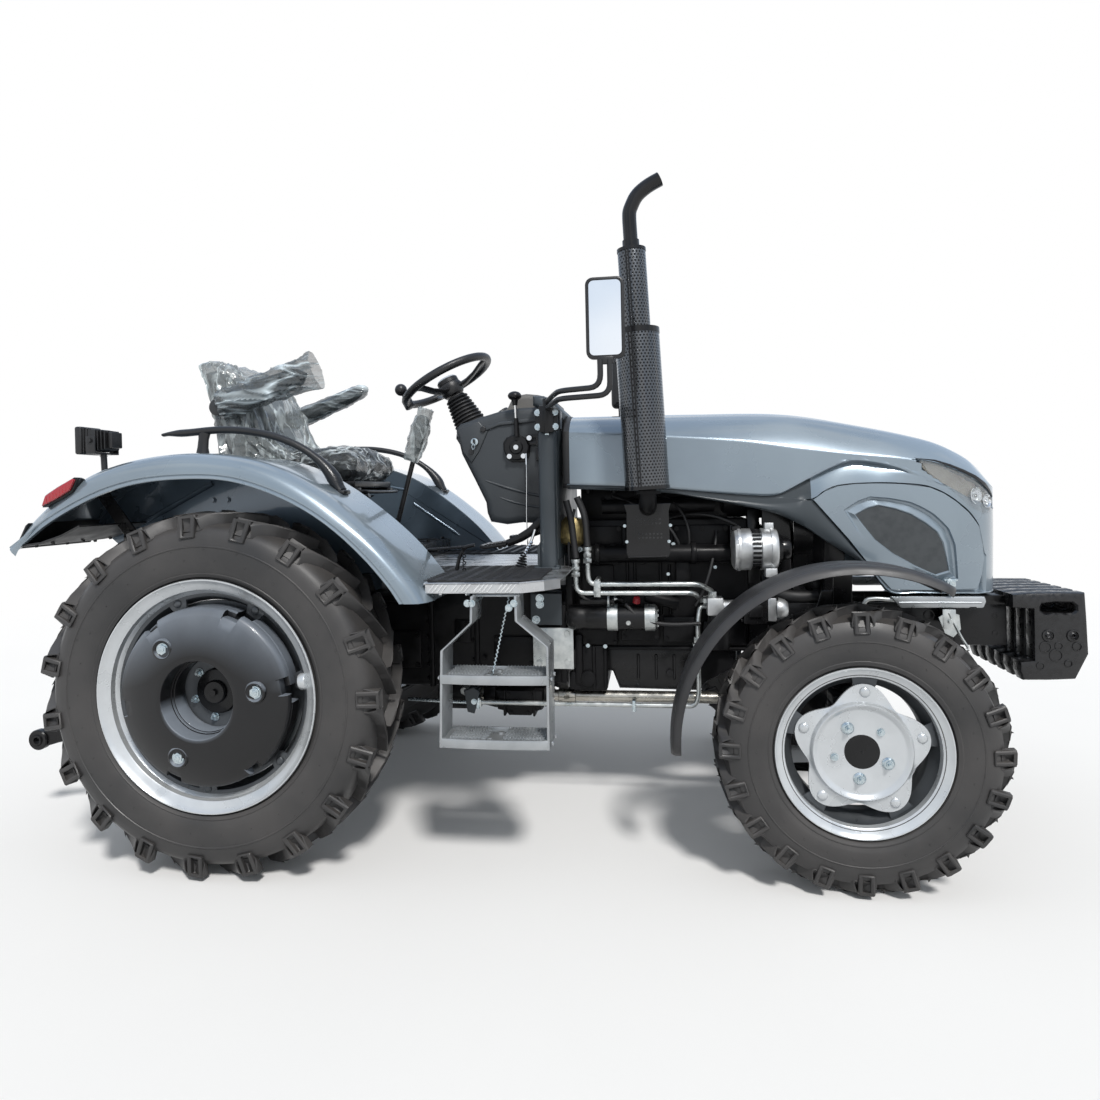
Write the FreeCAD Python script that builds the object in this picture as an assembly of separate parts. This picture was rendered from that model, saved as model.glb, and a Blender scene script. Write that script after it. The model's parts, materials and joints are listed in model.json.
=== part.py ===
import FreeCAD, Part
import math
import os

# Compact four-wheel-drive tractor. All sizes in mm.
# Pieces are laid out from the middle of the rear axle on the ground, +X forward, +Y to the
# tractor's left, +Z up, then moved so that the origin is the bottom centre of the whole machine.

# --- driving dimensions -----------------------------------------------------------------------
WHEELBASE = 1784.0
REAR_TRACK = 1288.0
FRONT_TRACK = 1165.0
REAR_REACH = -870.0          # rearmost point, the lower-link balls
FRONT_REACH = 2565.0         # foremost point, the front weights

REAR_TYRE_R = 525.0
REAR_TYRE_W = 241.0
REAR_BEAD_R = 305.0
REAR_FLANGE_R = 330.5
REAR_RIM_W = 203.0
FRONT_TYRE_R = 382.0
FRONT_TYRE_W = 180.0
FRONT_BEAD_R = 203.0
FRONT_FLANGE_R = 225.0
FRONT_RIM_W = 140.0
RIM_T = 8.0                  # rim section thickness
FLANGE_T = 10.0              # rim flange width
BEARING_GAP = 0.05           # radial clearance of every turning pair
PTO_R = 22.0                 # rear power take-off stub, outside its splines
PTO_NECK_R = 18.0

TRANS_HALF_W = 140.0
TRANS_BOTTOM = 404.0
ENGINE_X0 = 960.0
ENGINE_X1 = 1560.0
ENGINE_HALF_W = 150.0
ENGINE_BOTTOM = 540.0
ENGINE_TOP = 980.0

KINGPIN_Y = 470.0            # kingpin's distance from the centre plane
KINGPIN_R = 18.0
SPINDLE_R = 30.0

HOOD_HALF_W = 280.0
HOOD_REAR_X = 981.0
HOOD_T = 5.0

FENDER_OUT = 740.0
FENDER_IN = 420.0
FENDER_T = 5.0
FLOOR_TOP = 834.0
FLOOR_HALF_W = 684.0
DECK_TOP = 892.0
STEP_OUT = -715.0            # outer edge of the steps' hangers
STEP_IN = -600.0

WHEEL_TILT = 28.0            # steering wheel's axis, back from upright, degrees
WHEEL_CENTRE = (514.0, 1494.0)
WHEEL_R = 168.0

LINK_PIVOT = (-120.0, 400.0)
LINK_BALL = (-835.0, 270.0)
LINK_PIVOT_Y = 230.0
LINK_BALL_Y = 400.0
LINK_BALL_R = 35.0
LIFT_PIVOT = (-190.0, 780.0)
LIFT_LEN = 330.0             # equal on arm and link, so that the rods stay parallel

ROW_SHIFT = -(REAR_REACH + FRONT_REACH) / 2.0


# --- helpers ----------------------------------------------------------------------------------
def vec(x, y, z):
    return FreeCAD.Vector(x, y, z)


def box(x0, x1, y0, y1, z0, z1):
    """Box between two corners given as ranges."""
    return Part.makeBox(x1 - x0, y1 - y0, z1 - z0, vec(x0, y0, z0))


def rod(p, q, r):
    """Round bar between two points."""
    a = vec(*p)
    d = vec(*q) - a
    return Part.makeCylinder(r, d.Length, a, d)


def cone(p, q, r0, r1):
    """Tapered round bar between two points."""
    a = vec(*p)
    d = vec(*q) - a
    return Part.makeCone(r0, r1, d.Length, a, d)


def prism(points, y0, y1):
    """Side-view outline of (x, z) points, extruded from y0 to y1."""
    wire = Part.makePolygon([vec(x, y0, z) for x, z in points + points[:1]])
    return Part.Face(wire).extrude(vec(0, y1 - y0, 0))


def plan(points, z0, z1):
    """Plan-view outline of (x, y) points, extruded from z0 to z1."""
    wire = Part.makePolygon([vec(x, y, z0) for x, y in points + points[:1]])
    return Part.Face(wire).extrude(vec(0, 0, z1 - z0))


def front(points, x0, x1):
    """Front-view outline of (y, z) points, extruded from x0 to x1."""
    wire = Part.makePolygon([vec(x0, y, z) for y, z in points + points[:1]])
    return Part.Face(wire).extrude(vec(x1 - x0, 0, 0))


def turned(profile, x, y, z):
    """Closed (radius, y offset) profile turned about the Y axis line through x, y, z."""
    pts = [vec(x + r, y + o, z) for r, o in profile]
    face = Part.Face(Part.makePolygon(pts + pts[:1]))
    return face.revolve(vec(x, y, z), vec(0, 1, 0), 360)


def fuse(shapes):
    """One solid from several that overlap or touch."""
    return shapes[0].multiFuse(shapes[1:]).removeSplitter()


def cut(shape, tools):
    """Shape with every tool taken away."""
    for tool in tools:
        shape = shape.cut(tool)
    return shape


def mirrored(shape):
    """The same piece on the other side of the centre plane."""
    return shape.mirror(vec(0, 0, 0), vec(0, 1, 0))


def pair(shape):
    """Both sides' pieces together."""
    return Part.makeCompound([shape, mirrored(shape)])


def pipe(points, r, bend):
    """Round bar along a polyline whose corners are rounded to the bend radius."""
    pts = [vec(*p) for p in points]
    edges = []
    start = pts[0]
    for i in range(1, len(pts) - 1):
        a = (pts[i - 1] - pts[i]).normalize()
        b = (pts[i + 1] - pts[i]).normalize()
        half = a.getAngle(b) / 2.0
        reach = bend / math.tan(half)
        p = pts[i] + a * reach
        q = pts[i] + b * reach
        middle = (a + b).normalize()
        centre = pts[i] + middle * (bend / math.sin(half))
        m = centre - middle * bend
        edges.append(Part.makeLine(start, p))
        edges.append(Part.Arc(p, m, q).toShape())
        start = q
    edges.append(Part.makeLine(start, pts[-1]))
    path = Part.Wire(edges)
    way = pts[1] - pts[0]
    ring = Part.Wire([Part.makeCircle(r, pts[0], way)])
    return path.makePipeShell([ring], True, False)


def strap(points, t, y0, y1):
    """Flat strip of thickness t along (x, z) points, as wide as y0 to y1."""
    line = [vec(x, 0, z) for x, z in points]
    side = []
    for i, p in enumerate(line):
        before = (p - line[max(i - 1, 0)])
        after = (line[min(i + 1, len(line) - 1)] - p)
        before = before.normalize() if before.Length else after.normalize()
        after = after.normalize() if after.Length else before
        way = (before + after).normalize()
        lean = way.dot(before)
        side.append((p.x - way.z * t / lean, p.z + way.x * t / lean))
    return prism(points + side[::-1], y0, y1)


pieces = {}

# --- rear wheels (right-hand ones are built, left-hand ones mirrored) --------------------------
REAR_Y = -REAR_TRACK / 2.0
REAR_Z = REAR_TYRE_R
half = REAR_RIM_W / 2.0
edge = half + FLANGE_T
b = REAR_BEAD_R
t = RIM_T
rim_section = [
    (REAR_FLANGE_R, -edge), (REAR_FLANGE_R, -half), (b, -half), (b, -60.0), (b - 32.0, -38.0),
    (b - 32.0, 38.0), (b, 60.0), (b, half), (REAR_FLANGE_R, half), (REAR_FLANGE_R, edge),
    (REAR_FLANGE_R - 4.0, edge), (b - t, half + 4.0), (b - t, 63.0), (b - 32.0 - t, 42.0),
    (b - 32.0 - t, -42.0), (b - t, -63.0), (b - t, -half - 4.0), (REAR_FLANGE_R - 4.0, -edge),
]
rim = turned(rim_section, 0, REAR_Y, REAR_Z)
DISC_OUT = 40.0              # disc's outer face, outboard of the wheel's middle plane
disc = rod((0, REAR_Y - DISC_OUT, REAR_Z), (0, REAR_Y - DISC_OUT + 10.0, REAR_Z), b - 36.0)
HUB_IN = 522.0               # inner end of the rear hub
hub = rod((0, REAR_Y - DISC_OUT - 16.0, REAR_Z), (0, -HUB_IN, REAR_Z), 72.0)
AXLE_R = 38.0
axle = rod((0, -HUB_IN - 5.0, REAR_Z), (0, -HUB_IN + 70.0, REAR_Z), AXLE_R)
pieces["rear_rim_right"] = fuse([rim, disc, hub, axle])
s = REAR_TYRE_W / 2.0
R = REAR_TYRE_R
f = REAR_FLANGE_R
tyre_section = [
    (b, half), (f + 1.0, half), (f + 12.0, half + 11.0), (f + 45.0, s - 3.0), (f + 90.0, s),
    (R - 50.0, s - 3.0), (R - 22.0, s - 10.0), (R - 5.0, s - 38.0), (R, s - 70.0),
    (R, 70.0 - s), (R - 5.0, 38.0 - s), (R - 22.0, 10.0 - s), (R - 50.0, 3.0 - s),
    (f + 90.0, -s), (f + 45.0, 3.0 - s), (f + 12.0, -half - 11.0), (f + 1.0, -half),
    (b, -half), (b, 26.0 - half), (f + 20.0, 14.0 - half), (f + 50.0, 20.0 - s),
    (f + 90.0, 22.0 - s), (R - 60.0, 26.0 - s), (R - 42.0, 60.0 - s), (R - 38.0, 0.0),
    (R - 42.0, s - 60.0), (R - 60.0, s - 26.0), (f + 90.0, s - 22.0), (f + 50.0, s - 20.0),
    (f + 20.0, half - 14.0), (b, half - 26.0),
]
pieces["rear_tyre_right"] = turned(tyre_section, 0, REAR_Y, REAR_Z)
WEIGHT_R = 255.0
WEIGHT_HOLE_R = 105.0
face = -DISC_OUT
weight_section = [
    (WEIGHT_HOLE_R, face), (WEIGHT_R - 60.0, face), (WEIGHT_R - 60.0, face - 30.0),
    (WEIGHT_R - 25.0, face - 30.0), (WEIGHT_R - 25.0, face), (WEIGHT_R, face),
    (WEIGHT_R, -105.0), (WEIGHT_R - 8.0, -113.0), (WEIGHT_R - 70.0, -136.0),
    (WEIGHT_HOLE_R + 20.0, -148.0), (WEIGHT_HOLE_R, -148.0),
]
weight = turned(weight_section, 0, REAR_Y, REAR_Z)
notches = []
for angle in (20.0, 100.0, 220.0):
    a = math.radians(angle)
    x = WEIGHT_R * math.cos(a)
    z = REAR_Z + WEIGHT_R * math.sin(a)
    notches.append(rod((x, REAR_Y, z), (x, REAR_Y - 170.0, z), 14.0))
pieces["rear_wheel_weight_right"] = cut(weight, notches)

# --- front wheels -----------------------------------------------------------------------------
FRONT_X = WHEELBASE
FRONT_Y = -FRONT_TRACK / 2.0
FRONT_Z = FRONT_TYRE_R
half = FRONT_RIM_W / 2.0
edge = half + FLANGE_T
b = FRONT_BEAD_R
f = FRONT_FLANGE_R
rim_section = [
    (f, -edge), (f, -half), (b, -half), (b, -42.0), (b - 22.0, -26.0), (b - 22.0, 26.0),
    (b, 42.0), (b, half), (f, half), (f, edge), (f - 4.0, edge), (b - t, half + 4.0),
    (b - t, 46.0), (b - 22.0 - t, 30.0), (b - 22.0 - t, -30.0), (b - t, -46.0),
    (b - t, -half - 4.0), (f - 4.0, -edge),
]
rim = turned(rim_section, FRONT_X, FRONT_Y, FRONT_Z)
dish_section = [
    (50.0, -44.0), (88.0, -44.0), (104.0, -62.0), (128.0, -62.0), (150.0, -40.0),
    (b - 22.0, -22.0), (b - 22.0, -14.0), (148.0, -31.0), (125.0, -53.0), (108.0, -53.0),
    (92.0, -36.0), (50.0, -36.0),
]
dish = turned(dish_section, FRONT_X, FRONT_Y, FRONT_Z)
scallops = []
for i in range(5):
    a = math.radians(72.0 * i + 54.0)
    x = FRONT_X + 196.0 * math.cos(a)
    z = FRONT_Z + 196.0 * math.sin(a)
    scallops.append(rod((x, FRONT_Y + 10.0, z), (x, FRONT_Y - 90.0, z), 46.0))
dish = cut(dish, scallops)
HUB_FACE = FRONT_Y - 36.0
hub = rod((FRONT_X, HUB_FACE, FRONT_Z), (FRONT_X, -547.0, FRONT_Z), 60.0)
cap = rod((FRONT_X, HUB_FACE - 22.0, FRONT_Z), (FRONT_X, HUB_FACE, FRONT_Z), 50.0)
flange = rod((FRONT_X, HUB_FACE + 14.0, FRONT_Z), (FRONT_X, HUB_FACE, FRONT_Z), 92.0)
bore = rod((FRONT_X, HUB_FACE + 10.0, FRONT_Z), (FRONT_X, -540.0, FRONT_Z),
           SPINDLE_R + BEARING_GAP)
front_rim = fuse([rim, dish, hub, cap, flange])
pieces["front_rim_right"] = cut(front_rim, [bore])
s = FRONT_TYRE_W / 2.0
R = FRONT_TYRE_R
tyre_section = [
    (b, half), (f + 1.0, half), (f + 10.0, half + 9.0), (f + 30.0, s - 2.0), (f + 65.0, s),
    (R - 36.0, s - 3.0), (R - 16.0, s - 9.0), (R - 4.0, s - 30.0), (R, s - 55.0),
    (R, 55.0 - s), (R - 4.0, 30.0 - s), (R - 16.0, 9.0 - s), (R - 36.0, 3.0 - s),
    (f + 65.0, -s), (f + 30.0, 2.0 - s), (f + 10.0, -half - 9.0), (f + 1.0, -half),
    (b, -half), (b, 20.0 - half), (f + 16.0, 12.0 - half), (f + 36.0, 16.0 - s),
    (f + 65.0, 17.0 - s), (R - 45.0, 20.0 - s), (R - 32.0, 46.0 - s), (R - 30.0, 0.0),
    (R - 32.0, s - 46.0), (R - 45.0, s - 20.0), (f + 65.0, s - 17.0), (f + 36.0, s - 16.0),
    (f + 16.0, half - 12.0), (b, half - 20.0),
]
pieces["front_tyre_right"] = turned(tyre_section, FRONT_X, FRONT_Y, FRONT_Z)

# --- front axle, steering knuckles and tie rod ------------------------------------------------
PIN_TOP = FRONT_Z + 90.0
PIN_BOTTOM = FRONT_Z - 84.0
DIFF_Y = -120.0              # front differential sits right of the middle
beam = rod((FRONT_X, -KINGPIN_Y, FRONT_Z), (FRONT_X, KINGPIN_Y, FRONT_Z), 44.0)
diff = rod((FRONT_X, DIFF_Y - 60.0, FRONT_Z), (FRONT_X, DIFF_Y + 60.0, FRONT_Z), 86.0)
nose = rod((FRONT_X - 150.0, DIFF_Y, FRONT_Z), (FRONT_X, DIFF_Y, FRONT_Z), 42.0)
trunnion = rod((FRONT_X - 95.0, 0, FRONT_Z), (FRONT_X + 95.0, 0, FRONT_Z), 50.0)
barrels = []
bores = []
for side in (-1.0, 1.0):
    y = side * KINGPIN_Y
    barrels.append(rod((FRONT_X, y, PIN_BOTTOM), (FRONT_X, y, PIN_TOP), 50.0))
    low = PIN_BOTTOM + 30.0
    high = PIN_TOP - 30.0
    bore_r = KINGPIN_R + BEARING_GAP
    bores.append(rod((FRONT_X, y, PIN_BOTTOM - 1.0), (FRONT_X, y, low), bore_r))
    bores.append(rod((FRONT_X, y, high), (FRONT_X, y, PIN_TOP + 1.0), bore_r))
pieces["front_axle"] = cut(fuse([beam, diff, nose, trunnion] + barrels), bores)

k = -KINGPIN_Y
web_in = k - 53.0
web_out = k - 75.0
plate_low = PIN_BOTTOM - 30.0
plate_high = PIN_TOP + 30.0
ARM_X = FRONT_X - 155.0
ARM_Y = k                    # both arms point straight back, so the tie rod stays parallel
TIE_Z = PIN_BOTTOM - 16.0
outline = [(FRONT_X - 50.0, web_out), (FRONT_X + 50.0, web_out), (FRONT_X + 50.0, k),
           (FRONT_X + 30.0, k + 42.0), (FRONT_X - 30.0, k + 42.0), (FRONT_X - 50.0, k)]
arm_outline = [(FRONT_X - 30.0, k - 20.0), (FRONT_X - 30.0, k + 40.0),
               (ARM_X - 16.0, ARM_Y + 18.0), (ARM_X - 16.0, ARM_Y - 16.0)]
knuckle_parts = [
    plan(outline, plate_low, PIN_BOTTOM - 2.0),
    plan(outline, PIN_TOP + 2.0, plate_high),
    box(FRONT_X - 50.0, FRONT_X + 50.0, web_out, web_in, plate_low, plate_high),
    rod((FRONT_X, k, plate_low + 5.0), (FRONT_X, k, PIN_BOTTOM + 28.0), KINGPIN_R),
    rod((FRONT_X, k, PIN_TOP - 28.0), (FRONT_X, k, plate_high - 5.0), KINGPIN_R),
    rod((FRONT_X, web_in - 2.0, FRONT_Z), (FRONT_X, HUB_FACE + 12.0, FRONT_Z), SPINDLE_R),
    plan(arm_outline, plate_low, PIN_BOTTOM - 14.0),
    rod((ARM_X, ARM_Y, plate_low - 26.0), (ARM_X, ARM_Y, plate_low + 4.0), 9.0),
]
pieces["knuckle_right"] = fuse(knuckle_parts)

eye_z0 = plate_low - 26.0
eye_z1 = plate_low - 2.0
eyes = []
eye_bores = []
for side in (-1.0, 1.0):
    y = -side * ARM_Y
    eyes.append(rod((ARM_X, y, eye_z0), (ARM_X, y, eye_z1), 20.0))
    eye_bores.append(rod((ARM_X, y, eye_z0 - 1.0), (ARM_X, y, eye_z1 + 1.0), 9.0 + BEARING_GAP))
tube = rod((ARM_X, ARM_Y, eye_z0 + 12.0), (ARM_X, -ARM_Y, eye_z0 + 12.0), 11.0)
pieces["tie_rod"] = cut(fuse([tube] + eyes), eye_bores)

# Fender strip over the front wheel, carried by the knuckle.
FF_R = 494.0
FF_T = 5.0
ff_outer = []
ff_inner = []
for i in range(19):
    a = math.radians(184.0 - i * (184.0 - 60.0) / 18.0)
    ff_outer.append((FRONT_X + FF_R * math.cos(a), FRONT_Z + FF_R * math.sin(a)))
    ff_inner.append((FRONT_X + (FF_R - FF_T) * math.cos(a),
                     FRONT_Z + (FF_R - FF_T) * math.sin(a)))
strip = prism(ff_outer + ff_inner[::-1], -665.0, -505.0)
STAY_Z = FRONT_Z + FF_R - FF_T - 8.0
stay_outline = [(k + 12.0, plate_high), (k + 20.0, plate_high), (k + 20.0, STAY_Z + 8.0),
                (k - 150.0, STAY_Z + 8.0), (k - 150.0, STAY_Z), (k + 12.0, STAY_Z)]
stay = front(stay_outline, FRONT_X - 25.0, FRONT_X + 25.0)
pad = box(FRONT_X - 25.0, FRONT_X + 25.0, k - 150.0, k - 40.0, STAY_Z, STAY_Z + 12.0)
pieces["front_fender_right"] = fuse([strip, stay, pad])

# --- drive line -------------------------------------------------------------------------------
trans_side = [(-260.0, TRANS_BOTTOM + 30.0), (-200.0, TRANS_BOTTOM), (ENGINE_X0 - 120.0, TRANS_BOTTOM),
              (ENGINE_X0 - 60.0, TRANS_BOTTOM), (ENGINE_X0 - 60.0, 802.0), (560.0, 802.0),
              (480.0, 700.0), (180.0, 700.0), (120.0, 880.0), (-210.0, 880.0), (-260.0, 820.0)]
trans_parts = [
    prism(trans_side, -TRANS_HALF_W, TRANS_HALF_W),
    box(ENGINE_X0 - 90.0, ENGINE_X0, -190.0, 190.0, TRANS_BOTTOM, 760.0),
    rod((500.0, DIFF_Y, 376.0), (620.0, DIFF_Y, 376.0), 52.0),
    rod((LIFT_PIVOT[0], -200.0, LIFT_PIVOT[1]), (LIFT_PIVOT[0], 200.0, LIFT_PIVOT[1]), 60.0),
    rod((-300.0, 0, 600.0), (-255.0, 0, 600.0), 75.0),
    box(-330.0, -255.0, -30.0, -14.0, 690.0, 790.0),
    box(-330.0, -255.0, 14.0, 30.0, 690.0, 790.0),
]
top_link_bore = rod((-305.0, -40.0, 740.0), (-305.0, 40.0, 740.0), 10.0)
lift_bore = rod((LIFT_PIVOT[0], -201.0, LIFT_PIVOT[1]), (LIFT_PIVOT[0], 201.0, LIFT_PIVOT[1]),
                30.0 + BEARING_GAP)
pto_bore = rod((-301.0, 0, 600.0), (-240.0, 0, 600.0), PTO_NECK_R + BEARING_GAP)
link_pins = []
for side in (-1.0, 1.0):
    link_pins.append(rod((LINK_PIVOT[0], side * (TRANS_HALF_W - 10.0), LINK_PIVOT[1] + 30.0),
                         (LINK_PIVOT[0], side * 200.0, LINK_PIVOT[1] + 30.0), 40.0))
    link_pins.append(box(LINK_PIVOT[0] - 30.0, LINK_PIVOT[0] + 30.0, min(side * 186.0, side * 206.0),
                         max(side * 186.0, side * 206.0), LINK_PIVOT[1] - 28.0, LINK_PIVOT[1] + 60.0))
    link_pins.append(rod((LINK_PIVOT[0], side * 190.0, LINK_PIVOT[1]),
                         (LINK_PIVOT[0], side * 262.0, LINK_PIVOT[1]), 14.0))
pieces["transmission"] = cut(fuse(trans_parts + link_pins), [top_link_bore, lift_bore, pto_bore])
pieces["pto_shaft"] = fuse([
    rod((-372.0, 0, 600.0), (-304.0, 0, 600.0), PTO_R),
    rod((-310.0, 0, 600.0), (-242.0, 0, 600.0), PTO_NECK_R),
])

housing = fuse([
    cone((0, -TRANS_HALF_W, REAR_Z), (0, -400.0, REAR_Z), 110.0, 82.0),
    rod((0, -400.0, REAR_Z), (0, -HUB_IN + 2.0, REAR_Z), 82.0),
    rod((0, -HUB_IN + 22.0, REAR_Z), (0, -HUB_IN + 2.0, REAR_Z), 98.0),
    box(-70.0, 70.0, -452.0, -396.0, REAR_Z + 50.0, REAR_Z + 115.0),
])
axle_bore = rod((0, -HUB_IN - 1.0, REAR_Z), (0, -HUB_IN + 74.0, REAR_Z), AXLE_R + BEARING_GAP)
pieces["rear_axle_housings"] = pair(cut(housing, [axle_bore]))

pieces["drive_shaft"] = rod((620.0, DIFF_Y, 376.0), (FRONT_X - 150.0, DIFF_Y, 376.0), 20.0)

drawbar = fuse([
    box(-560.0, -150.0, -40.0, 40.0, 352.0, 378.0),
    box(-200.0, -60.0, -60.0, 60.0, 352.0, TRANS_BOTTOM),
])
pieces["drawbar"] = cut(drawbar, [rod((-525.0, 0, 340.0), (-525.0, 0, 390.0), 13.0)])

# --- engine -----------------------------------------------------------------------------------
block = box(ENGINE_X0, ENGINE_X1, -ENGINE_HALF_W, ENGINE_HALF_W, ENGINE_BOTTOM, ENGINE_TOP)
head = box(ENGINE_X0 + 50.0, ENGINE_X1 - 60.0, -120.0, 120.0, ENGINE_TOP - 1.0, 1090.0)
valve_cover = box(ENGINE_X0 + 80.0, ENGINE_X1 - 90.0, -80.0, 80.0, 1089.0, 1150.0)
sump_flange = box(ENGINE_X0, ENGINE_X1, -ENGINE_HALF_W - 8.0, ENGINE_HALF_W + 8.0,
                  ENGINE_BOTTOM, ENGINE_BOTTOM + 14.0)
pieces["engine"] = fuse([block, head, valve_cover, sump_flange])
pan_side = [(1000.0, ENGINE_BOTTOM), (1000.0, 500.0), (1147.0, 470.0), (1160.0, 430.0),
            (1395.0, 430.0), (1420.0, 490.0), (1520.0, 500.0), (1520.0, ENGINE_BOTTOM)]
pieces["oil_pan"] = prism(pan_side, -130.0, 130.0)
STARTER_Z = 660.0
starter = fuse([
    rod((ENGINE_X0, -202.0, STARTER_Z), (990.0, -202.0, STARTER_Z), 32.0),
    rod((988.0, -202.0, STARTER_Z), (1190.0, -202.0, STARTER_Z), 44.0),
    rod((1190.0, -202.0, STARTER_Z), (1262.0, -202.0, STARTER_Z), 40.0),
    rod((1000.0, -202.0, STARTER_Z + 54.0), (1130.0, -202.0, STARTER_Z + 54.0), 20.0),
    box(1040.0, 1080.0, -215.0, -190.0, STARTER_Z + 20.0, STARTER_Z + 60.0),
])
pieces["starter_motor"] = cut(starter, [pieces["engine"], pieces["transmission"]])
ALT_Y = -245.0
ALT_Z = 884.0
alternator = fuse([
    rod((1500.0, ALT_Y, ALT_Z), (1640.0, ALT_Y, ALT_Z), 66.0),
    rod((1640.0, ALT_Y, ALT_Z), (1680.0, ALT_Y, ALT_Z), 36.0),
    box(1520.0, 1550.0, -230.0, -ENGINE_HALF_W, ALT_Z - 20.0, ALT_Z + 20.0),
])
pieces["alternator"] = alternator
pump = fuse([
    box(1420.0, 1474.0, -225.0, -ENGINE_HALF_W, 668.0, 726.0),
    rod((1474.0, -192.0, 690.0), (1612.0, -192.0, 690.0), 24.0),
    box(1532.0, 1612.0, -222.0, -160.0, 642.0, 732.0),
    box(1612.0, 1640.0, -216.0, -164.0, 650.0, 724.0),
    cone((1640.0, -190.0, 687.0), (1678.0, -190.0, 687.0), 34.0, 24.0),
    box(1474.0, 1532.0, -192.0, -ENGINE_HALF_W, 670.0, 705.0),
])
pieces["hydraulic_pump"] = pump

# --- exhaust ----------------------------------------------------------------------------------
STACK_Y = -400.0
LEAN = math.tan(math.radians(2.7))
stack_foot = (1239.0, STACK_Y, 1080.0)
drum_top = (stack_foot[0] - 483.0 * LEAN, STACK_Y, 1563.0)
upper_top = (stack_foot[0] - 726.0 * LEAN, STACK_Y, 1806.0)
tail = pipe([upper_top[:2] + (1790.0,), (upper_top[0] - 6.0, STACK_Y, 1905.0),
             (upper_top[0] + 35.0, STACK_Y, 1975.0), (1292.0, STACK_Y, 2010.0)], 22.0, 60.0)
muffler = fuse([
    rod(stack_foot, drum_top, 67.0),
    rod(drum_top, upper_top, 42.5),
    tail,
])
pieces["muffler"] = muffler
manifold = fuse([
    box(1080.0, 1460.0, -175.0, -120.0, 1000.0, 1050.0),
    pipe([(1239.0, -150.0, 1025.0), (1239.0, STACK_Y, 1025.0), (1239.0, STACK_Y, 1080.0)],
         28.0, 32.0),
])
pieces["exhaust_manifold"] = cut(manifold, [pieces["engine"], muffler])
shield = fuse([
    box(1162.0, 1311.0, -338.0, -335.0, 869.0, 1036.0),
    box(1205.0, 1273.0, -337.0, -ENGINE_HALF_W, 900.0, 904.0),
])
pieces["exhaust_shield"] = cut(shield, [pieces["exhaust_manifold"]])

# --- front frame, radiator and weights ----------------------------------------------------------
frame_parts = [box(ENGINE_X1, ENGINE_X1 + 16.0, -ENGINE_HALF_W, ENGINE_HALF_W, 545.0, 700.0),
               box(1640.0, 1930.0, -150.0, 150.0, 500.0, 560.0),
               box(FRONT_X - 118.0, FRONT_X - 95.0, -55.0, 55.0, 330.0, 510.0),
               box(FRONT_X + 95.0, FRONT_X + 118.0, -55.0, 55.0, 330.0, 510.0),
               box(2190.0, 2215.0, -282.0, 282.0, 700.0, 735.0),
               box(2190.0, 2215.0, -150.0, 150.0, 545.0, 701.0),
               box(2214.0, 2408.0, -130.0, 130.0, 690.0, 722.0),
               box(2214.0, 2360.0, -130.0, -108.0, 560.0, 691.0),
               box(2214.0, 2360.0, 108.0, 130.0, 560.0, 691.0)]
for side in (-1.0, 1.0):
    ys = sorted((side * 120.0, side * 150.0))
    frame_parts.append(box(ENGINE_X1 + 10.0, 2200.0, ys[0], ys[1], 545.0, 700.0))
    ys = sorted((side * 268.0, side * 282.0))
    frame_parts.append(box(1971.0, 2232.0, ys[0], ys[1], 708.0, 735.0))
pieces["front_frame"] = fuse(frame_parts)
radiator = fuse([
    box(1790.0, 1850.0, -205.0, 205.0, 740.0, 1130.0),
    box(1785.0, 1855.0, -212.0, 212.0, 1130.0, 1165.0),
    box(1785.0, 1855.0, -212.0, 212.0, 700.0, 740.0),
])
pieces["radiator"] = radiator

weight_side = [(2348.0, 734.0), (2558.0, 738.0), (FRONT_REACH, 549.0), (2527.0, 471.0),
               (2379.0, 466.0), (2369.0, 524.0), (2409.0, 529.0), (2409.0, 686.0), (2348.0, 690.0)]
hand_slot = [(2440.0, 706.0), (2429.0, 697.0), (2429.0, 683.0), (2440.0, 674.0), (2541.0, 674.0),
             (2552.0, 683.0), (2552.0, 697.0), (2541.0, 706.0)]
slabs = []
SLAB_T = 62.0
for i in range(6):
    y = -197.0 + i * 66.4
    slabs.append(prism(weight_side, y, y + SLAB_T))
hollow = prism(hand_slot, -210.0, 210.0)
pieces["front_weights"] = Part.makeCompound(slabs).cut(hollow).cut(pieces["front_frame"])

# --- hood ---------------------------------------------------------------------------------------
def hood_ring(x, top, shoulder, side, width):
    """Closed cross-section of the hood at x, from its centre-line height and half width."""
    w = width
    right = [(-w, 700.0), (-w, side), (-w + 8.0, shoulder - 22.0), (-w + 32.0, shoulder),
             (-w * 0.55, top - (top - shoulder) * 0.30), (0.0, top)]
    left = [(-y, z) for y, z in right[-2::-1]]
    pts = [vec(x, y, z) for y, z in right + left]
    return Part.makePolygon(pts + pts[:1])


hood_line = [
    # x, centre-line height, shoulder height, height of the side's upper break, half width
    (HOOD_REAR_X, 1337.0, 1305.0, 1240.0, HOOD_HALF_W),
    (1200.0, 1336.0, 1308.0, 1240.0, HOOD_HALF_W),
    (1420.0, 1332.0, 1304.0, 1236.0, HOOD_HALF_W),
    (1690.0, 1322.0, 1288.0, 1220.0, HOOD_HALF_W),
    (1920.0, 1278.0, 1236.0, 1175.0, HOOD_HALF_W - 4.0),
    (2120.0, 1228.0, 1168.0, 1110.0, HOOD_HALF_W - 14.0),
    (2225.0, 1188.0, 1114.0, 1060.0, HOOD_HALF_W - 30.0),
    (2290.0, 1150.0, 1070.0, 1020.0, HOOD_HALF_W - 80.0),
    (2330.0, 1105.0, 1035.0, 990.0, HOOD_HALF_W - 150.0),
]
outer = Part.makeLoft([hood_ring(*row) for row in hood_line], True, True)
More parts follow.
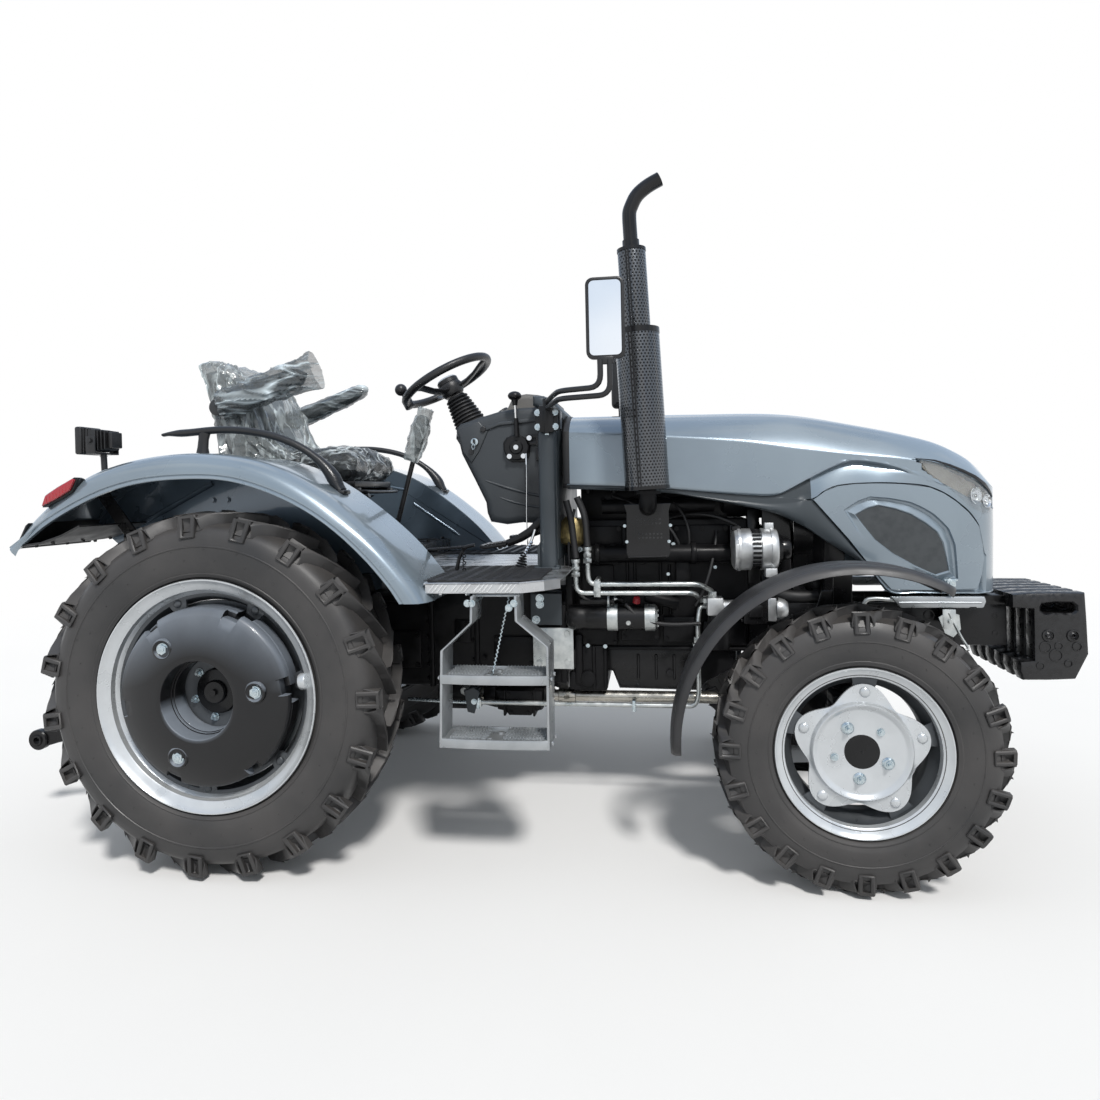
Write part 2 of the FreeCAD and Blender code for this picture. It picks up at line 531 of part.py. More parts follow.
inner_line = [(x, top - HOOD_T, sh - HOOD_T, side, w - HOOD_T) for x, top, sh, side, w in hood_line]
inner_line[0] = (HOOD_REAR_X - 1.0,) + inner_line[0][1:]
inner_line[-2] = (2281.0,) + inner_line[-2][1:]
inner_line[-1] = (2320.0,) + inner_line[-1][1:]
inner = Part.makeLoft([hood_ring(*row) for row in inner_line], True, True)
below = prism([(900.0, 600.0), (900.0, 1085.0), (979.0, 1085.0), (1307.0, 1069.0), (1636.0, 1000.0),
               (1731.0, 952.0), (1839.0, 876.0), (1906.0, 842.0), (1971.0, 762.0),
               (2400.0, 772.0), (2400.0, 600.0)], -400.0, 400.0)
grille_gap = box(2200.0, 2400.0, -150.0, 150.0, 790.0, 1010.0)
hood = cut(outer, [inner, below, grille_gap])
pieces["hood_shell"] = hood
grille = inner.common(box(2262.0, 2400.0, -160.0, 160.0, 786.0, 1016.0))
grille = grille.cut(inner.translated(vec(-8.0, 0, 0)))
pieces["hood_grille"] = grille
lamp_side = [(2068.0, 1150.0), (2134.0, 1138.0), (2230.0, 1086.0), (2360.0, 1060.0), (2360.0, 985.0),
             (2253.0, 965.0), (2236.0, 1012.0), (2167.0, 1047.0), (2096.0, 1104.0)]
lamp = prism(lamp_side, -300.0, -105.0).common(outer)
lamp = lamp.cut(inner.translated(vec(-14.0, 12.0, 0)))
pieces["headlamps"] = pair(lamp)
HINGE = (986.0, 1330.0)      # hood's pivot, x and height, just under its top rear edge
HINGE_R = 7.0
notch = box(960.0, 1000.0, -92.0, 92.0, 1290.0, 1345.0)
barrel = rod((HINGE[0], -70.0, HINGE[1]), (HINGE[0], 70.0, HINGE[1]), HINGE_R)
leaf = box(HINGE[0], 1020.0, -60.0, 60.0, 1321.0, 1331.0)
hinge_bore = rod((HINGE[0], -71.0, HINGE[1]), (HINGE[0], 71.0, HINGE[1]), 4.0 + BEARING_GAP)
hood = cut(hood, [pieces["headlamps"], notch])
pieces["hood_shell"] = cut(fuse([hood, barrel, leaf]), [hinge_bore])
pieces["hood_grille"] = pieces["hood_grille"].cut(pieces["headlamps"])

# --- cowl, dashboard and steering -----------------------------------------------------------------
cowl_parts = [box(940.0, 955.0, -310.0, 310.0, 860.0, 1325.0)]
for side in (-1.0, 1.0):
    post = plan([(898.0, side * 322.0), (905.0, side * 344.0), (925.0, side * 352.0),
                 (945.0, side * 344.0), (952.0, side * 322.0), (945.0, side * 302.0),
                 (905.0, side * 302.0)], FLOOR_TOP, 1268.0)
    cowl_parts.append(post)
    ys = sorted((side * 308.0, side * 346.0))
    cowl_parts.append(box(903.0, 948.0, ys[0], ys[1], 1267.0, 1352.0))
    ys = sorted((side * 60.0, side * 90.0))
    cowl_parts.append(box(900.0, 945.0, ys[0], ys[1], 802.0, 870.0))
    ys = sorted((side * 76.0, side * 84.0))
    cowl_parts.append(box(954.0, HINGE[0] + 6.0, ys[0], ys[1], HINGE[1] - 12.0, HINGE[1] + 6.0))
    cowl_parts.append(box(941.0, 955.0, ys[0], ys[1], HINGE[1] - 12.0, HINGE[1] + 6.0))
cowl_parts.append(rod((HINGE[0], -80.0, HINGE[1]), (HINGE[0], 80.0, HINGE[1]), 4.0))
pieces["cowl_frame"] = fuse(cowl_parts)
dash_side = [(582.0, 1296.0), (596.0, 1312.0), (663.0, 1330.0), (741.0, 1358.0), (774.0, 1369.0),
             (940.0, 1372.0), (940.0, 968.0), (757.0, 968.0), (698.0, 981.0), (682.0, 1057.0)]
hump_side = [(760.0, 1360.0), (794.0, 1392.0), (874.0, 1420.0), (921.0, 1405.0), (940.0, 1372.0),
             (940.0, 1300.0), (760.0, 1300.0)]
dash = fuse([prism(dash_side, -165.0, 165.0), prism(hump_side, -135.0, 135.0)])
pieces["dashboard"] = dash

tilt = math.radians(WHEEL_TILT)
AXIS = vec(-math.sin(tilt), 0, math.cos(tilt))
wheel_mid = vec(WHEEL_CENTRE[0], 0, WHEEL_CENTRE[1])


def along(d):
    """Point on the steering axis, d above the wheel's middle plane."""
    p = wheel_mid + AXIS * d
    return (p.x, p.y, p.z)


column = fuse([
    cone(along(-250.0), along(-70.0), 62.0, 36.0),
    rod(along(-260.0), along(-30.0), 12.0),
])
pieces["steering_column"] = cut(column, [dash])
ring = Part.makeTorus(WHEEL_R, 14.0, wheel_mid, AXIS)
wheel_parts = [ring, rod(along(-62.0), along(6.0), 34.0)]
for i in range(3):
    a = math.radians(120.0 * i + 30.0)
    side_dir = vec(0, 1, 0)
    up_dir = AXIS.cross(side_dir)
    out = side_dir * math.cos(a) + up_dir * math.sin(a)
    tip = wheel_mid + out * (WHEEL_R - 4.0)
    foot = wheel_mid + AXIS * -30.0
    wheel_parts.append(rod((foot.x, foot.y, foot.z), (tip.x, tip.y, tip.z), 8.0))
knob_at = wheel_mid + AXIS.cross(vec(0, 1, 0)) * WHEEL_R
knob_top = knob_at + AXIS * 60.0
wheel_parts.append(rod((knob_at.x, knob_at.y, knob_at.z), (knob_top.x, knob_top.y, knob_top.z), 7.0))
wheel_parts.append(Part.makeSphere(22.0, knob_top))
wheel_bore = rod(along(-64.0), along(-28.0), 12.0 + BEARING_GAP)
pieces["steering_wheel"] = cut(fuse(wheel_parts), [wheel_bore])

# --- rear fenders ---------------------------------------------------------------------------------
arc = [(-619.0, 959.0), (-605.0, 979.0), (-544.0, 1046.0), (-444.0, 1125.0), (-347.0, 1177.0),
       (-220.0, 1206.0), (-65.0, 1215.0), (116.0, 1202.0), (291.0, 1128.0), (405.0, 1043.0),
       (517.0, 946.0), (599.0, 851.0), (645.0, 783.0)]
skirt_edge = [(564.0, 783.0), (487.0, 873.0), (375.0, 994.0), (231.0, 1080.0), (84.0, 1122.0),
              (-67.0, 1136.0), (-223.0, 1120.0), (-382.0, 1072.0), (-496.0, 1016.0), (-580.0, 938.0)]


def toward_axle(points, d):
    """Points moved by d toward a spot above the rear axle."""
    out = []
    for x, z in points:
        r = math.hypot(x - 10.0, z - 500.0)
        out.append((x + (10.0 - x) * d / r, z + (500.0 - z) * d / r))
    return out


arc_in = toward_axle(arc, FENDER_T)
sheet = prism(arc + arc_in[::-1], -FENDER_OUT, -FENDER_IN)
skirt = prism(arc + skirt_edge, -FENDER_OUT, -FENDER_OUT + FENDER_T)
wall_outline = arc[1:-1] + [(612.0, FLOOR_TOP), (90.0, FLOOR_TOP), (90.0, 640.0), (-90.0, 640.0),
                            (-90.0, FLOOR_TOP), (-400.0, FLOOR_TOP)]
wall = prism(wall_outline, -FENDER_IN - FENDER_T, -FENDER_IN)
fender = fuse([sheet, skirt, wall])
pieces["rear_fenders"] = pair(fender)

deck = fuse([
    box(-300.0, 400.0, -FENDER_IN, FENDER_IN, DECK_TOP - 12.0, DECK_TOP),
    box(388.0, 400.0, -FENDER_IN, FENDER_IN, FLOOR_TOP, DECK_TOP),
])
pieces["seat_deck"] = deck

floor_outline = [(388.0, -FENDER_IN), (620.0, -FENDER_IN), (620.0, -FLOOR_HALF_W),
                 (893.0, -FLOOR_HALF_W), (1000.0, -560.0), (1000.0, -240.0), (900.0, -200.0)]
outline = floor_outline + [(x, -y) for x, y in floor_outline[::-1]]
floor_parts = [plan(outline, FLOOR_TOP - 6.0, FLOOR_TOP),
               box(600.0, 640.0, -FENDER_IN, FENDER_IN, 802.0, FLOOR_TOP - 5.0),
               box(850.0, 890.0, -560.0, 560.0, 802.0, FLOOR_TOP - 5.0)]
for side in (-1.0, 1.0):
    ys = sorted((side * (FLOOR_HALF_W - 6.0), side * FLOOR_HALF_W))
    floor_parts.append(box(640.0, 893.0, ys[0], ys[1], 802.0, FLOOR_TOP - 5.0))
floor = fuse(floor_parts)
pipe_gap = box(980.0, 1010.0, -282.0, -242.0, 800.0, 840.0)
pieces["floor_plates"] = cut(floor, [pieces["rear_fenders"], pieces["cowl_frame"], pipe_gap])

rear_hanger = strap([(759.0, 802.0), (756.0, 728.0), (672.0, 651.0), (664.0, 382.0)], 8.0,
                    STEP_OUT, STEP_IN)
front_hanger = strap([(969.0, 382.0), (971.0, 664.0), (888.0, 733.0), (887.0, 802.0)], 8.0,
                     STEP_OUT, STEP_IN)
step = fuse([
    rear_hanger,
    front_hanger,
    box(668.0, 968.0, STEP_OUT - 6.0, STEP_IN, 560.0, 592.0),
    box(668.0, 968.0, STEP_OUT - 6.0, STEP_IN, 386.0, 418.0),
    box(756.0, 890.0, -FLOOR_HALF_W + 6.0, STEP_IN, 780.0, 802.0),
])
pieces["steps"] = pair(step)

# --- seat -----------------------------------------------------------------------------------------
pieces["seat_base"] = fuse([
    box(-200.0, 200.0, -190.0, 190.0, DECK_TOP, DECK_TOP + 30.0),
    box(-150.0, 160.0, -140.0, 140.0, DECK_TOP + 29.0, 1090.0),
    box(-292.0, 230.0, -190.0, 190.0, 1090.0, 1130.0),
])
cushion_side = [(-225.0, 1130.0), (235.0, 1130.0), (262.0, 1180.0), (255.0, 1225.0), (215.0, 1248.0),
                (-180.0, 1222.0), (-225.0, 1222.0)]
cushion = prism(cushion_side, -225.0, 225.0)
pieces["seat_cushion"] = cushion
back_side = [(-226.0, 1130.0), (-226.0, 1222.0), (-180.0, 1223.0), (-205.0, 1330.0),
             (-282.0, 1540.0), (-330.0, 1585.0), (-395.0, 1570.0), (-400.0, 1535.0),
             (-318.0, 1300.0), (-290.0, 1140.0)]
pieces["seat_back"] = prism(back_side, -220.0, 220.0)


def armrest(y0, y1, foot, tip):
    """Padded bar from its pivot on the backrest to its tip."""
    middle = (y0 + y1) / 2.0
    bar = rod((foot[0], middle, foot[1]), (tip[0], middle, tip[1]), 31.0)
    pivot = rod((foot[0], y0, foot[1]), (foot[0], y1, foot[1]), 34.0)
    return fuse([bar, pivot])


near_rest = armrest(-284.0, -220.0, (-262.0, 1392.0), (75.0, 1526.0))
far_rest = armrest(220.0, 284.0, (-262.0, 1372.0), (95.0, 1508.0))
pieces["armrests"] = Part.makeCompound([near_rest, far_rest])

# --- lamps, rails, mirrors ------------------------------------------------------------------------
rail = fuse([
    pipe([(-234.0, -560.0, 1279.0), (-60.0, -560.0, 1292.0), (120.0, -560.0, 1266.0),
          (240.0, -560.0, 1215.0), (330.0, -560.0, 1090.0)], 13.0, 60.0),
    box(-122.0, -92.0, -569.0, -551.0, 1190.0, 1286.0),
])
rail_pair = pair(rail)
pieces["grab_rails"] = rail_pair.cut(pieces["rear_fenders"])
work = fuse([
    box(-470.0, -352.0, -650.0, -560.0, 1220.0, 1306.0),
    rod((-400.0, -604.0, 1120.0), (-400.0, -604.0, 1240.0), 9.0),
])
below_sheet = prism([(-700.0, 700.0)] + arc + [(700.0, 700.0)], -FENDER_OUT, -FENDER_IN)
pieces["work_lamps"] = pair(work.cut(below_sheet))
tail_lamp = prism([(-492.0, 1060.0), (-400.0, 1105.0), (-392.0, 1140.0), (-440.0, 1118.0),
                   (-482.0, 1085.0)], -FENDER_OUT - 14.0, -FENDER_OUT)
pieces["tail_lamps"] = pair(tail_lamp)

clamp = box(915.0, 945.0, -366.0, -346.0, 1325.0, 1372.0)
arm_low = pipe([(930.0, -352.0, 1340.0), (1000.0, -600.0, 1340.0), (1138.0, -650.0, 1340.0),
                (1138.0, -650.0, 1440.0)], 8.0, 30.0)
arm_high = pipe([(930.0, -352.0, 1362.0), (1000.0, -600.0, 1362.0), (1118.0, -650.0, 1362.0),
                 (1118.0, -650.0, 1440.0)], 8.0, 20.0)
mirror_case = fuse([
    box(1082.0, 1190.0, -650.0, -622.0, 1438.0, 1660.0),
    box(1100.0, 1156.0, -660.0, -640.0, 1425.0, 1445.0),
])
glass = box(1090.0, 1182.0, -652.0, -649.0, 1446.0, 1652.0)
mirror = fuse([clamp, arm_low, arm_high, mirror_case])
pieces["mirrors"] = pair(cut(mirror, [glass]))
pieces["mirror_glass"] = pair(glass)

# --- controls -------------------------------------------------------------------------------------
throttle = fuse([
    box(785.0, 835.0, -185.0, -165.0, 1150.0, 1240.0),
    rod((808.0, -176.0, 1205.0), (803.0, -200.0, 1395.0), 5.0),
    Part.makeSphere(17.0, vec(801.0, -200.0, 1402.0)),
])
gear = fuse([
    box(320.0, 384.0, -180.0, -120.0, DECK_TOP, DECK_TOP + 12.0),
    rod((342.0, -150.0, DECK_TOP + 5.0), (434.0, -150.0, 1215.0), 8.0),
    rod((432.0, -150.0, 1208.0), (470.0, -150.0, 1345.0), 26.0),
])
pieces["levers"] = Part.makeCompound([throttle, gear])


def pedal(y):
    """Foot pedal hung from the bulkhead, with its pad over the floor."""
    arm = pipe([(942.0, y, 1010.0), (850.0, y, 995.0), (775.0, y, 912.0)], 8.0, 25.0)
    pad = prism([(697.0, 902.0), (784.0, 914.0), (782.0, 924.0), (697.0, 912.0)], y - 32.0, y + 32.0)
    return fuse([arm, pad])


pedals = Part.makeCompound([pedal(-215.0), pedal(-290.0), pedal(225.0)])
pieces["pedals"] = pedals.cut(pieces["cowl_frame"])

PIPE_Y = -262.0              # the two upper pipes pass outside the starter motor
pipe_upper = pipe([(1041.0, PIPE_Y, 890.0), (1043.0, PIPE_Y, 776.0), (1395.0, PIPE_Y, 776.0),
                   (1440.0, -200.0, 740.0), (1440.0, -200.0, 726.0)], 8.0, 12.0)
pipe_lower = pipe([(1002.0, PIPE_Y, 850.0), (1003.0, PIPE_Y, 748.0), (1380.0, PIPE_Y, 748.0),
                   (1404.0, -178.0, 712.0), (1422.0, -178.0, 712.0)], 8.0, 12.0)
clamp = box(1060.0, 1080.0, PIPE_Y - 9.0, PIPE_Y + 9.0, 738.0, 786.0)
fittings = fuse([
    rod((1041.0, PIPE_Y, 850.0), (1041.0, PIPE_Y, 895.0), 13.0),
    rod((1002.0, PIPE_Y, 805.0), (1002.0, PIPE_Y, 855.0), 13.0),
    box(1000.0, 1043.0, PIPE_Y - 6.0, PIPE_Y + 6.0, 815.0, 828.0),
])
stay = box(1062.0, 1078.0, PIPE_Y, -ENGINE_HALF_W, 778.0, 790.0)
upper_lines = fuse([pipe_upper, pipe_lower, clamp, fittings, stay])
return_line = fuse([
    pipe([(600.0, -180.0, 400.0), (640.0, -190.0, 366.0), (1375.0, -190.0, 366.0),
          (1392.0, -190.0, 480.0), (1392.0, -180.0, 640.0), (1400.0, -170.0, 690.0),
          (1425.0, -165.0, 690.0)], 8.0, 10.0),
    rod((600.0, -120.0, 410.0), (600.0, -186.0, 400.0), 13.0),
])
lines = Part.makeCompound([upper_lines, return_line])
pieces["hydraulic_pipes"] = lines.cut(pieces["engine"]).cut(pieces["hydraulic_pump"])
pieces["hydraulic_pipes"] = pieces["hydraulic_pipes"].cut(pieces["transmission"])
pieces["gearbox_plates"] = fuse([
    box(845.0, 984.0, -200.0, -192.0, 484.0, 624.0),
    box(905.0, 925.0, -193.0, -190.0, 500.0, 600.0),
])

# --- rear linkage ---------------------------------------------------------------------------------
link_dx = LINK_BALL[0] - LINK_PIVOT[0]
link_dz = LINK_BALL[1] - LINK_PIVOT[1]
link_len = math.hypot(link_dx, link_dz)
ux = link_dx / link_len
uz = link_dz / link_len
share = LIFT_LEN / link_len
pin_link = (LINK_PIVOT[0] + ux * LIFT_LEN, LINK_PIVOT[1] + uz * LIFT_LEN)
pin_arm = (LIFT_PIVOT[0] + ux * LIFT_LEN, LIFT_PIVOT[1] + uz * LIFT_LEN)
pin_y = LINK_PIVOT_Y + (LINK_BALL_Y - LINK_PIVOT_Y) * share
ROD_Y0 = 328.0
ROD_Y1 = 350.0

a = vec(LINK_PIVOT[0], -LINK_PIVOT_Y, LINK_PIVOT[1])
e = vec(LINK_BALL[0], -LINK_BALL_Y, LINK_BALL[1])
lift_pin = rod((pin_link[0], -pin_y, pin_link[1]), (pin_link[0], -ROD_Y1 - 4.0, pin_link[1]), 11.0)
flat = [vec(a.x, a.y - 12.0, a.z - 26.0), vec(a.x, a.y + 12.0, a.z - 26.0),
        vec(a.x, a.y + 12.0, a.z + 26.0), vec(a.x, a.y - 12.0, a.z + 26.0)]
bar_face = Part.Face(Part.makePolygon(flat + flat[:1]))
bar = bar_face.extrude(e - a)
link_parts = [
    bar,
    rod((a.x, a.y - 14.0, a.z), (a.x, a.y + 14.0, a.z), 32.0),
    rod((e.x, e.y - 14.0, e.z), (e.x, e.y + 14.0, e.z), LINK_BALL_R),
    lift_pin,
]
link_holes = [
    rod((a.x, a.y - 20.0, a.z), (a.x, a.y + 20.0, a.z), 14.0 + BEARING_GAP),
    rod((e.x, e.y - 20.0, e.z), (e.x, e.y + 20.0, e.z), 11.0),
]
pieces["lower_links"] = pair(cut(fuse(link_parts), link_holes))

arm_bar = prism([(LIFT_PIVOT[0] + 8.0, LIFT_PIVOT[1] - 34.0), (LIFT_PIVOT[0] - 4.0, LIFT_PIVOT[1] + 34.0),
                 (pin_arm[0], pin_arm[1] + 20.0), (pin_arm[0], pin_arm[1] - 20.0)], -326.0, -300.0)
arm_side = fuse([
    arm_bar,
    rod((LIFT_PIVOT[0], -326.0, LIFT_PIVOT[1]), (LIFT_PIVOT[0], -300.0, LIFT_PIVOT[1]), 42.0),
    rod((pin_arm[0], -326.0, pin_arm[1]), (pin_arm[0], -300.0, pin_arm[1]), 24.0),
    rod((pin_arm[0], -ROD_Y1 - 4.0, pin_arm[1]), (pin_arm[0], -310.0, pin_arm[1]), 11.0),
])
shaft = rod((LIFT_PIVOT[0], -310.0, LIFT_PIVOT[1]), (LIFT_PIVOT[0], 310.0, LIFT_PIVOT[1]), 30.0)
pieces["lift_arms"] = fuse([arm_side, mirrored(arm_side), shaft])

rod_mid = -(ROD_Y0 + ROD_Y1) / 2.0
rod_parts = [
    rod((pin_arm[0], rod_mid, pin_arm[1]), (pin_link[0], rod_mid, pin_link[1]), 10.0),
    rod((pin_arm[0], -ROD_Y1, pin_arm[1]), (pin_arm[0], -ROD_Y0, pin_arm[1]), 22.0),
    rod((pin_link[0], -ROD_Y1, pin_link[1]), (pin_link[0], -ROD_Y0, pin_link[1]), 22.0),
]
rod_holes = [
    rod((pin_arm[0], -360.0, pin_arm[1]), (pin_arm[0], -320.0, pin_arm[1]), 11.0 + BEARING_GAP),
    rod((pin_link[0], -360.0, pin_link[1]), (pin_link[0], -320.0, pin_link[1]), 11.0 + BEARING_GAP),
]
pieces["lift_rods"] = pair(cut(fuse(rod_parts), rod_holes))

# --- left-hand copies, then one STEP file for each piece -------------------------------------------
SIDED = ["rear_rim", "rear_tyre", "rear_wheel_weight", "front_rim", "front_tyre", "knuckle",
         "front_fender"]
for name in SIDED:
    pieces[name + "_left"] = mirrored(pieces[name + "_right"])

os.makedirs("parts", exist_ok=True)
for name in sorted(pieces):
    shape = pieces[name].copy()
    shape.translate(vec(ROW_SHIFT, 0, 0))
    shape.exportStep("parts/" + name + ".step")
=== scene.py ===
# %% [markdown]
# This script dresses a compact four-wheel-drive tractor. The construction model comes in first as a
# fixed frame, and every piece made here sits on it in the same metres and the same axes. Lengths are
# in metres. Inside the modelling code, X counts forward from the middle of the rear axle, because that
# is how such a machine is measured, and each finished mesh is then moved into the frame.

# %% Start
import json
import math
import random

import bmesh
import bpy
from mathutils import Matrix, Vector


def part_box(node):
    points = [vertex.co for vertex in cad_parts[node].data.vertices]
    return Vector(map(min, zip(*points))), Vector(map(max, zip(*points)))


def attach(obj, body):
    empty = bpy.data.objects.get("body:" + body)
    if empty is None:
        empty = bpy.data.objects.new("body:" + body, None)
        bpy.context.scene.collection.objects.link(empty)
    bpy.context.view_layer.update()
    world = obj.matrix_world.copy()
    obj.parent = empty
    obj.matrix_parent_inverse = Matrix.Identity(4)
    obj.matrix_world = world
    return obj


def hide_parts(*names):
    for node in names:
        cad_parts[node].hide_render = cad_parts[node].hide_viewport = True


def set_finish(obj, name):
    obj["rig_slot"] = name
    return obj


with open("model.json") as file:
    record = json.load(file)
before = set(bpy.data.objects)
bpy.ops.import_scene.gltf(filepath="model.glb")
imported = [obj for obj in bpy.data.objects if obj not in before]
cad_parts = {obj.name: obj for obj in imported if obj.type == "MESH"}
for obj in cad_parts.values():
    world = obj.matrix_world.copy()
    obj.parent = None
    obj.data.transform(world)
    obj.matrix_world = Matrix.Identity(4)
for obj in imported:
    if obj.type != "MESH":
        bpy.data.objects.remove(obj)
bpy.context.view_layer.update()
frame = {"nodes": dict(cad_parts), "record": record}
nodes = frame["nodes"]
rim_low, rim_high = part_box("rear_rim_right")
AXLE_X = (rim_low.x + rim_high.x) / 2
AXLE_Z = (rim_low.z + rim_high.z) / 2
print("frame:", len(nodes), "nodes, rear axle at x =", round(AXLE_X, 4))

# %% [markdown]
# The camera stands at the tractor's right side, about as high as the hood, and looks slightly towards
# the rear wheel. A wide lens close to the machine gives a strong perspective: the near wheels look
# large, and the far side falls away.

# %% Camera
CAMERA_PLACE = Vector((0.4085, -2.72, 1.081))
YAW = math.radians(8.1)
PITCH = math.radians(-0.5)
ROLL = math.radians(1.2)
ahead = Vector((-math.sin(YAW) * math.cos(PITCH), math.cos(YAW) * math.cos(PITCH), math.sin(PITCH)))
level = Vector((math.cos(YAW), math.sin(YAW), 0.0))
down = ahead.cross(level)
right = level * math.cos(ROLL) + down * math.sin(ROLL)
up = level * math.sin(ROLL) - down * math.cos(ROLL)
camera_data = bpy.data.cameras.new("camera")
camera_data.lens = 24.87
camera_data.sensor_width = 36.0
camera_data.shift_x = 0.0045
camera_data.shift_y = -0.0473
camera = bpy.data.objects.new("camera", camera_data)
turn = Matrix((right, up, -ahead)).transposed()
camera.matrix_world = Matrix.Translation(CAMERA_PLACE) @ turn.to_4x4()
scene = bpy.context.scene
scene.collection.objects.link(camera)
scene.camera = camera
scene.view_settings.view_transform = "Standard"
print("camera:", round(camera_data.lens, 1), "mm lens")

# %% [markdown]
# A machine this size would stand in an even, bright studio. One broad sun lamp gives shape and a soft
# shadow, and the world fills the shadows. The camera sees plain white behind the machine, while shiny
# paint sees a pale sky that turns bluer overhead, so that curved sheet metal shows a gradient along
# its form. The world and every finish are node trees, so a helper comes first that makes a node, sets
# it and links it in one line.

# %% Light
def feed(tree, node, sockets):
    """Gives each socket its plain value, or links it to the output or the node's first output."""
    for socket, value in sockets.items():
        if isinstance(value, bpy.types.Node):
            value = value.outputs[0]
        if isinstance(value, bpy.types.NodeSocket):
            tree.links.new(value, node.inputs[socket])
        else:
            node.inputs[socket].default_value = value
    return node


def wire(tree, kind, sockets=None, **settings):
    """A shader node with its settings and sockets."""
    node = tree.nodes.new("ShaderNode" + kind)
    for key, value in settings.items():
        setattr(node, key, value)
    return feed(tree, node, sockets or {})


def ramp(tree, source, *stops):
    """A colour ramp through (position, colour) stops."""
    node = wire(tree, "ValToRGB", {0: source})
    elements = node.color_ramp.elements
    for position, _ in stops[1:-1]:
        elements.new(position)
    for element, (position, colour) in zip(elements, stops):
        element.position = position
        element.color = (*colour, 1)
    return node


sun_data = bpy.data.lights.new("sun", "SUN")
sun_data.energy = 2.7
sun_data.angle = math.radians(9)
sun_data.color = (1.0, 0.975, 0.94)
sun = bpy.data.objects.new("sun", sun_data)
sun.rotation_mode = "QUATERNION"
sun.rotation_quaternion = Vector((-0.3, 0.62, -0.8)).to_track_quat("-Z", "Y")
scene.collection.objects.link(sun)

FILL = 0.52
world = bpy.data.worlds.new("world")
scene.world = world
world.use_nodes = True
sky = world.node_tree
sky.nodes.clear()
rays = wire(sky, "LightPath").outputs
around_us = wire(sky, "TexCoord").outputs["Generated"]
height = wire(sky, "SeparateXYZ", {0: around_us}).outputs["Z"]
blue = ramp(sky, height, (0.0, (0.96, 0.98, 1.0)), (0.28, (0.6, 0.72, 0.88)), (0.8, (0.4, 0.54, 0.78)))
clouds = wire(sky, "TexNoise", {"Scale": 2.6, "Detail": 5.0, "Vector": around_us})
drift = wire(sky, "MapRange", {"From Min": 0.46, "From Max": 0.62, "Value": clouds})
cloudy = wire(sky, "Mix", {"B": (1.05, 1.07, 1.1, 1), "Factor": drift, "A": blue}, data_type="RGBA")
shown = wire(sky, "Background", {0: cloudy.outputs["Result"], 1: 1.0})
filling = wire(sky, "Background", {0: (0.9, 0.95, 1.0, 1), 1: FILL})
white = wire(sky, "Background", {0: (1, 1, 1, 1)})
choice = wire(sky, "MixShader", {0: rays["Is Glossy Ray"], 1: filling, 2: shown})
plain = wire(sky, "Math", {0: rays["Is Camera Ray"], 1: rays["Is Transmission Ray"]}, use_clamp=True)
backdrop = wire(sky, "MixShader", {0: plain, 1: choice, 2: white})
wire(sky, "OutputWorld", {0: backdrop})
print("light: sun", sun_data.energy, "and fill", FILL)

# %% [markdown]
# Every finish here is a node material. They share a pattern: one colour broken up by two sizes of
# noise, a roughness that varies in the same places, and a bump. A small helper writes that pattern so
# that each finish below is only its own numbers. The noise reads object coordinates, so it stays on
# the metal when the joint moves, and needs no unwrapping.

# %% Material helper
FINISH = {}


def new_finish(name, sockets):
    """A new node material: its tree, and its main shader with these values."""
    made = FINISH[name] = bpy.data.materials.new(name)
    made.use_nodes = True
    tree = made.node_tree
    return tree, feed(tree, tree.nodes["Principled BSDF"], sockets)


def finish(name, colour, dark, rough, metallic=0.0, coat=0.0, spots=9.0, grain=260.0, bump=0.15,
        rough_spread=0.12, dust_and_sheen=None, dust_and_sheen_amount=0.0, dust_and_sheen_over=(-0.2, 1.0), shine=0.5):
    """A surface: two colours mottled by noise, uneven roughness, fine bump, and a colour on upward faces:
    dust on most finishes, a painted sky sheen on the ballast, partly painted light on the tyres.
    """
    tree, shader = new_finish(name, {"Metallic": metallic, "Coat Weight": coat, "Coat Roughness": 0.06,
        "Specular IOR Level": shine})
    where = wire(tree, "TexCoord").outputs["Object"]
    wide = wire(tree, "TexNoise", {"Scale": spots, "Detail": 6.0, "Vector": where})
    tone = ramp(tree, wide, (0.32, dark), (0.62, colour))
    # Upward faces get a second colour: settled dust on most finishes, a painted sheen of light on some.
    if dust_and_sheen:
        facing = wire(tree, "SeparateXYZ", {0: wire(tree, "NewGeometry").outputs["Normal"]})
        settled_and_lit = wire(tree, "MapRange", {"From Min": dust_and_sheen_over[0], "From Max": dust_and_sheen_over[1],
            "To Max": dust_and_sheen_amount, "Value": facing.outputs["Z"]})
        patchy = wire(tree, "Math", {0: settled_and_lit, 1: wide}, operation="MULTIPLY")
        over = wire(tree, "Mix", {"Factor": patchy, "A": tone, "B": (*dust_and_sheen, 1)}, data_type="RGBA")
        tone = over.outputs["Result"]
    spread = wire(tree, "MapRange", {"From Min": 0.3, "From Max": 0.7, "Value": wide,
        "To Min": max(rough - rough_spread, 0.03), "To Max": min(rough + rough_spread, 1.0)})
    feed(tree, shader, {"Base Color": tone, "Roughness": spread})
    if bump:
        fine = wire(tree, "TexNoise", {"Scale": grain, "Detail": 3.0, "Vector": where})
        relief = wire(tree, "Bump", {"Strength": bump, "Distance": 0.0006, "Height": fine})
        feed(tree, shader, {"Normal": relief})


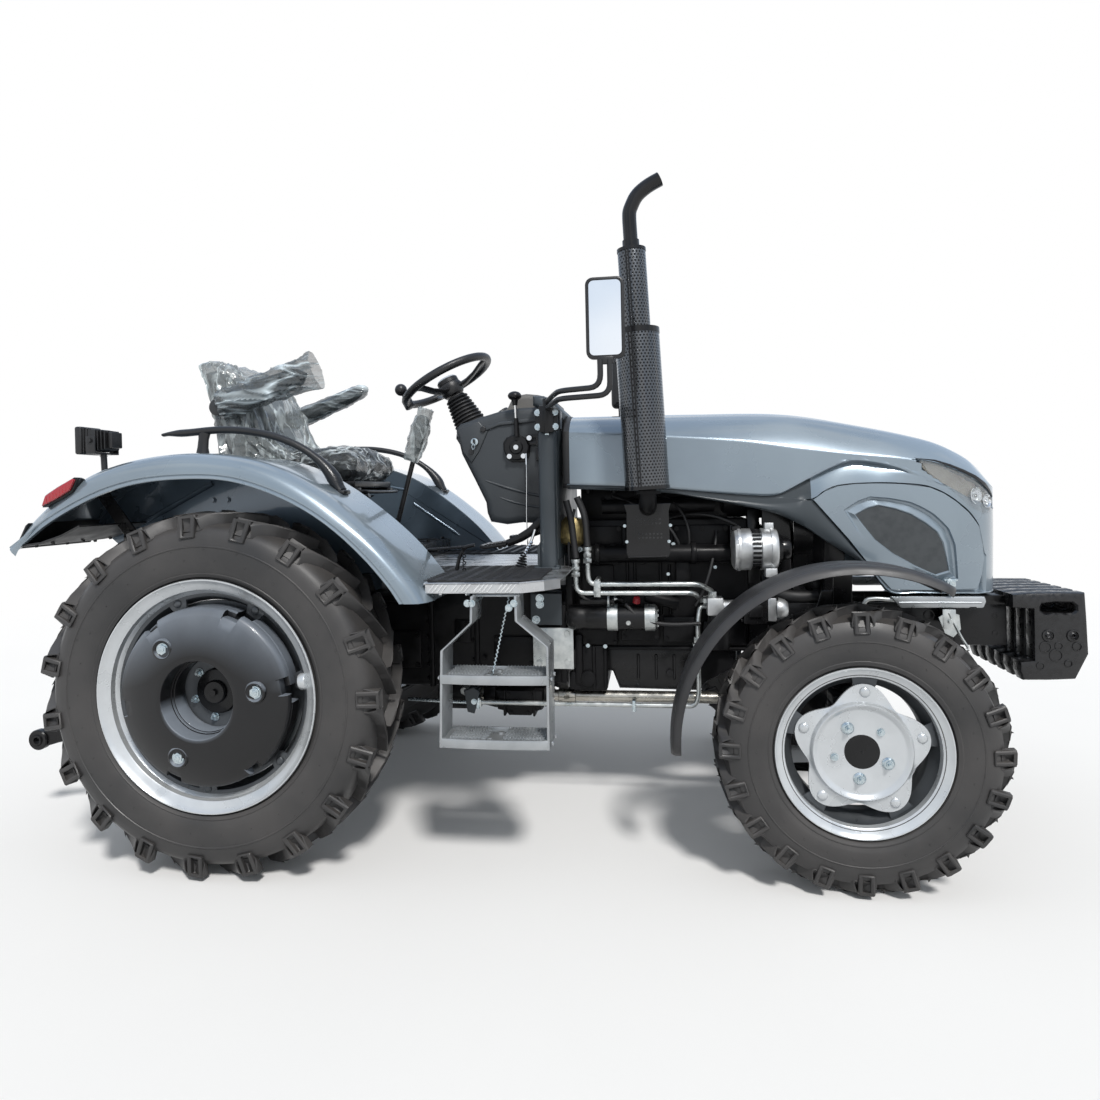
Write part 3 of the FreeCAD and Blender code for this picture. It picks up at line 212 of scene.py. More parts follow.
def clear(name, tint, rough, transmission, ior=1.49, coat=0.0):
    """A see-through finish such as lamp glass or a lens."""
    tree, shader = new_finish(name, {"Transmission Weight": transmission, "IOR": ior, "Coat Weight": coat})
    where = wire(tree, "TexCoord").outputs["Object"]
    noise = wire(tree, "TexNoise", {"Scale": 60.0, "Detail": 4.0, "Vector": where})
    tone = ramp(tree, noise, (0.0, [c * 0.86 for c in tint]), (1.0, tint))
    spread = wire(tree, "MapRange", {"To Min": max(rough - 0.03, 0.01), "To Max": rough + 0.05,
        "Value": noise})
    feed(tree, shader, {"Base Color": tone, "Roughness": spread})


# %% [markdown]
# The tractor has some forty finishes. Sheet metal is a clear-coated slate grey with metal flake, castings
# are satin black over a sandy skin, rims are silver enamel, and the tyres are new rubber with a brownish
# bloom, laid on upward faces, where it is also painted light on the lugs' tops. Bright zinc is kept a
# little darker than white so that it doesn't burn out.

# %% Finishes
finish("slate_paint", (0.24, 0.298, 0.348), (0.196, 0.247, 0.292), 0.27, metallic=0.35, coat=1.0, spots=3.0,
    grain=1500.0, bump=0.03, rough_spread=0.06, dust_and_sheen=(0.42, 0.44, 0.46), dust_and_sheen_amount=0.1)
# The next finish is not used on the hood: it is a darker copy of the slate paint, painted shade for the
# rear fenders' inner walls.
finish("slate_in_painted_shade", (0.12, 0.164, 0.212), (0.095, 0.131, 0.172), 0.28, metallic=0.4, coat=1.0, spots=2.5,
    grain=1500.0, bump=0.03, rough_spread=0.05, dust_and_sheen=(0.4, 0.42, 0.44), dust_and_sheen_amount=0.08)
finish("moulding_grey", (0.044, 0.055, 0.064), (0.034, 0.043, 0.051), 0.42, spots=5.0, grain=900.0,
    bump=0.12)
finish("black_metal", (0.01, 0.01, 0.011), (0.006, 0.006, 0.0065), 0.3, coat=0.1, spots=14.0, grain=500.0,
    bump=0.1, shine=0.25)
finish("black_iron", (0.009, 0.009, 0.01), (0.005, 0.005, 0.0055), 0.4, spots=22.0, grain=320.0, bump=0.45,
    dust_and_sheen=(0.12, 0.11, 0.1), dust_and_sheen_amount=0.03, shine=0.15)
# The ballast's bluish colour on upward faces is not dust but a painted sheen of sky light on the discs'
# tops.
finish("weight_black", (0.009, 0.009, 0.01), (0.006, 0.006, 0.007), 0.36, coat=0.2, spots=3.0, grain=180.0,
    bump=0.1, rough_spread=0.05, shine=0.3, dust_and_sheen=(0.36, 0.41, 0.48), dust_and_sheen_amount=0.9, dust_and_sheen_over=(0.04, 0.4))
finish("pitted_iron", (0.014, 0.014, 0.015), (0.005, 0.005, 0.006), 0.36, spots=60.0, grain=150.0, bump=1.0,
    rough_spread=0.2)
finish("rim_silver", (0.6, 0.625, 0.645), (0.52, 0.545, 0.565), 0.3, metallic=0.45, coat=0.35, spots=11.0,
    grain=900.0, bump=0.06)
finish("bare_steel", (0.5, 0.48, 0.43), (0.36, 0.34, 0.3), 0.28, metallic=0.95, spots=30.0, grain=700.0,
    bump=0.12)
finish("galvanised", (0.58, 0.6, 0.59), (0.4, 0.43, 0.43), 0.36, metallic=0.85, spots=42.0, grain=400.0,
    bump=0.1)
finish("bare_aluminium", (0.6, 0.61, 0.61), (0.44, 0.45, 0.46), 0.42, metallic=0.8, spots=26.0, grain=420.0,
    bump=0.35)
finish("exhaust_black", (0.009, 0.009, 0.01), (0.006, 0.006, 0.0065), 0.24, coat=0.15, spots=12.0,
    grain=600.0, bump=0.08, shine=0.3)
finish("console_plastic", (0.04, 0.046, 0.052), (0.031, 0.036, 0.041), 0.4, spots=4.0, grain=1300.0,
    bump=0.35, rough_spread=0.05)
finish("rail_plastic", (0.014, 0.014, 0.015), (0.01, 0.01, 0.011), 0.36, spots=6.0, grain=1200.0, bump=0.25)
finish("grip_plastic", (0.012, 0.012, 0.013), (0.008, 0.008, 0.009), 0.38, spots=9.0, grain=1400.0,
    bump=0.3)
finish("fender_rubber", (0.03, 0.03, 0.032), (0.019, 0.019, 0.021), 0.46, spots=10.0, grain=800.0, bump=0.2,
    dust_and_sheen=(0.2, 0.19, 0.18), dust_and_sheen_amount=0.16)
finish("boot_rubber", (0.02, 0.02, 0.021), (0.013, 0.013, 0.014), 0.55, spots=16.0, grain=600.0, bump=0.25)
finish("mat_rubber", (0.016, 0.016, 0.017), (0.01, 0.01, 0.011), 0.62, spots=20.0, grain=240.0, bump=0.6)
# The tyres' brownish colour on upward faces is partly the rubber's bloom and partly painted light on the
# lugs' tops.
finish("tyre", (0.052, 0.05, 0.05), (0.026, 0.026, 0.027), 0.5, spots=5.0, grain=420.0, bump=0.35,
    rough_spread=0.12, dust_and_sheen=(0.14, 0.122, 0.106), dust_and_sheen_amount=0.34)
# A darker copy of the silver enamel: painted shade for the rims' wells, centre discs and brackets, which
# lie in the wheels' shadow.
finish("rim_silver_in_painted_shade", (0.085, 0.092, 0.1), (0.06, 0.066, 0.072), 0.36, metallic=0.5, spots=9.0, grain=700.0,
    bump=0.08)
finish("tread_plate", (0.62, 0.63, 0.64), (0.5, 0.51, 0.52), 0.3, metallic=0.9, spots=18.0, grain=500.0,
    bump=0.12)
finish("step_grey", (0.42, 0.44, 0.455), (0.32, 0.34, 0.355), 0.34, metallic=0.6, spots=12.0, grain=700.0,
    bump=0.15)
finish("zinc_bolt", (0.56, 0.62, 0.64), (0.38, 0.46, 0.5), 0.26, metallic=0.95, spots=120.0, grain=900.0,
    bump=0.1)
finish("grille_mesh", (0.07, 0.077, 0.082), (0.05, 0.056, 0.061), 0.5, metallic=0.3, spots=40.0,
    grain=900.0, bump=0.2)
finish("red_cap", (0.42, 0.02, 0.03), (0.28, 0.012, 0.02), 0.42, spots=60.0, grain=700.0, bump=0.12)
finish("instrument_tan", (0.155, 0.15, 0.142), (0.12, 0.116, 0.11), 0.45, spots=8.0, grain=1200.0, bump=0.3)
finish("seat_vinyl", (0.03, 0.032, 0.034), (0.02, 0.021, 0.023), 0.42, spots=8.0, grain=700.0, bump=0.3)
finish("brass_tan", (0.3, 0.235, 0.1), (0.17, 0.13, 0.06), 0.4, metallic=0.6, spots=60.0, grain=700.0,
    bump=0.2)
finish("bright_rib", (0.8, 0.81, 0.81), (0.66, 0.67, 0.68), 0.24, metallic=0.55, spots=40.0, grain=600.0,
    bump=0.1)
finish("copper", (0.62, 0.3, 0.16), (0.34, 0.15, 0.08), 0.38, metallic=0.9, spots=90.0, grain=900.0,
    bump=0.2)
clear("red_lens", (0.62, 0.012, 0.03), 0.1, 0.35, coat=0.8)
clear("lamp_glass", (0.93, 0.96, 0.98), 0.03, 0.92, ior=1.45)
finish("chrome", (0.8, 0.81, 0.82), (0.74, 0.75, 0.76), 0.1, metallic=1.0, spots=20.0, grain=500.0,
    bump=0.0, rough_spread=0.04)
finish("mirror_face", (0.96, 0.965, 0.97), (0.94, 0.945, 0.95), 0.06, metallic=1.0, spots=10.0, grain=500.0,
    bump=0.0, rough_spread=0.02)
finish("lamp_tan", (0.46, 0.42, 0.36), (0.36, 0.33, 0.29), 0.35, spots=14.0, grain=500.0, bump=0.05)
print("finishes:", len(FINISH))

# %% [markdown]
# A few modelling helpers follow. Each is one bmesh operator, or two, wrapped so that a part reads as a
# list of what it is made of: bars, blocks, turned rings, plates, lofts and bent tubes. A piece is gathered
# in the bmesh called bm, which keeps welded parts together, and keep() makes it an object and empties bm.

# %% Modelling helpers
SAME_POINT = 1e-6


def span(bm, before):
    """The vertices that were added since there were this many."""
    bm.verts.ensure_lookup_table()
    return bm.verts[before:]


def faces_of(verts):
    """The faces that have these vertices as corners."""
    return list({f for v in verts for f in v.link_faces})


def soften(bm, edges, width, segments=2):
    """Rounds edges with a narrow bevel."""
    bmesh.ops.bevel(bm, geom=edges, offset=width, offset_type="OFFSET", affect="EDGES", segments=segments,
        profile=0.5, material=-1)


def apart(build):
    """Makes a helper work in a bmesh of its own and then append the result, in the order it was made."""
    def wrapped(bm, *values, **named):
        before = len(bm.verts)
        own = bmesh.new()
        build(own, *values, **named)
        data = bpy.data.meshes.new("own")
        own.to_mesh(data)
        own.free()
        bm.from_mesh(data)
        bpy.data.meshes.remove(data)
        return span(bm, before)
    return wrapped


@apart
def block(bm, low, high, bevel=0.0, segments=2):
    """Box between two corners, with its edges rounded."""
    low, high = Vector(low), Vector(high)
    size = high - low
    grow = Matrix.Translation((low + high) / 2) @ Matrix.Diagonal((size.x, size.y, size.z, 1.0))
    bmesh.ops.create_cube(bm, size=1.0, matrix=grow)
    if bevel:
        soften(bm, bm.edges[:], bevel, segments)


@apart
def bar(bm, start, end, radius, tip=None, steps=24, bevel=0.0):
    """Round bar or cone from start to end, with its end rims rounded if there is a bevel."""
    if bevel:
        bar(bm, start, end, radius, tip, steps)
        rims = [e for e in bm.edges if any(len(f.verts) > 4 for f in e.link_faces)]
        soften(bm, rims, bevel)
        return
    start, end = Vector(start), Vector(end)
    way = end - start
    turn = way.to_track_quat("Z", "Y").to_matrix().to_4x4()
    place = Matrix.Translation((start + end) / 2) @ turn
    tip = radius if tip is None else tip
    bmesh.ops.create_cone(bm, cap_ends=True, segments=steps, radius1=radius, radius2=tip, depth=way.length,
        matrix=place)


@apart
def ball(bm, centre, radius, squash=(1, 1, 1), steps=20):
    """Round knob, flattened along the axes if squash says so."""
    place = Matrix.Translation(centre) @ Matrix.Diagonal((*squash, 1.0))
    bmesh.ops.create_uvsphere(bm, u_segments=steps, v_segments=steps // 2, radius=radius, matrix=place)


@apart
def lathe(bm, profile, centre, axis=(0, 1, 0), steps=96):
    """Turned shape: profile lists (radius, distance along the axis); a closed loop makes a ring."""
    axis = Vector(axis).normalized()
    centre = Vector(centre)
    side = axis.orthogonal().normalized()
    points = [bm.verts.new(centre + side * r + axis * d) for r, d in profile]
    edges = [bm.edges.new(pair) for pair in zip(points, points[1:])]
    if profile[0][0] > SAME_POINT or profile[-1][0] > SAME_POINT:
        edges.append(bm.edges.new((points[-1], points[0])))
    bmesh.ops.spin(bm, geom=points + edges, cent=centre, axis=axis, angle=math.tau, steps=steps,
        use_merge=True, use_normal_flip=False)
    bmesh.ops.remove_doubles(bm, verts=bm.verts, dist=SAME_POINT)
    bmesh.ops.recalc_face_normals(bm, faces=bm.faces)


@apart
def plate(bm, outline, push, bevel=0.0, segments=2):
    """Flat outline of points pushed along a vector into a solid plate."""
    face = bm.faces.new([bm.verts.new(p) for p in outline])
    grown = bmesh.ops.extrude_face_region(bm, geom=[face])
    new = [g for g in grown["geom"] if isinstance(g, bmesh.types.BMVert)]
    bmesh.ops.translate(bm, verts=new, vec=push)
    bmesh.ops.recalc_face_normals(bm, faces=bm.faces)
    if bevel:
        soften(bm, bm.edges[:], bevel, segments)


def turns(count):
    """Angles that divide a full turn evenly."""
    return [math.tau * k / count for k in range(count)]


def side_view(points, y):
    """(x, z) points set at one distance from the centre plane."""
    return [Vector((x, y, z)) for x, z in points]


def slab(bm, points, y, width, bevel=0.0, segments=2):
    """A side view's (x, z) points as a solid plate that starts at y and is so wide."""
    outline = side_view(points, y)
    return plate(bm, outline, (0, width, 0), bevel, segments)


def loft(bm, rings, closed=True, caps=True):
    """Skin bridged over a row of rings that all have the same number of points."""
    before = len(bm.verts)
    rows = []
    for ring in rings:
        points = [bm.verts.new(p) for p in ring]
        pairs = list(zip(points, points[1:]))
        if closed:
            pairs.append((points[-1], points[0]))
        rows.append(([bm.edges.new(p) for p in pairs], points))
    for (a, _), (b, _) in zip(rows, rows[1:]):
        bmesh.ops.bridge_loops(bm, edges=a + b)
    if caps and closed:
        bm.faces.new(rows[0][1][::-1])
        bm.faces.new(rows[-1][1])
    made = span(bm, before)
    bmesh.ops.recalc_face_normals(bm, faces=faces_of(made))
    return made


def tube(bm, points, radius, steps=4, bend=0.03, capped=True):
    """Bent pipe: a curve through the points with its corners rounded to the bend, given a round bevel."""
    before = len(bm.verts)
    data = bpy.data.curves.new("bent", "CURVE")
    data.dimensions = "3D"
    data.bevel_depth = radius
    data.bevel_resolution = steps
    data.use_fill_caps = capped
    line = data.splines.new("POLY")
    way = [Vector(p) for p in points]
    soft = [way[0]]
    for a, b, c in zip(way, way[1:], way[2:]):
        back, on = (a - b), (c - b)
        reach = min(bend, back.length * 0.48, on.length * 0.48)
        start, end = b + back.normalized() * reach, b + on.normalized() * reach
        for i in range(6):
            t = i / 5
            soft.append(start * (1 - t) ** 2 + b * 2 * t * (1 - t) + end * t ** 2)
    soft.append(way[-1])
    line.points.add(len(soft) - 1)
    for point, p in zip(line.points, soft):
        point.co = (*p, 1)
    holder = bpy.data.objects.new("bent", data)
    scene.collection.objects.link(holder)
    bpy.context.view_layer.update()
    shape = bpy.data.meshes.new_from_object(holder)
    bm.from_mesh(shape)
    bpy.data.objects.remove(holder)
    bpy.data.curves.remove(data)
    bpy.data.meshes.remove(shape)
    return span(bm, before)


def bolt(bm, place, way, size=0.012, washer=True, length=0.0):
    """Hexagon head with its washer, or with a stub of thread standing out of it."""
    place, way = Vector(place), Vector(way).normalized()
    before = len(bm.verts)
    if washer:
        bar(bm, place, place + way * size * 0.18, size * 1.12, steps=20)
    bar(bm, place, place + way * size * 0.8, size * 0.92, tip=size * 0.86, steps=6)
    if length:
        bar(bm, place, place + way * length, size * 0.42, steps=10)
    return span(bm, before)


def both_sides(bm):
    """Adds the mirror image across the centre plane."""
    copy = bmesh.ops.duplicate(bm, geom=bm.verts[:] + bm.edges[:] + bm.faces[:])
    twins = [g for g in copy["geom"] if isinstance(g, bmesh.types.BMVert)]
    bmesh.ops.scale(bm, verts=twins, vec=(1, -1, 1))
    flipped = [g for g in copy["geom"] if isinstance(g, bmesh.types.BMFace)]
    bmesh.ops.reverse_faces(bm, faces=flipped)


def smooth_by_angle(bm, degrees):
    """Smooth shading, with the edges that turn more than this kept sharp."""
    limit = math.radians(degrees)
    for face in bm.faces:
        face.smooth = True
    for edge in bm.edges:
        edge.smooth = len(edge.link_faces) == 2 and edge.calc_face_angle(0.0) < limit


total = {"triangles": 0}


def keep(bm, name, slot, body="chassis", material=None, replaces=(), bevel=0.0, smooth=32, thickness=0.0,
        mirror=False):
    """Turns the bmesh into a finished object that rides on its body, and empties the bmesh."""
    if mirror:
        both_sides(bm)
    bmesh.ops.translate(bm, verts=bm.verts, vec=(AXLE_X, 0, 0))
    smooth_by_angle(bm, smooth)
    data = bpy.data.meshes.new(name)
    bm.to_mesh(data)
    bm.clear()
    obj = bpy.data.objects.new(name, data)
    scene.collection.objects.link(obj)
    data.materials.append(FINISH[material or slot])
    if thickness:
        wall = obj.modifiers.new("wall", "SOLIDIFY")
        wall.thickness = thickness
        wall.offset = -1
    if bevel:
        edge = obj.modifiers.new("edge", "BEVEL")
        edge.width = bevel
        edge.segments = 2
        edge.limit_method = "ANGLE"
        edge.angle_limit = math.radians(38)
    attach(obj, body)
    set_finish(obj, slot)
    if replaces:
        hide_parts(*replaces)
    triangles = sum(len(p.vertices) - 2 for p in data.polygons)
    total["triangles"] += triangles
    print(name, triangles, "triangles on", body)
    return obj


def mirrored_copy(obj, name, body, replaces=()):
    """The same finished piece on the other side of the tractor, with its own body."""
    bm = bmesh.new()
    bm.from_mesh(obj.data)
    bmesh.ops.scale(bm, verts=bm.verts, vec=(1, -1, 1))
    bmesh.ops.reverse_faces(bm, faces=bm.faces[:])
    data = bpy.data.meshes.new(name)
    bm.to_mesh(data)
    bm.free()
    for material in obj.data.materials:
        data.materials.append(material)
    twin = bpy.data.objects.new(name, data)
    scene.collection.objects.link(twin)
    for old in obj.modifiers:
        new = twin.modifiers.new(old.name, old.type)
        for key in old.bl_rna.properties:
            if not key.is_readonly and key.identifier not in ("name", "type"):
                setattr(new, key.identifier, getattr(old, key.identifier))
    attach(twin, body)
    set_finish(twin, obj["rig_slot"])
    if replaces:
        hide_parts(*replaces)
    total["triangles"] += sum(len(p.vertices) - 2 for p in data.polygons)
    return twin


def keep_pair(bm, name, slot, body, replaces=(), **named):
    """Keeps the right-hand piece, and its mirror image on the left-hand body."""
    right = keep(bm, name + "_right", slot, body + "_right",
        replaces=[node + "_right" for node in replaces], **named)
    mirrored_copy(right, name + "_left", body + "_left", [node + "_left" for node in replaces])


print("helpers ready")

# %% [markdown]
# A drive tyre has a plain carcass and tall bars, or lugs, that run from the middle of the tread to the
# shoulder and end in a block on the sidewall with a wedge-shaped pocket. The carcass is a turned
# profile. One lug is lofted through a few cross-sections, given its pocket by an inset, and then
# repeated by a duplicating spin, so that all lugs are alike. The bars of one half are a half pitch
# behind those of the other, as on the real tread.

# %% Tyres
def tyre_carcass(bm, centre, outer, half, bead, flange, drop):
    """The smooth casing, from bead to bead, a lug's height below the tread's outer radius."""
    crown = outer - drop
    wall = crown - 0.05 - flange
    above_flange = ((0.002, 0.82), (0.006, 0.9), (0.012, 0.925), (0.014, 0.94), (0.0165, 0.94),
        (0.018, 0.93), (0.026, 0.962))
    up_the_wall = ((0.4, 0.984), (0.62, 0.99), (0.82, 0.984), (0.835, 0.998), (0.858, 0.998), (0.875, 0.98))
    below_crown = ((0.05, 0.965), (0.03, 0.93), (0.012, 0.8), (0.004, 0.55), (0.0, 0.25))
    outside = [(bead, half * 0.8)]
    outside += [(flange + up, half * share) for up, share in above_flange]
    outside += [(flange + wall * up, half * share) for up, share in up_the_wall]
    outside += [(crown - down, half * share) for down, share in below_crown]
    profile = outside + [(r, -y) for r, y in outside[::-1]]
    inside = [(bead, -half * 0.55), (flange, -half * 0.62), (crown - 0.06, -half * 0.8),
        (crown - 0.03, -half * 0.4), (crown - 0.03, half * 0.4), (crown - 0.06, half * 0.8),
        (flange, half * 0.62), (bead, half * 0.55)]
    lathe(bm, profile + inside, centre, steps=112)


def lug_station(centre, angle, radius, y, lean, width, height, wide_foot):
    """Cross-section of a lug: a trapezoid across the bar, turned by its lean from the axle direction."""
    out = Vector((math.cos(angle), 0, math.sin(angle)))
    forward = Vector((math.sin(angle), 0, -math.cos(angle)))
    side = Vector((0, 1, 0))
    across = (forward * math.cos(lean) + side * math.sin(lean)).normalized()
    middle = centre + out * radius + side * y
    half = width / 2
    return [middle - across * (half + wide_foot), middle + across * (half + wide_foot),
        middle + across * half + out * height, middle - across * half + out * height]


@apart
def tyre_lugs(bm, centre, outer, half, count, height, foot_radius, bar_width, hand):
    """All lugs on one half of the tread. hand is the sign of the half's side along Y."""
    sweep = math.tau / count
    crown = outer - height
    stations = [
        # share of half width, radius of the foot, angle ahead of the shoulder, lean, width, height
        (-0.06, crown - 0.004, 1.02, 0.62, 0.80, height - 0.001),
        (0.14, crown - 0.005, 0.90, 0.62, 0.88, height + 0.001),
        (0.36, crown - 0.006, 0.66, 0.56, 0.94, height + 0.001),
        (0.58, crown - 0.009, 0.38, 0.44, 1.02, height),
        (0.78, crown - 0.014, 0.16, 0.26, 1.22, height),
        (0.93, crown - 0.026, 0.02, 0.08, 1.42, height + 0.001),
    ]
    rings = []
    for share, radius, ahead_by, lean, width, tall in stations:
        rings.append(lug_station(centre, -ahead_by * sweep, radius, hand * share * half, -hand * lean,
            bar_width * width, tall, bar_width * 0.16))
    # The end block turns over the shoulder and runs down the sidewall.
    foot = rings[-1]
    out = Vector((1, 0, 0))
    wall = half + 0.002
    across = (foot[1] - foot[0]).normalized()
    wide = bar_width * 0.6
    for radius, deep, swell, face in ((outer - 0.012, 0.66, 1.0, half * 0.925),
            (foot_radius, 0.76, 0.96, wall)):
        base = centre + out * radius
        rings.append([base - across * wide * swell * 1.12 + Vector((0, hand * half * deep, 0)),
            base + across * wide * swell * 1.12 + Vector((0, hand * half * deep, 0)),
            base + across * wide * swell + Vector((0, hand * face, 0)),
            base - across * wide * swell + Vector((0, hand * face, 0))])
    loft(bm, rings)
    # The block's face gets a deep pocket, longer than it is wide.
    mouth = max((f for f in bm.faces if hand * f.normal.y > 0.5),
        key=lambda f: hand * f.calc_center_median().y)
    bmesh.ops.inset_region(bm, faces=[mouth], thickness=bar_width * 0.1, depth=0.0)
    heart = mouth.calc_center_median() + out * 0.004
    normal = mouth.normal.copy()
    for vert in mouth.verts:
        reach = vert.co - heart
        aside = across * reach.dot(across)
        vert.co = heart + aside * 0.58 + (reach - aside) * 0.9
    bmesh.ops.inset_region(bm, faces=[mouth], thickness=bar_width * 0.05, depth=0.0)
    bmesh.ops.translate(bm, verts=mouth.verts, vec=-normal * 0.016)
    crisp = [e for e in bm.edges if len(e.link_faces) == 2 and e.calc_face_angle(0) > math.radians(30)]
    soften(bm, crisp, 0.0028, 1)
    if hand > 0:
        bmesh.ops.rotate(bm, verts=bm.verts, cent=centre, matrix=Matrix.Rotation(sweep / 2, 3, "Y"))
    geom = bm.verts[:] + bm.edges[:] + bm.faces[:]
    bmesh.ops.spin(bm, geom=geom, cent=centre, axis=(0, 1, 0), angle=math.tau - sweep, steps=count - 1,
        use_duplicate=True, use_merge=False)


def vent_nubs(bm, centre, hand_y, radii, count):
    """The little rubber whiskers left by the mould's vents."""
    for ring, radius in enumerate(radii):
        for i in range(count):
            a = math.tau * (i + 0.37 * ring) / count
            spot = centre + Vector((radius * math.cos(a), hand_y, radius * math.sin(a)))
            bar(bm, spot, spot + Vector((0, math.copysign(0.0022, hand_y), 0)), 0.0011, steps=5)


def make_tyre(name, outer, half, bead, flange, count, height, foot_radius, bar_width, nubs):
    """One right-hand tyre, built where its CAD node is."""
    low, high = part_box(name)
    centre = (low + high) / 2 - Vector((AXLE_X, 0, 0))
    bm = bmesh.new()
    tyre_carcass(bm, centre, outer, half, bead, flange, height)
    for hand in (-1, 1):
        tyre_lugs(bm, centre, outer, half, count, height, foot_radius, bar_width, hand)
    vent_nubs(bm, centre, -half + 0.0008, nubs, 26)
    return bm


bm = make_tyre("rear_tyre_right", 0.525, 0.119, 0.305, 0.3305, 19, 0.036, 0.447, 0.04, (0.385, 0.415))
rear_tyre = keep(bm, "rear_tyre_tread_right", "tyre", "rear_wheel_right", replaces=["rear_tyre_right"],
    smooth=36)
bm = make_tyre("front_tyre_right", 0.382, 0.0885, 0.203, 0.225, 20, 0.027, 0.312, 0.034, (0.272, 0.292))
front_tyre = keep(bm, "front_tyre_tread_right", "tyre", "front_wheel_right", replaces=["front_tyre_right"],
    smooth=36)
mirrored_copy(rear_tyre, "rear_tyre_tread_left", "rear_wheel_left", ["rear_tyre_left"])
mirrored_copy(front_tyre, "front_tyre_tread_left", "front_wheel_left", ["front_tyre_left"])

# %% [markdown]
# The rear wheel is a rolled steel rim with small brackets welded inside it, bolted to a dished centre.
# The rim's section, with its rolled flange, bead seat and well, is turned in one go. The brackets and
# their bolts are a loop round the wheel.

# %% Rear rim
def around(centre, radius, angle, y):
    """Spot on a circle about the wheel's axle, at an angle in degrees and an offset along Y."""
    a = math.radians(angle)
    return centre + Vector((radius * math.cos(a), y, radius * math.sin(a)))


REAR_HUB = Vector((0, (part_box("rear_tyre_right")[0].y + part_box("rear_tyre_right")[1].y) / 2, AXLE_Z))
half_rim = [(0.3305, 0.1115), (0.329, 0.1138), (0.3262, 0.1138), (0.3225, 0.11), (0.312, 0.1025),
    (0.301, 0.0975), (0.2985, 0.0955), (0.2965, 0.08), (0.287, 0.072), (0.277, 0.069), (0.264, 0.038)]
outer_skin = [(0.273, 0.034), (0.285, 0.06), (0.305, 0.068), (0.305, 0.093), (0.313, 0.096), (0.322, 0.101),
    (0.3285, 0.1065)]
for side in (-1, 1):
    lathe(bm, [(r, side * y) for r, y in half_rim[:9] + outer_skin[2:]], REAR_HUB, steps=128)
keep_pair(bm, "rear_rim_flanges", "rim_silver", "rear_wheel", replaces=["rear_rim"], smooth=40)
# The well, the centre disc and the brackets take the darker silver, which paints the shade inside the
# wheel.
well = half_rim[8:] + [(r, -y) for r, y in half_rim[:7:-1]]
lathe(bm, well + [(r, -y) for r, y in outer_skin[2::-1]] + outer_skin[:3], REAR_HUB, steps=128)
disc = [(0.06, -0.034), (0.095, -0.034), (0.118, -0.048), (0.15, -0.05), (0.178, -0.036), (0.262, -0.036),
    (0.262, -0.028), (0.18, -0.028), (0.15, -0.04), (0.118, -0.038), (0.095, -0.026), (0.06, -0.026)]
lathe(bm, disc, REAR_HUB, steps=96)
for k in range(7):
    angle = 60 + 360 / 7 * k
    spot = around(REAR_HUB, 0.284, angle, -0.07)
    inward = (REAR_HUB + Vector((0, -0.07, 0)) - spot).normalized()
    tangent = inward.cross(Vector((0, 1, 0)))
    foot = [spot + tangent * 0.036 - inward * 0.01, spot - tangent * 0.036 - inward * 0.01,
        spot - tangent * 0.02 + inward * 0.032, spot + tangent * 0.02 + inward * 0.032]
    plate(bm, foot, (0, 0.01, 0), bevel=0.003)
    ball(bm, spot + inward * 0.01 + Vector((0, -0.001, 0)), 0.012, squash=(1, 0.5, 1), steps=16)
keep_pair(bm, "rear_rim_well", "rim_silver", "rear_wheel", material="rim_silver_in_painted_shade", smooth=40)
bar(bm, around(REAR_HUB, 0.301, 8.6, -0.088), around(REAR_HUB, 0.279, 8.6, -0.088), 0.023, steps=24,
    bevel=0.004)
keep_pair(bm, "rear_rim_pin", "rim_silver", "rear_wheel", smooth=40)

hub_profile = [(0.0, -0.062), (0.03, -0.062), (0.034, -0.058), (0.034, -0.05), (0.062, -0.046),
    (0.066, -0.04), (0.066, 0.02), (0.072, 0.024), (0.072, 0.121), (0.038, 0.121), (0.038, 0.19),
    (0.0, 0.19)]
lathe(bm, hub_profile, REAR_HUB, steps=64)
bar(bm, REAR_HUB + Vector((0, -0.07, 0)), REAR_HUB + Vector((0, -0.06, 0)), 0.01, steps=6)
keep_pair(bm, "rear_hub", "black_metal", "rear_wheel", smooth=35)
for k in range(6):
    bolt(bm, around(REAR_HUB, 0.078, 20 + 60 * k, -0.0345), (0, -1, 0), size=0.011, length=0.018)
keep_pair(bm, "rear_hub_bolts", "rim_silver", "rear_wheel", material="zinc_bolt")

# %% [markdown]
# Each rear wheel carries two cast-iron ballast discs, bolted together through its centre. A disc is a
# shallow dome with a wide hole and six notches in its edge that let a hand or a bar get hold of it.
# The section is repeated round the axle, and in a notch its outer points are pulled in. Two rows of
# points stand close together at each side of a notch, which keeps its walls crisp.

# %% Rear wheel weights
def weight_disc(bm, section, outer, deep, start):
    """One ballast disc with six notches; section lists (radius, offset along the axle)."""
    rings = []
    for k in range(6):
        for step, low in ((-5.6, 0), (-5.3, 1), (-2, 1), (2, 1), (5.3, 1), (5.6, 0), (9, 0), (15, 0),
                (21, 0), (27, 0), (33, 0), (39, 0), (45, 0), (51, 0)):
            ring = []
            for r, y in section:
                over = max(r - outer + deep, 0) * low
                ring.append(around(REAR_HUB, r - over * 0.98, start + 60 * k + step, y))
            rings.append(ring)
    loft(bm, rings + [rings[0]], caps=False)


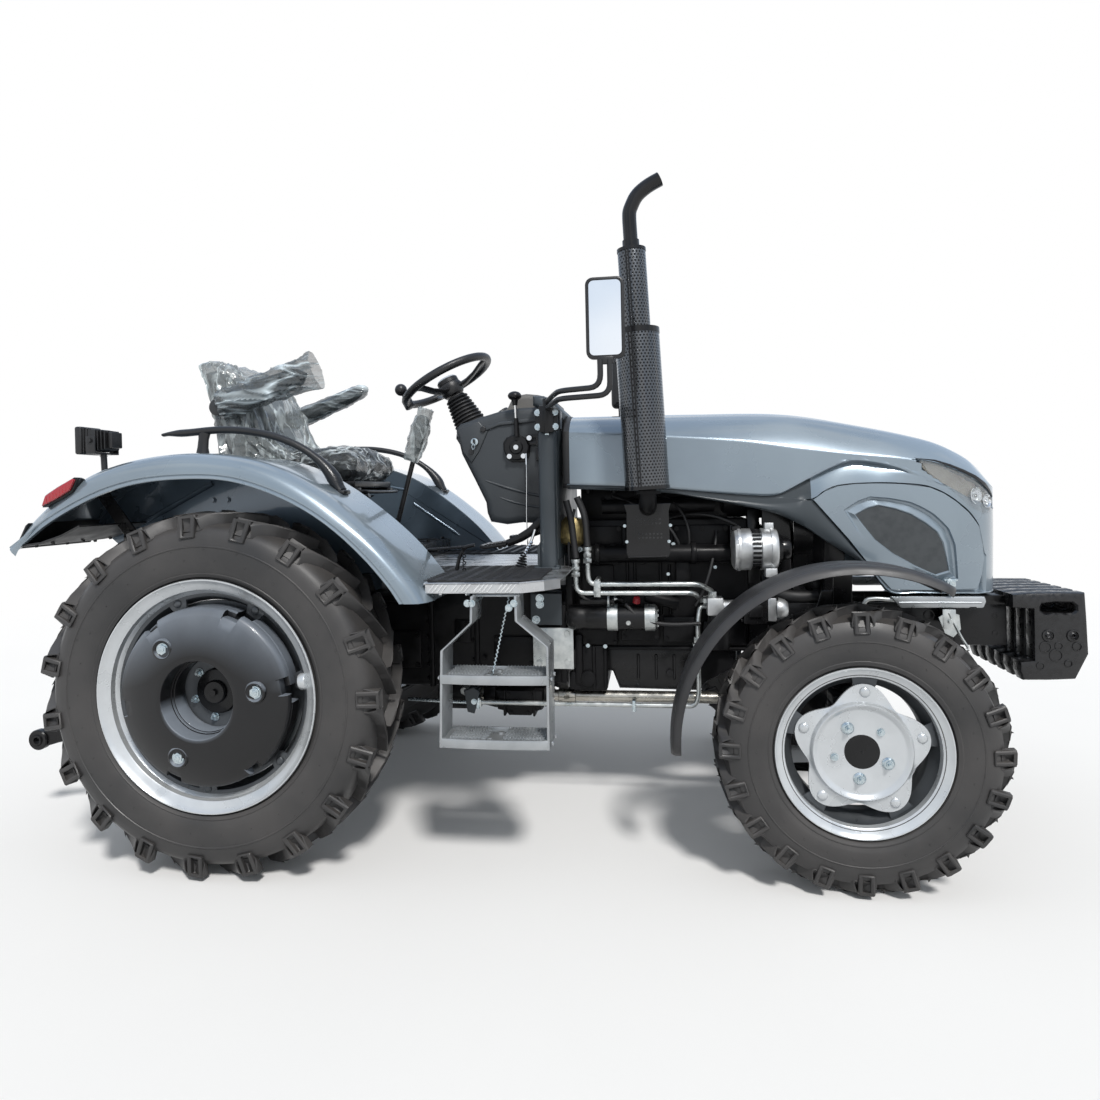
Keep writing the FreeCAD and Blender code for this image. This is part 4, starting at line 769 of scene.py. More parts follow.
front_disc = [(0.108, -0.1), (0.108, -0.144), (0.109, -0.1465), (0.112, -0.1478), (0.125, -0.1474),
    (0.15, -0.1456), (0.178, -0.1412), (0.205, -0.1345), (0.23, -0.126), (0.244, -0.1195), (0.25, -0.1155),
    (0.2535, -0.109), (0.2535, -0.095)]
rear_disc = [(0.1, -0.052), (0.1, -0.092), (0.101, -0.094), (0.24, -0.094), (0.25, -0.093),
    (0.2535, -0.088), (0.2535, -0.052)]
weight_disc(bm, front_disc, 0.2535, 0.018, 8)
weight_disc(bm, rear_disc, 0.2535, 0.024, 2)
bmesh.ops.remove_doubles(bm, verts=bm.verts, dist=SAME_POINT)
bmesh.ops.recalc_face_normals(bm, faces=bm.faces)
lathe(bm, [(0.104, -0.102), (0.104, -0.04), (0.12, -0.04), (0.12, -0.102)], REAR_HUB, steps=72)
for angle in (8, 126, 249):
    spot = around(REAR_HUB, 0.172, angle, -0.1425)
    lathe(bm, [(0.016, 0.004), (0.02, -0.0015), (0.0255, -0.0042), (0.03, -0.002), (0.031, 0.006),
        (0.016, 0.006)], spot, steps=28)
keep_pair(bm, "rear_ballast", "weight_black", "rear_wheel", replaces=["rear_wheel_weight"], bevel=0.0012,
    smooth=34)
for angle in (8, 126, 249):
    spot = around(REAR_HUB, 0.172, angle, -0.1415)
    lathe(bm, [(0.0, -0.0012), (0.0175, -0.0012), (0.0185, 0.0), (0.0, 0.0)], spot, steps=28)
    bar(bm, spot, spot + Vector((0, -0.0052, 0)), 0.015, steps=6, bevel=0.0008)
    bar(bm, spot, spot + Vector((0, -0.007, 0)), 0.0075, steps=14, bevel=0.001)
keep_pair(bm, "rear_ballast_bolts", "weight_black", "rear_wheel", material="zinc_bolt", smooth=30)

# %% [markdown]
# The front wheel's centre is a pressed disc with five lobes. Each lobe ends in a round-headed bolt that
# holds it to a bracket in the rim. The outline of the disc is a circle whose radius swells five times,
# so its rings come from one formula and are lofted from the hub outwards, which gives the raised ring
# and the flat middle as well.

# %% Front rims
front_low, front_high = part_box("front_tyre_right")
FRONT_HUB = (front_low + front_high) / 2 - Vector((AXLE_X, 0, 0))


def lobed(angle, valley, lobe):
    """Radius of the five-lobed outline at an angle in degrees, with a lobe at 86 degrees."""
    wave = math.cos(math.radians(5 * (angle - 86)))
    share = (wave + 1) / 2
    return valley + (lobe - valley) * share ** 0.85


half_rim = [(0.225, 0.079), (0.2238, 0.0812), (0.2214, 0.0812), (0.2185, 0.0785), (0.209, 0.0725),
    (0.2, 0.069), (0.198, 0.0675), (0.1955, 0.052), (0.188, 0.037), (0.176, 0.027), (0.1735, 0.023)]
outer_skin = [(0.182, 0.022), (0.195, 0.036), (0.203, 0.044), (0.203, 0.064), (0.21, 0.067), (0.217, 0.071),
    (0.2232, 0.0755)]
for side in (-1, 1):
    lathe(bm, [(r, side * y) for r, y in half_rim[:8] + outer_skin[2:]], FRONT_HUB, steps=112)
sections = [
    # radius of the ring (the last ones follow the lobed outline), offset along the axle, share of it
    (0.044, -0.060, 0), (0.108, -0.060, 0), (0.115, -0.062, 0), (0.120, -0.068, 0), (0.125, -0.0695, 0),
    (0.129, -0.065, 0), (0.132, -0.058, 0.15), (0.134, -0.0545, 0.6), (0.134, -0.0535, 1.0),
]
rings = []
for radius, y, share in sections:
    ring = []
    for k in range(120):
        angle = 3.0 * k
        r = radius if share < 0.5 else radius + (lobed(angle, 0.137, 0.177) - radius) * share
        ring.append(around(FRONT_HUB, r, angle, y))
    rings.append(ring)
back = [[p + Vector((0, 0.006, 0)) for p in ring] for ring in rings[::-1]]
loft(bm, rings + back, caps=False)
for k in range(5):
    ball(bm, around(FRONT_HUB, 0.156, 86 + 72 * k, -0.055), 0.014, squash=(1, 0.5, 1), steps=20)
bmesh.ops.remove_doubles(bm, verts=bm.verts, dist=SAME_POINT)
keep_pair(bm, "front_rim_steel", "rim_silver", "front_wheel", replaces=["front_rim"], smooth=40)
# The well and the brackets take the darker silver, which paints the shade inside the wheel.
well = half_rim[7:] + [(r, -y) for r, y in half_rim[:6:-1]]
lathe(bm, well + [(r, -y) for r, y in outer_skin[2::-1]] + outer_skin[:3], FRONT_HUB, steps=112)
for k in range(5):
    spot = around(FRONT_HUB, 0.176, 86 + 72 * k, -0.047)
    inward = (FRONT_HUB + Vector((0, -0.047, 0)) - spot).normalized()
    tangent = inward.cross(Vector((0, 1, 0)))
    foot = [spot + tangent * 0.034 - inward * 0.016, spot - tangent * 0.034 - inward * 0.016,
        spot - tangent * 0.022 + inward * 0.026, spot + tangent * 0.022 + inward * 0.026]
    plate(bm, foot, (0, 0.007, 0), bevel=0.002)
keep_pair(bm, "front_rim_well", "rim_silver", "front_wheel", material="rim_silver_in_painted_shade", smooth=40)

cap_profile = [(0.0, -0.061), (0.03, -0.061), (0.043, -0.0605), (0.047, -0.0595), (0.048, -0.055),
    (0.06, -0.03), (0.06, 0.034), (0.033, 0.034), (0.033, 0.0), (0.0, 0.0)]
lathe(bm, cap_profile, FRONT_HUB, steps=64)
ball(bm, FRONT_HUB + Vector((0, -0.0615, 0)), 0.0035, squash=(1, 0.5, 1), steps=10)
keep_pair(bm, "front_hub_cap", "black_metal", "front_wheel", smooth=35)
for angle in (120, -24, -96):
    spot = around(FRONT_HUB, 0.071, angle, -0.0605)
    lathe(bm, [(0.0, -0.008), (0.012, -0.006), (0.0165, -0.001), (0.0165, 0.0), (0.0, 0.0)], spot, steps=24)
    bolt(bm, spot + Vector((0, -0.004, 0)), (0, -1, 0), size=0.0105, washer=False, length=0.017)
for angle in (48, 192):
    bolt(bm, around(FRONT_HUB, 0.071, angle, -0.0605), (0, -1, 0), size=0.0095, length=0.01)
keep_pair(bm, "front_wheel_bolts", "rim_silver", "front_wheel", material="zinc_bolt", smooth=34)

# %% [markdown]
# The hood is pressed sheet with a soft shoulder, a moulding along its lower edge that forks towards the
# front, and a side panel with a mesh window. A grid is the easiest start for sheet like this: each row
# of the grid is one cross-section, and the columns follow the feature lines, so every crease stays
# crisp. Smooth curves through a few measured points place the lines.

# %% Curves of the hood
def follow(points, x):
    """Smooth curve through (x, value) points, read at x."""
    if x <= points[0][0]:
        return points[0][1]
    if x >= points[-1][0]:
        return points[-1][1]
    k = max(i for i, p in enumerate(points[:-1]) if p[0] <= x)
    (x0, y0), (x1, y1) = points[k], points[k + 1]
    before = points[max(k - 1, 0)]
    after = points[min(k + 2, len(points) - 1)]
    slope0 = (y1 - before[1]) / (x1 - before[0])
    slope1 = (after[1] - y0) / (after[0] - x0)
    h = x1 - x0
    t = (x - x0) / h
    values = (2 * t ** 3 - 3 * t ** 2 + 1) * y0 + (3 * t ** 2 - 2 * t ** 3) * y1
    slopes = (t ** 3 - 2 * t ** 2 + t) * slope0 + (t ** 3 - t ** 2) * slope1
    return values + slopes * h


def ease(x, low, high):
    """Goes smoothly from 0 to 1 between low and high."""
    t = min(max((x - low) / (high - low), 0.0), 1.0)
    return t * t * (3 - 2 * t)


HALF = [(0.981, 0.2795), (1.69, 0.2795), (1.92, 0.276), (2.12, 0.267), (2.225, 0.25), (2.262, 0.23),
    (2.292, 0.198), (2.312, 0.16), (2.325, 0.115), (2.332, 0.06), (2.334, 0.0)]
TOP = [(0.981, 1.335), (1.42, 1.331), (1.69, 1.321), (1.92, 1.277), (2.12, 1.226), (2.225, 1.184),
    (2.285, 1.147), (2.31, 1.122)]
CREASE = [(0.981, 1.271), (1.137, 1.262), (1.31, 1.246), (1.541, 1.224), (1.706, 1.197), (1.853, 1.176),
    (2.02, 1.156), (2.14, 1.128), (2.24, 1.09), (2.3, 1.066), (2.334, 1.052)]
UPPER = [(0.981, 1.101), (1.15, 1.094), (1.307, 1.082), (1.476, 1.064), (1.6, 1.0535), (1.64, 1.056),
    (1.675, 1.071), (1.745, 1.108), (1.815, 1.141), (1.85, 1.152), (1.881, 1.155), (1.953, 1.143),
    (2.025, 1.118), (2.12, 1.076), (2.22, 1.02), (2.334, 0.985)]
PANEL_TOP = [(0.981, 1.098), (1.307, 1.078), (1.6, 1.047), (1.66, 1.046), (1.744, 1.04), (1.78, 1.065),
    (1.82, 1.08), (1.924, 1.086), (2.01, 1.082), (2.09, 1.07), (2.167, 1.026), (2.236, 0.95), (2.258, 0.86),
    (2.334, 0.84)]
PANEL_LOW = [(0.981, 1.092), (1.307, 1.071), (1.6, 1.028), (1.7, 1.03), (1.744, 1.036), (1.777, 0.999),
    (1.849, 0.913), (1.92, 0.818), (1.972, 0.756), (2.05, 0.752), (2.334, 0.744)]
LOW = [(0.981, 1.087), (1.15, 1.08), (1.307, 1.068), (1.399, 1.05), (1.537, 1.022), (1.642, 0.994),
    (1.723, 0.952), (1.774, 0.915), (1.832, 0.877), (1.89, 0.84), (1.93, 0.795), (1.968, 0.748),
    (2.05, 0.744), (2.334, 0.736)]


def side_half(x, z):
    """Half width of the hood's side at this spot."""
    return follow(HALF, x) - 0.01 * ((z - 1.02) / 0.26) ** 2


def hood_row(x):
    """One cross-section, from the folded lower edge up to the middle of the roof."""
    low, panel_low, panel_top = follow(LOW, x), follow(PANEL_LOW, x), follow(PANEL_TOP, x)
    upper, crease, top = follow(UPPER, x), follow(CREASE, x), follow(TOP, min(x, 2.31))
    fork = ease(x, 1.7, 1.765)
    moulding = 0.009 * (1 - ease(x, 1.86, 1.95))
    beneath = 0.009 + 0.01 * ease(x, 1.62, 1.78) - 0.019 * ease(x, 1.93, 2.06)
    window = 0.02 * fork * (1 - ease(x, 2.246, 2.262))
    points = [(0.022, low + 0.001), (0.0155, low - 0.0004), (0.0105, low + 0.003)]
    for s in (0.25, 0.5, 0.75):
        points.append((moulding - 0.004 * math.sin(math.pi * s), low + (panel_low - low) * s))
    points.append((moulding, panel_low - 0.003 * fork))
    flush = moulding * (1 - fork)
    points.append((flush + window, panel_low + 0.0012))
    for s in (0.15, 0.38, 0.62, 0.85):
        points.append((flush + window, panel_low + (panel_top - panel_low) * s))
    points.append((flush + window, panel_top - 0.0012))
    points.append((beneath * (1 - fork), panel_top + 0.002 * fork))
    for s in (0.3, 0.6, 0.86):
        deep = beneath * (1 - fork) + beneath * fork * s ** 1.4
        points.append((deep, panel_top + (upper - panel_top) * s))
    points.append((beneath, upper - 0.0035))
    points.append((beneath * 0.45, upper - 0.001))
    points.append((0.0006, upper + 0.0025))
    points.append((0.0, upper + 0.008))
    for s in (0.1, 0.2, 0.32, 0.44, 0.56, 0.68, 0.8, 0.9, 0.965):
        points.append((0.0, upper + (crease - upper) * s))
    ring = [Vector((x, -(side_half(x, z) - deep), z)) for deep, z in points]
    edge = side_half(x, crease)
    nose = ease(x, 2.1, 2.334)
    power = 4.2 - 2.2 * nose
    back = 0.03 * ease(x, 2.225, 2.334)
    for s in (0.0, 0.02, 0.045, 0.075, 0.11, 0.16, 0.22, 0.3, 0.4, 0.5, 0.62, 0.74, 0.87, 1.0):
        rise = 1 - (1 - s) ** power
        ridge = 0.0035 * math.exp(-((s - 0.34) / 0.07) ** 2) * ease(x, 1.45, 1.75)
        ring.append(Vector((x - back * s, -edge * (1 - s), crease + (top - crease) * rise + ridge)))
    return ring


hood_stations = [0.981 + 0.0155 * i for i in range(80)]
hood_stations += [2.214, 2.225, 2.236, 2.246, 2.256, 2.264, 2.272, 2.28, 2.288, 2.295, 2.302, 2.308, 2.314,
    2.319, 2.3235, 2.327, 2.33, 2.332, 2.3334, 2.334]
rows = [hood_row(x) for x in hood_stations]
print("hood grid:", len(rows), "rows of", len(rows[0]), "points")

# %% [markdown]
# Now the grid is laid on those rows. Faces between the feature lines take the darker moulding colour.
# The nose's middle is pressed back for the grille, and the lamps' corners are pressed in as pockets.
# The other half is a mirror image, welded along the middle, and a solidify modifier gives the sheet
# its thickness.

# %% Hood shell
GRILLE = (0.145, 0.79, 1.005)
LAMP = [(2.062, 1.152), (2.105, 1.142), (2.149, 1.125), (2.19, 1.106), (2.225, 1.086), (2.262, 1.058),
    (2.292, 1.03), (2.284, 0.992), (2.255, 0.984), (2.211, 1.003), (2.176, 1.038), (2.14, 1.068),
    (2.105, 1.098), (2.08, 1.122)]


def inside(outline, x, z):
    """True when (x, z) lies inside a flat outline."""
    hit = False
    for (x0, z0), (x1, z1) in zip(outline, outline[1:] + outline[:1]):
        if (z0 > z) != (z1 > z) and x < (x1 - x0) * (z - z0) / (z1 - z0) + x0:
            hit = not hit
    return hit


wide, tall = len(rows[0]), len(rows)
bmesh.ops.create_grid(bm, x_segments=wide - 1, y_segments=tall - 1, size=1.0)
bm.verts.ensure_lookup_table()
column = {}
for v in bm.verts:
    j = round((v.co.x + 1) / 2 * (wide - 1))
    i = round((v.co.y + 1) / 2 * (tall - 1))
    column[v] = (j, hood_stations[i])
    spot = rows[i][j].copy()
    if spot.x > 2.26 and -spot.y < GRILLE[0] and GRILLE[1] < spot.z < GRILLE[2]:
        spot.x -= 0.03
    if inside(LAMP, spot.x, spot.z) and -spot.y > 0.1 and j > 20:
        spot += Vector((-0.012, 0.026, 0))
    v.co = spot
for face in bm.faces:
    j = sum(column[v][0] for v in face.verts) / 4
    x = sum(column[v][1] for v in face.verts) / 4
    low_band = j < 6.6
    rear_band = 6.6 < j < 17.6 and x < 1.744
    face.material_index = 1 if (low_band and x < 1.93) or rear_band else 0
bmesh.ops.remove_doubles(bm, verts=bm.verts, dist=1e-5)
both_sides(bm)
bmesh.ops.remove_doubles(bm, verts=bm.verts, dist=2e-4)
bmesh.ops.recalc_face_normals(bm, faces=bm.faces)
high_face = max(bm.faces, key=lambda f: f.calc_center_median().z)
if high_face.normal.z < 0:
    bmesh.ops.reverse_faces(bm, faces=bm.faces)
hood = keep(bm, "hood_skin", "slate_paint", "hood", replaces=["hood_shell"], smooth=40, thickness=0.0035)
hood.data.materials.append(FINISH["moulding_grey"])

# %% [markdown]
# The side panel is a ring of loops between its outline and the mesh window: a raised edge, a flat, a
# groove that runs round the window and fades at its lower rear side, and the mesh itself. All loops
# have the same number of points, found by shooting rays from the window's middle, so they bridge
# cleanly. Then the panel is draped on the hood's side.

# %% Side panels
PANEL = [(1.746, 1.038), (1.78, 1.063), (1.818, 1.078), (1.87, 1.084), (1.924, 1.0845), (2.01, 1.0805),
    (2.09, 1.0685), (2.13, 1.05), (2.167, 1.024), (2.205, 0.99), (2.236, 0.95), (2.25, 0.905),
    (2.256, 0.848), (2.248, 0.8), (2.233, 0.756), (2.1, 0.7535), (1.975, 0.7575), (1.92, 0.82),
    (1.849, 0.915), (1.777, 1.001)]
WINDOW = [(1.868, 0.99), (1.905, 1.01), (1.938, 1.018), (1.985, 1.007), (2.031, 0.99), (2.075, 0.962),
    (2.109, 0.934), (2.127, 0.9), (2.137, 0.855), (2.145, 0.812), (2.106, 0.8), (2.045, 0.828),
    (1.979, 0.866), (1.925, 0.912)]
MIDDLE = (2.03, 0.915)


def ray_ring(outline, angles):
    """Where rays from the window's middle meet an outline."""
    cx, cz = MIDDLE
    ring = []
    for a in angles:
        ux, uz = math.cos(a), math.sin(a)
        best = None
        for (x0, z0), (x1, z1) in zip(outline, outline[1:] + outline[:1]):
            ex, ez = x1 - x0, z1 - z0
            cross = ux * ez - uz * ex
            if abs(cross) < 1e-9:
                continue
            t = ((x0 - cx) * ez - (z0 - cz) * ex) / cross
            s = ((x0 - cx) * uz - (z0 - cz) * ux) / cross
            if t > 0 and -1e-6 <= s <= 1 + 1e-6 and (best is None or t < best):
                best = t
        ring.append((cx + ux * best, cz + uz * best))
    return ring


def between(ring, other, share):
    """Flat ring that lies a share of the way from one ring to another."""
    return [((1 - share) * a[0] + share * b[0], (1 - share) * a[1] + share * b[1]) for a,
        b in zip(ring, other)]


def drape(ring, deep):
    """Puts a flat ring on the hood's right side, sunk by the given depth."""
    depths = deep if isinstance(deep, list) else [deep] * len(ring)
    return [Vector((x, -(side_half(x, z) - d), z)) for (x, z), d in zip(ring, depths)]


corner_angles = [math.atan2(z - MIDDLE[1], x - MIDDLE[0]) % math.tau for x, z in PANEL + WINDOW]
corner_angles += [math.tau * k / 40 for k in range(40)]
angles = []
for a in sorted(corner_angles):
    if not angles or a - angles[-1] > 0.02:
        angles.append(a)
edge_ring, window_ring = ray_ring(PANEL, angles), ray_ring(WINDOW, angles)
fade = [1 - ease(math.cos(a - math.radians(213)), 0.3, 0.85) for a in angles]


def outward(k, by):
    """Window ring moved outwards along its ray, but never past the panel's own edge."""
    (x, z), (ex, ez) = window_ring[k], edge_ring[k]
    reach = math.hypot(x - MIDDLE[0], z - MIDDLE[1])
    limit = math.hypot(ex - MIDDLE[0], ez - MIDDLE[1]) - 0.012
    share = min(reach + by, limit) / reach
    return (MIDDLE[0] + (x - MIDDLE[0]) * share, MIDDLE[1] + (z - MIDDLE[1]) * share)


count = len(angles)
heart = [MIDDLE] * count
flat = 0.0006
loops = []
for share, deep in ((0.0, 0.016), (0.0, 0.0022), (0.004, 0.0008)):
    loops.append(drape(between(edge_ring, heart, share), deep))
inner = [outward(k, 0.04) for k in range(count)]
for share in (0.35, 0.7):
    loops.append(drape(between(edge_ring, inner, share), flat))
groove = ((0.036, flat), (0.032, 0.009), (0.024, 0.0115), (0.003, 0.0005), (0.0, 0.001))
for by, deep in groove:
    loops.append(drape([outward(k, by) for k in range(count)], [flat + (deep - flat) * f for f in fade]))
window_start = len(loops)
loops.append(drape([outward(k, -0.003) for k in range(count)], 0.004))
for share in (0.3, 0.6, 0.88):
    loops.append(drape(between(window_ring, heart, share), 0.0042))
loft(bm, loops[:window_start + 1], caps=False)
keep(bm, "hood_side_panels", "slate_paint", "hood", smooth=24, mirror=True)
loft(bm, loops[window_start:], caps=False)
bmesh.ops.holes_fill(bm, edges=[e for e in bm.edges if e.is_boundary and e.calc_length() < 0.02], sides=0)
keep(bm, "hood_side_mesh", "grille_mesh", "hood", smooth=24, mirror=True)

# %% [markdown]
# A headlamp is a tan-lined tray with a chrome bowl under a clear cover that continues the hood's
# surface round the corner. A black lip hangs over it. Cover and tray are both flat outlines, cut into
# strips and then draped on the hood, so they keep its curve.

# %% Headlamps
def draped_plate(bm, outline, deep, thick, cell=0.018, bevel=0.0012):
    """Plate with this outline that follows the hood's right side."""
    made = plate(bm, [Vector((x, 0, z)) for x, z in outline], (0, thick, 0), bevel, 1)
    for axis in ((1, 0, 0), (0, 0, 1)):
        k = 0 if axis[0] else 2
        low = min(v.co[k] for v in made)
        high = max(v.co[k] for v in made)
        steps = int((high - low) / cell)
        for i in range(1, steps):
            geom = bm.verts[:] + bm.edges[:] + bm.faces[:]
            cut_at = Vector(axis) * (low + (high - low) * i / steps)
            bmesh.ops.bisect_plane(bm, geom=geom, plane_co=cut_at, plane_no=axis, dist=SAME_POINT)
    for v in bm.verts:
        v.co.y = -(side_half(v.co.x, v.co.z) - deep - v.co.y)


draped_plate(bm, LAMP, 0.0195, 0.004)
keep(bm, "headlamp_trays", "lamp_glass", "hood", material="lamp_tan", replaces=["headlamps"], mirror=True)
for x, z, radius in ((2.218, 1.04, 0.024), (2.256, 1.022, 0.019)):
    y = -(side_half(x, z) - 0.02)
    way = Vector((0.55, -0.8, 0.05)).normalized()
    seat = Vector((x, y, z))
    lathe(bm, [(0.0, 0.004), (radius * 0.5, 0.006), (radius * 0.85, 0.012), (radius, 0.019),
        (radius * 1.06, 0.019), (radius * 0.95, 0.008), (radius * 0.55, 0.001), (0.0, -0.001)], seat,
        axis=way, steps=32)
    ball(bm, seat + way * 0.013, radius * 0.3, steps=14)
keep(bm, "headlamp_bowls", "lamp_glass", "hood", material="chrome", mirror=True)
draped_plate(bm, LAMP, -0.0008, 0.0024)
keep(bm, "headlamp_covers", "lamp_glass", "hood", mirror=True)
LIP = [(2.04, 1.16), (2.105, 1.1475), (2.149, 1.131), (2.19, 1.112), (2.225, 1.092), (2.262, 1.064),
    (2.296, 1.034), (2.29, 1.048), (2.262, 1.078), (2.225, 1.103), (2.19, 1.1205), (2.149, 1.138),
    (2.105, 1.1525)]
draped_plate(bm, LIP, -0.0045, 0.006)
keep(bm, "headlamp_lips", "grip_plastic", "hood", mirror=True)

# %% [markdown]
# The grille fills the gap in the nose with fine mesh on a few slats. Under the hood's rear edge sits a
# black rubber trim, and on its lower front corner is a bright over-centre latch.

# %% Grille, trim and latches
for k in range(9):
    z = 0.8 + k * 0.0252
    slat = [Vector((2.318 - 7 * (y * y), y, z)) for y in (-0.15, -0.1, -0.05, 0, 0.05, 0.1, 0.15)]
    tube(bm, slat, 0.003, steps=1, bend=0.01)
for y in (-0.148, -0.075, 0.0, 0.075, 0.148):
    x = 2.316 - 7 * y * y
    bar(bm, (x, y, 0.79), (x, y, 1.008), 0.0035, steps=10)
keep(bm, "grille_slats", "grille_mesh", "hood", material="black_metal", replaces=["hood_grille"])
bmesh.ops.create_grid(bm, x_segments=16, y_segments=1, size=1.0)
for v in bm.verts:
    y, z = v.co.x * 0.152, 0.898 + v.co.y * 0.112
    v.co = Vector((2.309 - 7 * y * y, y, z))
if bm.faces[:][0].normal.x < 0:
    bmesh.ops.reverse_faces(bm, faces=bm.faces)
keep(bm, "grille_sheet", "grille_mesh", "hood", thickness=0.002)

rim = [p for p in rows[0] if p.z > 1.09]
section = [rim[0] + Vector((0, 0.01, 0))] + rim
full = section + [Vector((p.x, -p.y, p.z)) for p in section[-2::-1]]
outer_ring = [Vector((p.x, p.y * 1.007, p.z + 0.002)) for p in full]
strips = [[Vector((x, p.y, p.z)) for p in ring] for x, ring in ((0.969, full), (0.973, outer_ring),
    (0.986, outer_ring), (0.99, full))]
loft(bm, strips, closed=False, caps=False)
if sum(f.normal.z for f in bm.faces) < 0:
    bmesh.ops.reverse_faces(bm, faces=bm.faces)
keep(bm, "hood_rear_trim", "fender_rubber", material="boot_rubber", thickness=0.004)

block(bm, (2.124, -0.296, 0.768), (2.15, -0.266, 0.794), 0.003)
block(bm, (2.118, -0.292, 0.786), (2.156, -0.27, 0.792), 0.001)
bar(bm, (2.137, -0.3, 0.78), (2.137, -0.262, 0.78), 0.007, steps=16)
block(bm, (2.13, -0.29, 0.742), (2.144, -0.276, 0.772), 0.002)
bolt(bm, (2.137, -0.292, 0.76), (0, -1, 0), 0.006)
keep(bm, "hood_latches", "bare_steel", "hood", material="zinc_bolt", mirror=True)

# %% [markdown]
# A rear fender is one pressing: a broad top, a soft shoulder, a flat side band with a crease low down,
# and a folded lip. Again each row of a grid is one cross-section, taken square to the arch. The lines
# of the arch are the only measured data, the section is the same all along.

# %% Rear fenders
def skin(bm, rows):
    """Grid laid on rows of points, one row for each cross-section."""
    before = len(bm.verts)
    wide, tall = len(rows[0]), len(rows)
    bmesh.ops.create_grid(bm, x_segments=wide - 1, y_segments=tall - 1, size=1.0)
    made = span(bm, before)
    for v in made:
        j = round((v.co.x + 1) / 2 * (wide - 1))
        i = round((v.co.y + 1) / 2 * (tall - 1))
        v.co = rows[i][j]
    return made


def face_outwards(bm, centre):
    """Turns an open skin so that it faces away from a spot beneath it."""
    centre = Vector(centre)
    score = sum((f.calc_center_median() - centre).dot(f.normal) * f.calc_area() for f in bm.faces)
    if score < 0:
        bmesh.ops.reverse_faces(bm, faces=bm.faces)


def spread(points, count):
    """Evenly spaced points along a smooth line through measured (x, z) points."""
    lengths = [0.0]
    for a, b in zip(points, points[1:]):
        lengths.append(lengths[-1] + math.dist(a, b))
    xs = [(d, p[0]) for d, p in zip(lengths, points)]
    zs = [(d, p[1]) for d, p in zip(lengths, points)]
    steps = [lengths[-1] * i / (count - 1) for i in range(count)]
    return [(follow(xs, d), follow(zs, d)) for d in steps]


ARCH = [(-0.619, 0.959), (-0.605, 0.983), (-0.544, 1.046), (-0.444, 1.122), (-0.347, 1.172), (-0.22, 1.203),
    (-0.065, 1.2145), (0.09, 1.2), (0.205, 1.166), (0.31, 1.11), (0.412, 1.036), (0.517, 0.944),
    (0.599, 0.849), (0.645, 0.783)]
LIP_LINE = [(-0.605, 0.935), (-0.575, 0.955), (-0.496, 1.012), (-0.402, 1.062), (-0.3, 1.103),
    (-0.19, 1.128), (-0.052, 1.1365), (0.069, 1.129), (0.18, 1.098), (0.289, 1.048), (0.382, 0.985),
    (0.466, 0.908), (0.535, 0.829), (0.566, 0.783)]
rows = []
for (ax, az), (bx, bz) in zip(spread(ARCH, 96), spread(LIP_LINE, 96)):
    a, b = Vector((ax, 0, az)), Vector((bx, 0, bz))
    out = (a - b).normalized()
    tall = (a - b).length
    section = [(-0.422, 0.0), (-0.5, -0.001), (-0.58, -0.0005), (-0.64, 0.0), (-0.668, -0.0005),
        (-0.688, -0.003), (-0.706, -0.008), (-0.721, -0.016), (-0.731, -0.027), (-0.7365, -0.039)]
    row = [a + out * d + Vector((0, y, 0)) for y, d in section]
    start, end = row[-1], b + out * 0.0175 + Vector((0, -0.739, 0))
    row += [start.lerp(end, s) for s in (0.35, 0.7, 1.0)]
    for y, d in ((-0.7388, 0.0145), (-0.735, 0.012), (-0.7352, 0.0085), (-0.7372, 0.003), (-0.7362, 0.0008),
            (-0.732, 0.0), (-0.723, 0.0008)):
        row.append(b + out * d + Vector((0, y, 0)))
    rows.append(row)
skin(bm, rows)
face_outwards(bm, (0, -0.55, 0.6))
keep(bm, "rear_fender_skins", "slate_paint", replaces=["rear_fenders"], smooth=34, thickness=0.004,
    mirror=True)

# %% [markdown]
# Behind the wheel the skin is closed by an inner wall with pressed beads, and at the tail by a black
# flap held with rivets. A black strut braces the overhang from inside. All of these are plates, pushed
# out of flat outlines and given soft edges.

# %% Fender walls, flaps and struts
wall = [(x, z - 0.004) for x, z in spread(ARCH, 26)[1:-1]]
wall += [(0.61, 0.834), (0.09, 0.834), (0.09, 0.66), (-0.09, 0.66), (-0.09, 0.834), (-0.38, 0.834)]
slab(bm, wall, -0.425, 0.004)
for x0, z0, x1, z1 in ((-0.42, 1.0, -0.16, 1.13), (-0.05, 1.15, 0.2, 1.1), (0.24, 1.04, 0.44, 0.9)):
    low, high = Vector((x0, -0.427, z0)), Vector((x1, -0.427, z1))
    bar(bm, low, high, 0.009, steps=10)
for x, z in ((-0.16, 1.075), (-0.11, 1.075), (0.3, 0.95), (-0.34, 1.02), (0.45, 0.862)):
    bolt(bm, (x, -0.426, z), (0, -1, 0), 0.009)
# The inner walls take the darker copy of the slate paint, painted shade under the fender.
keep(bm, "rear_fender_walls", "slate_paint", material="slate_in_painted_shade", mirror=True)

flap = [(-0.603, 0.948), (-0.52, 0.957), (-0.452, 0.978), (-0.392, 1.006), (-0.394, 1.011), (-0.452, 0.984),
    (-0.52, 0.963), (-0.603, 0.954)]
slab(bm, flap, -0.731, 0.3, 0.001, 1)
tail = [(-0.606, 0.944), (-0.598, 0.944), (-0.56, 1.02), (-0.57, 1.012)]
slab(bm, tail, -0.728, 0.296, 0.001, 1)
for x, z in ((-0.56, 0.951), (-0.505, 0.9595)):
    for y in (-0.7, -0.58, -0.46):
        bar(bm, (x, y, z + 0.001), (x + 0.001, y, z - 0.005), 0.006, tip=0.004, steps=12)
keep(bm, "rear_fender_flaps", "slate_paint", material="boot_rubber", mirror=True)

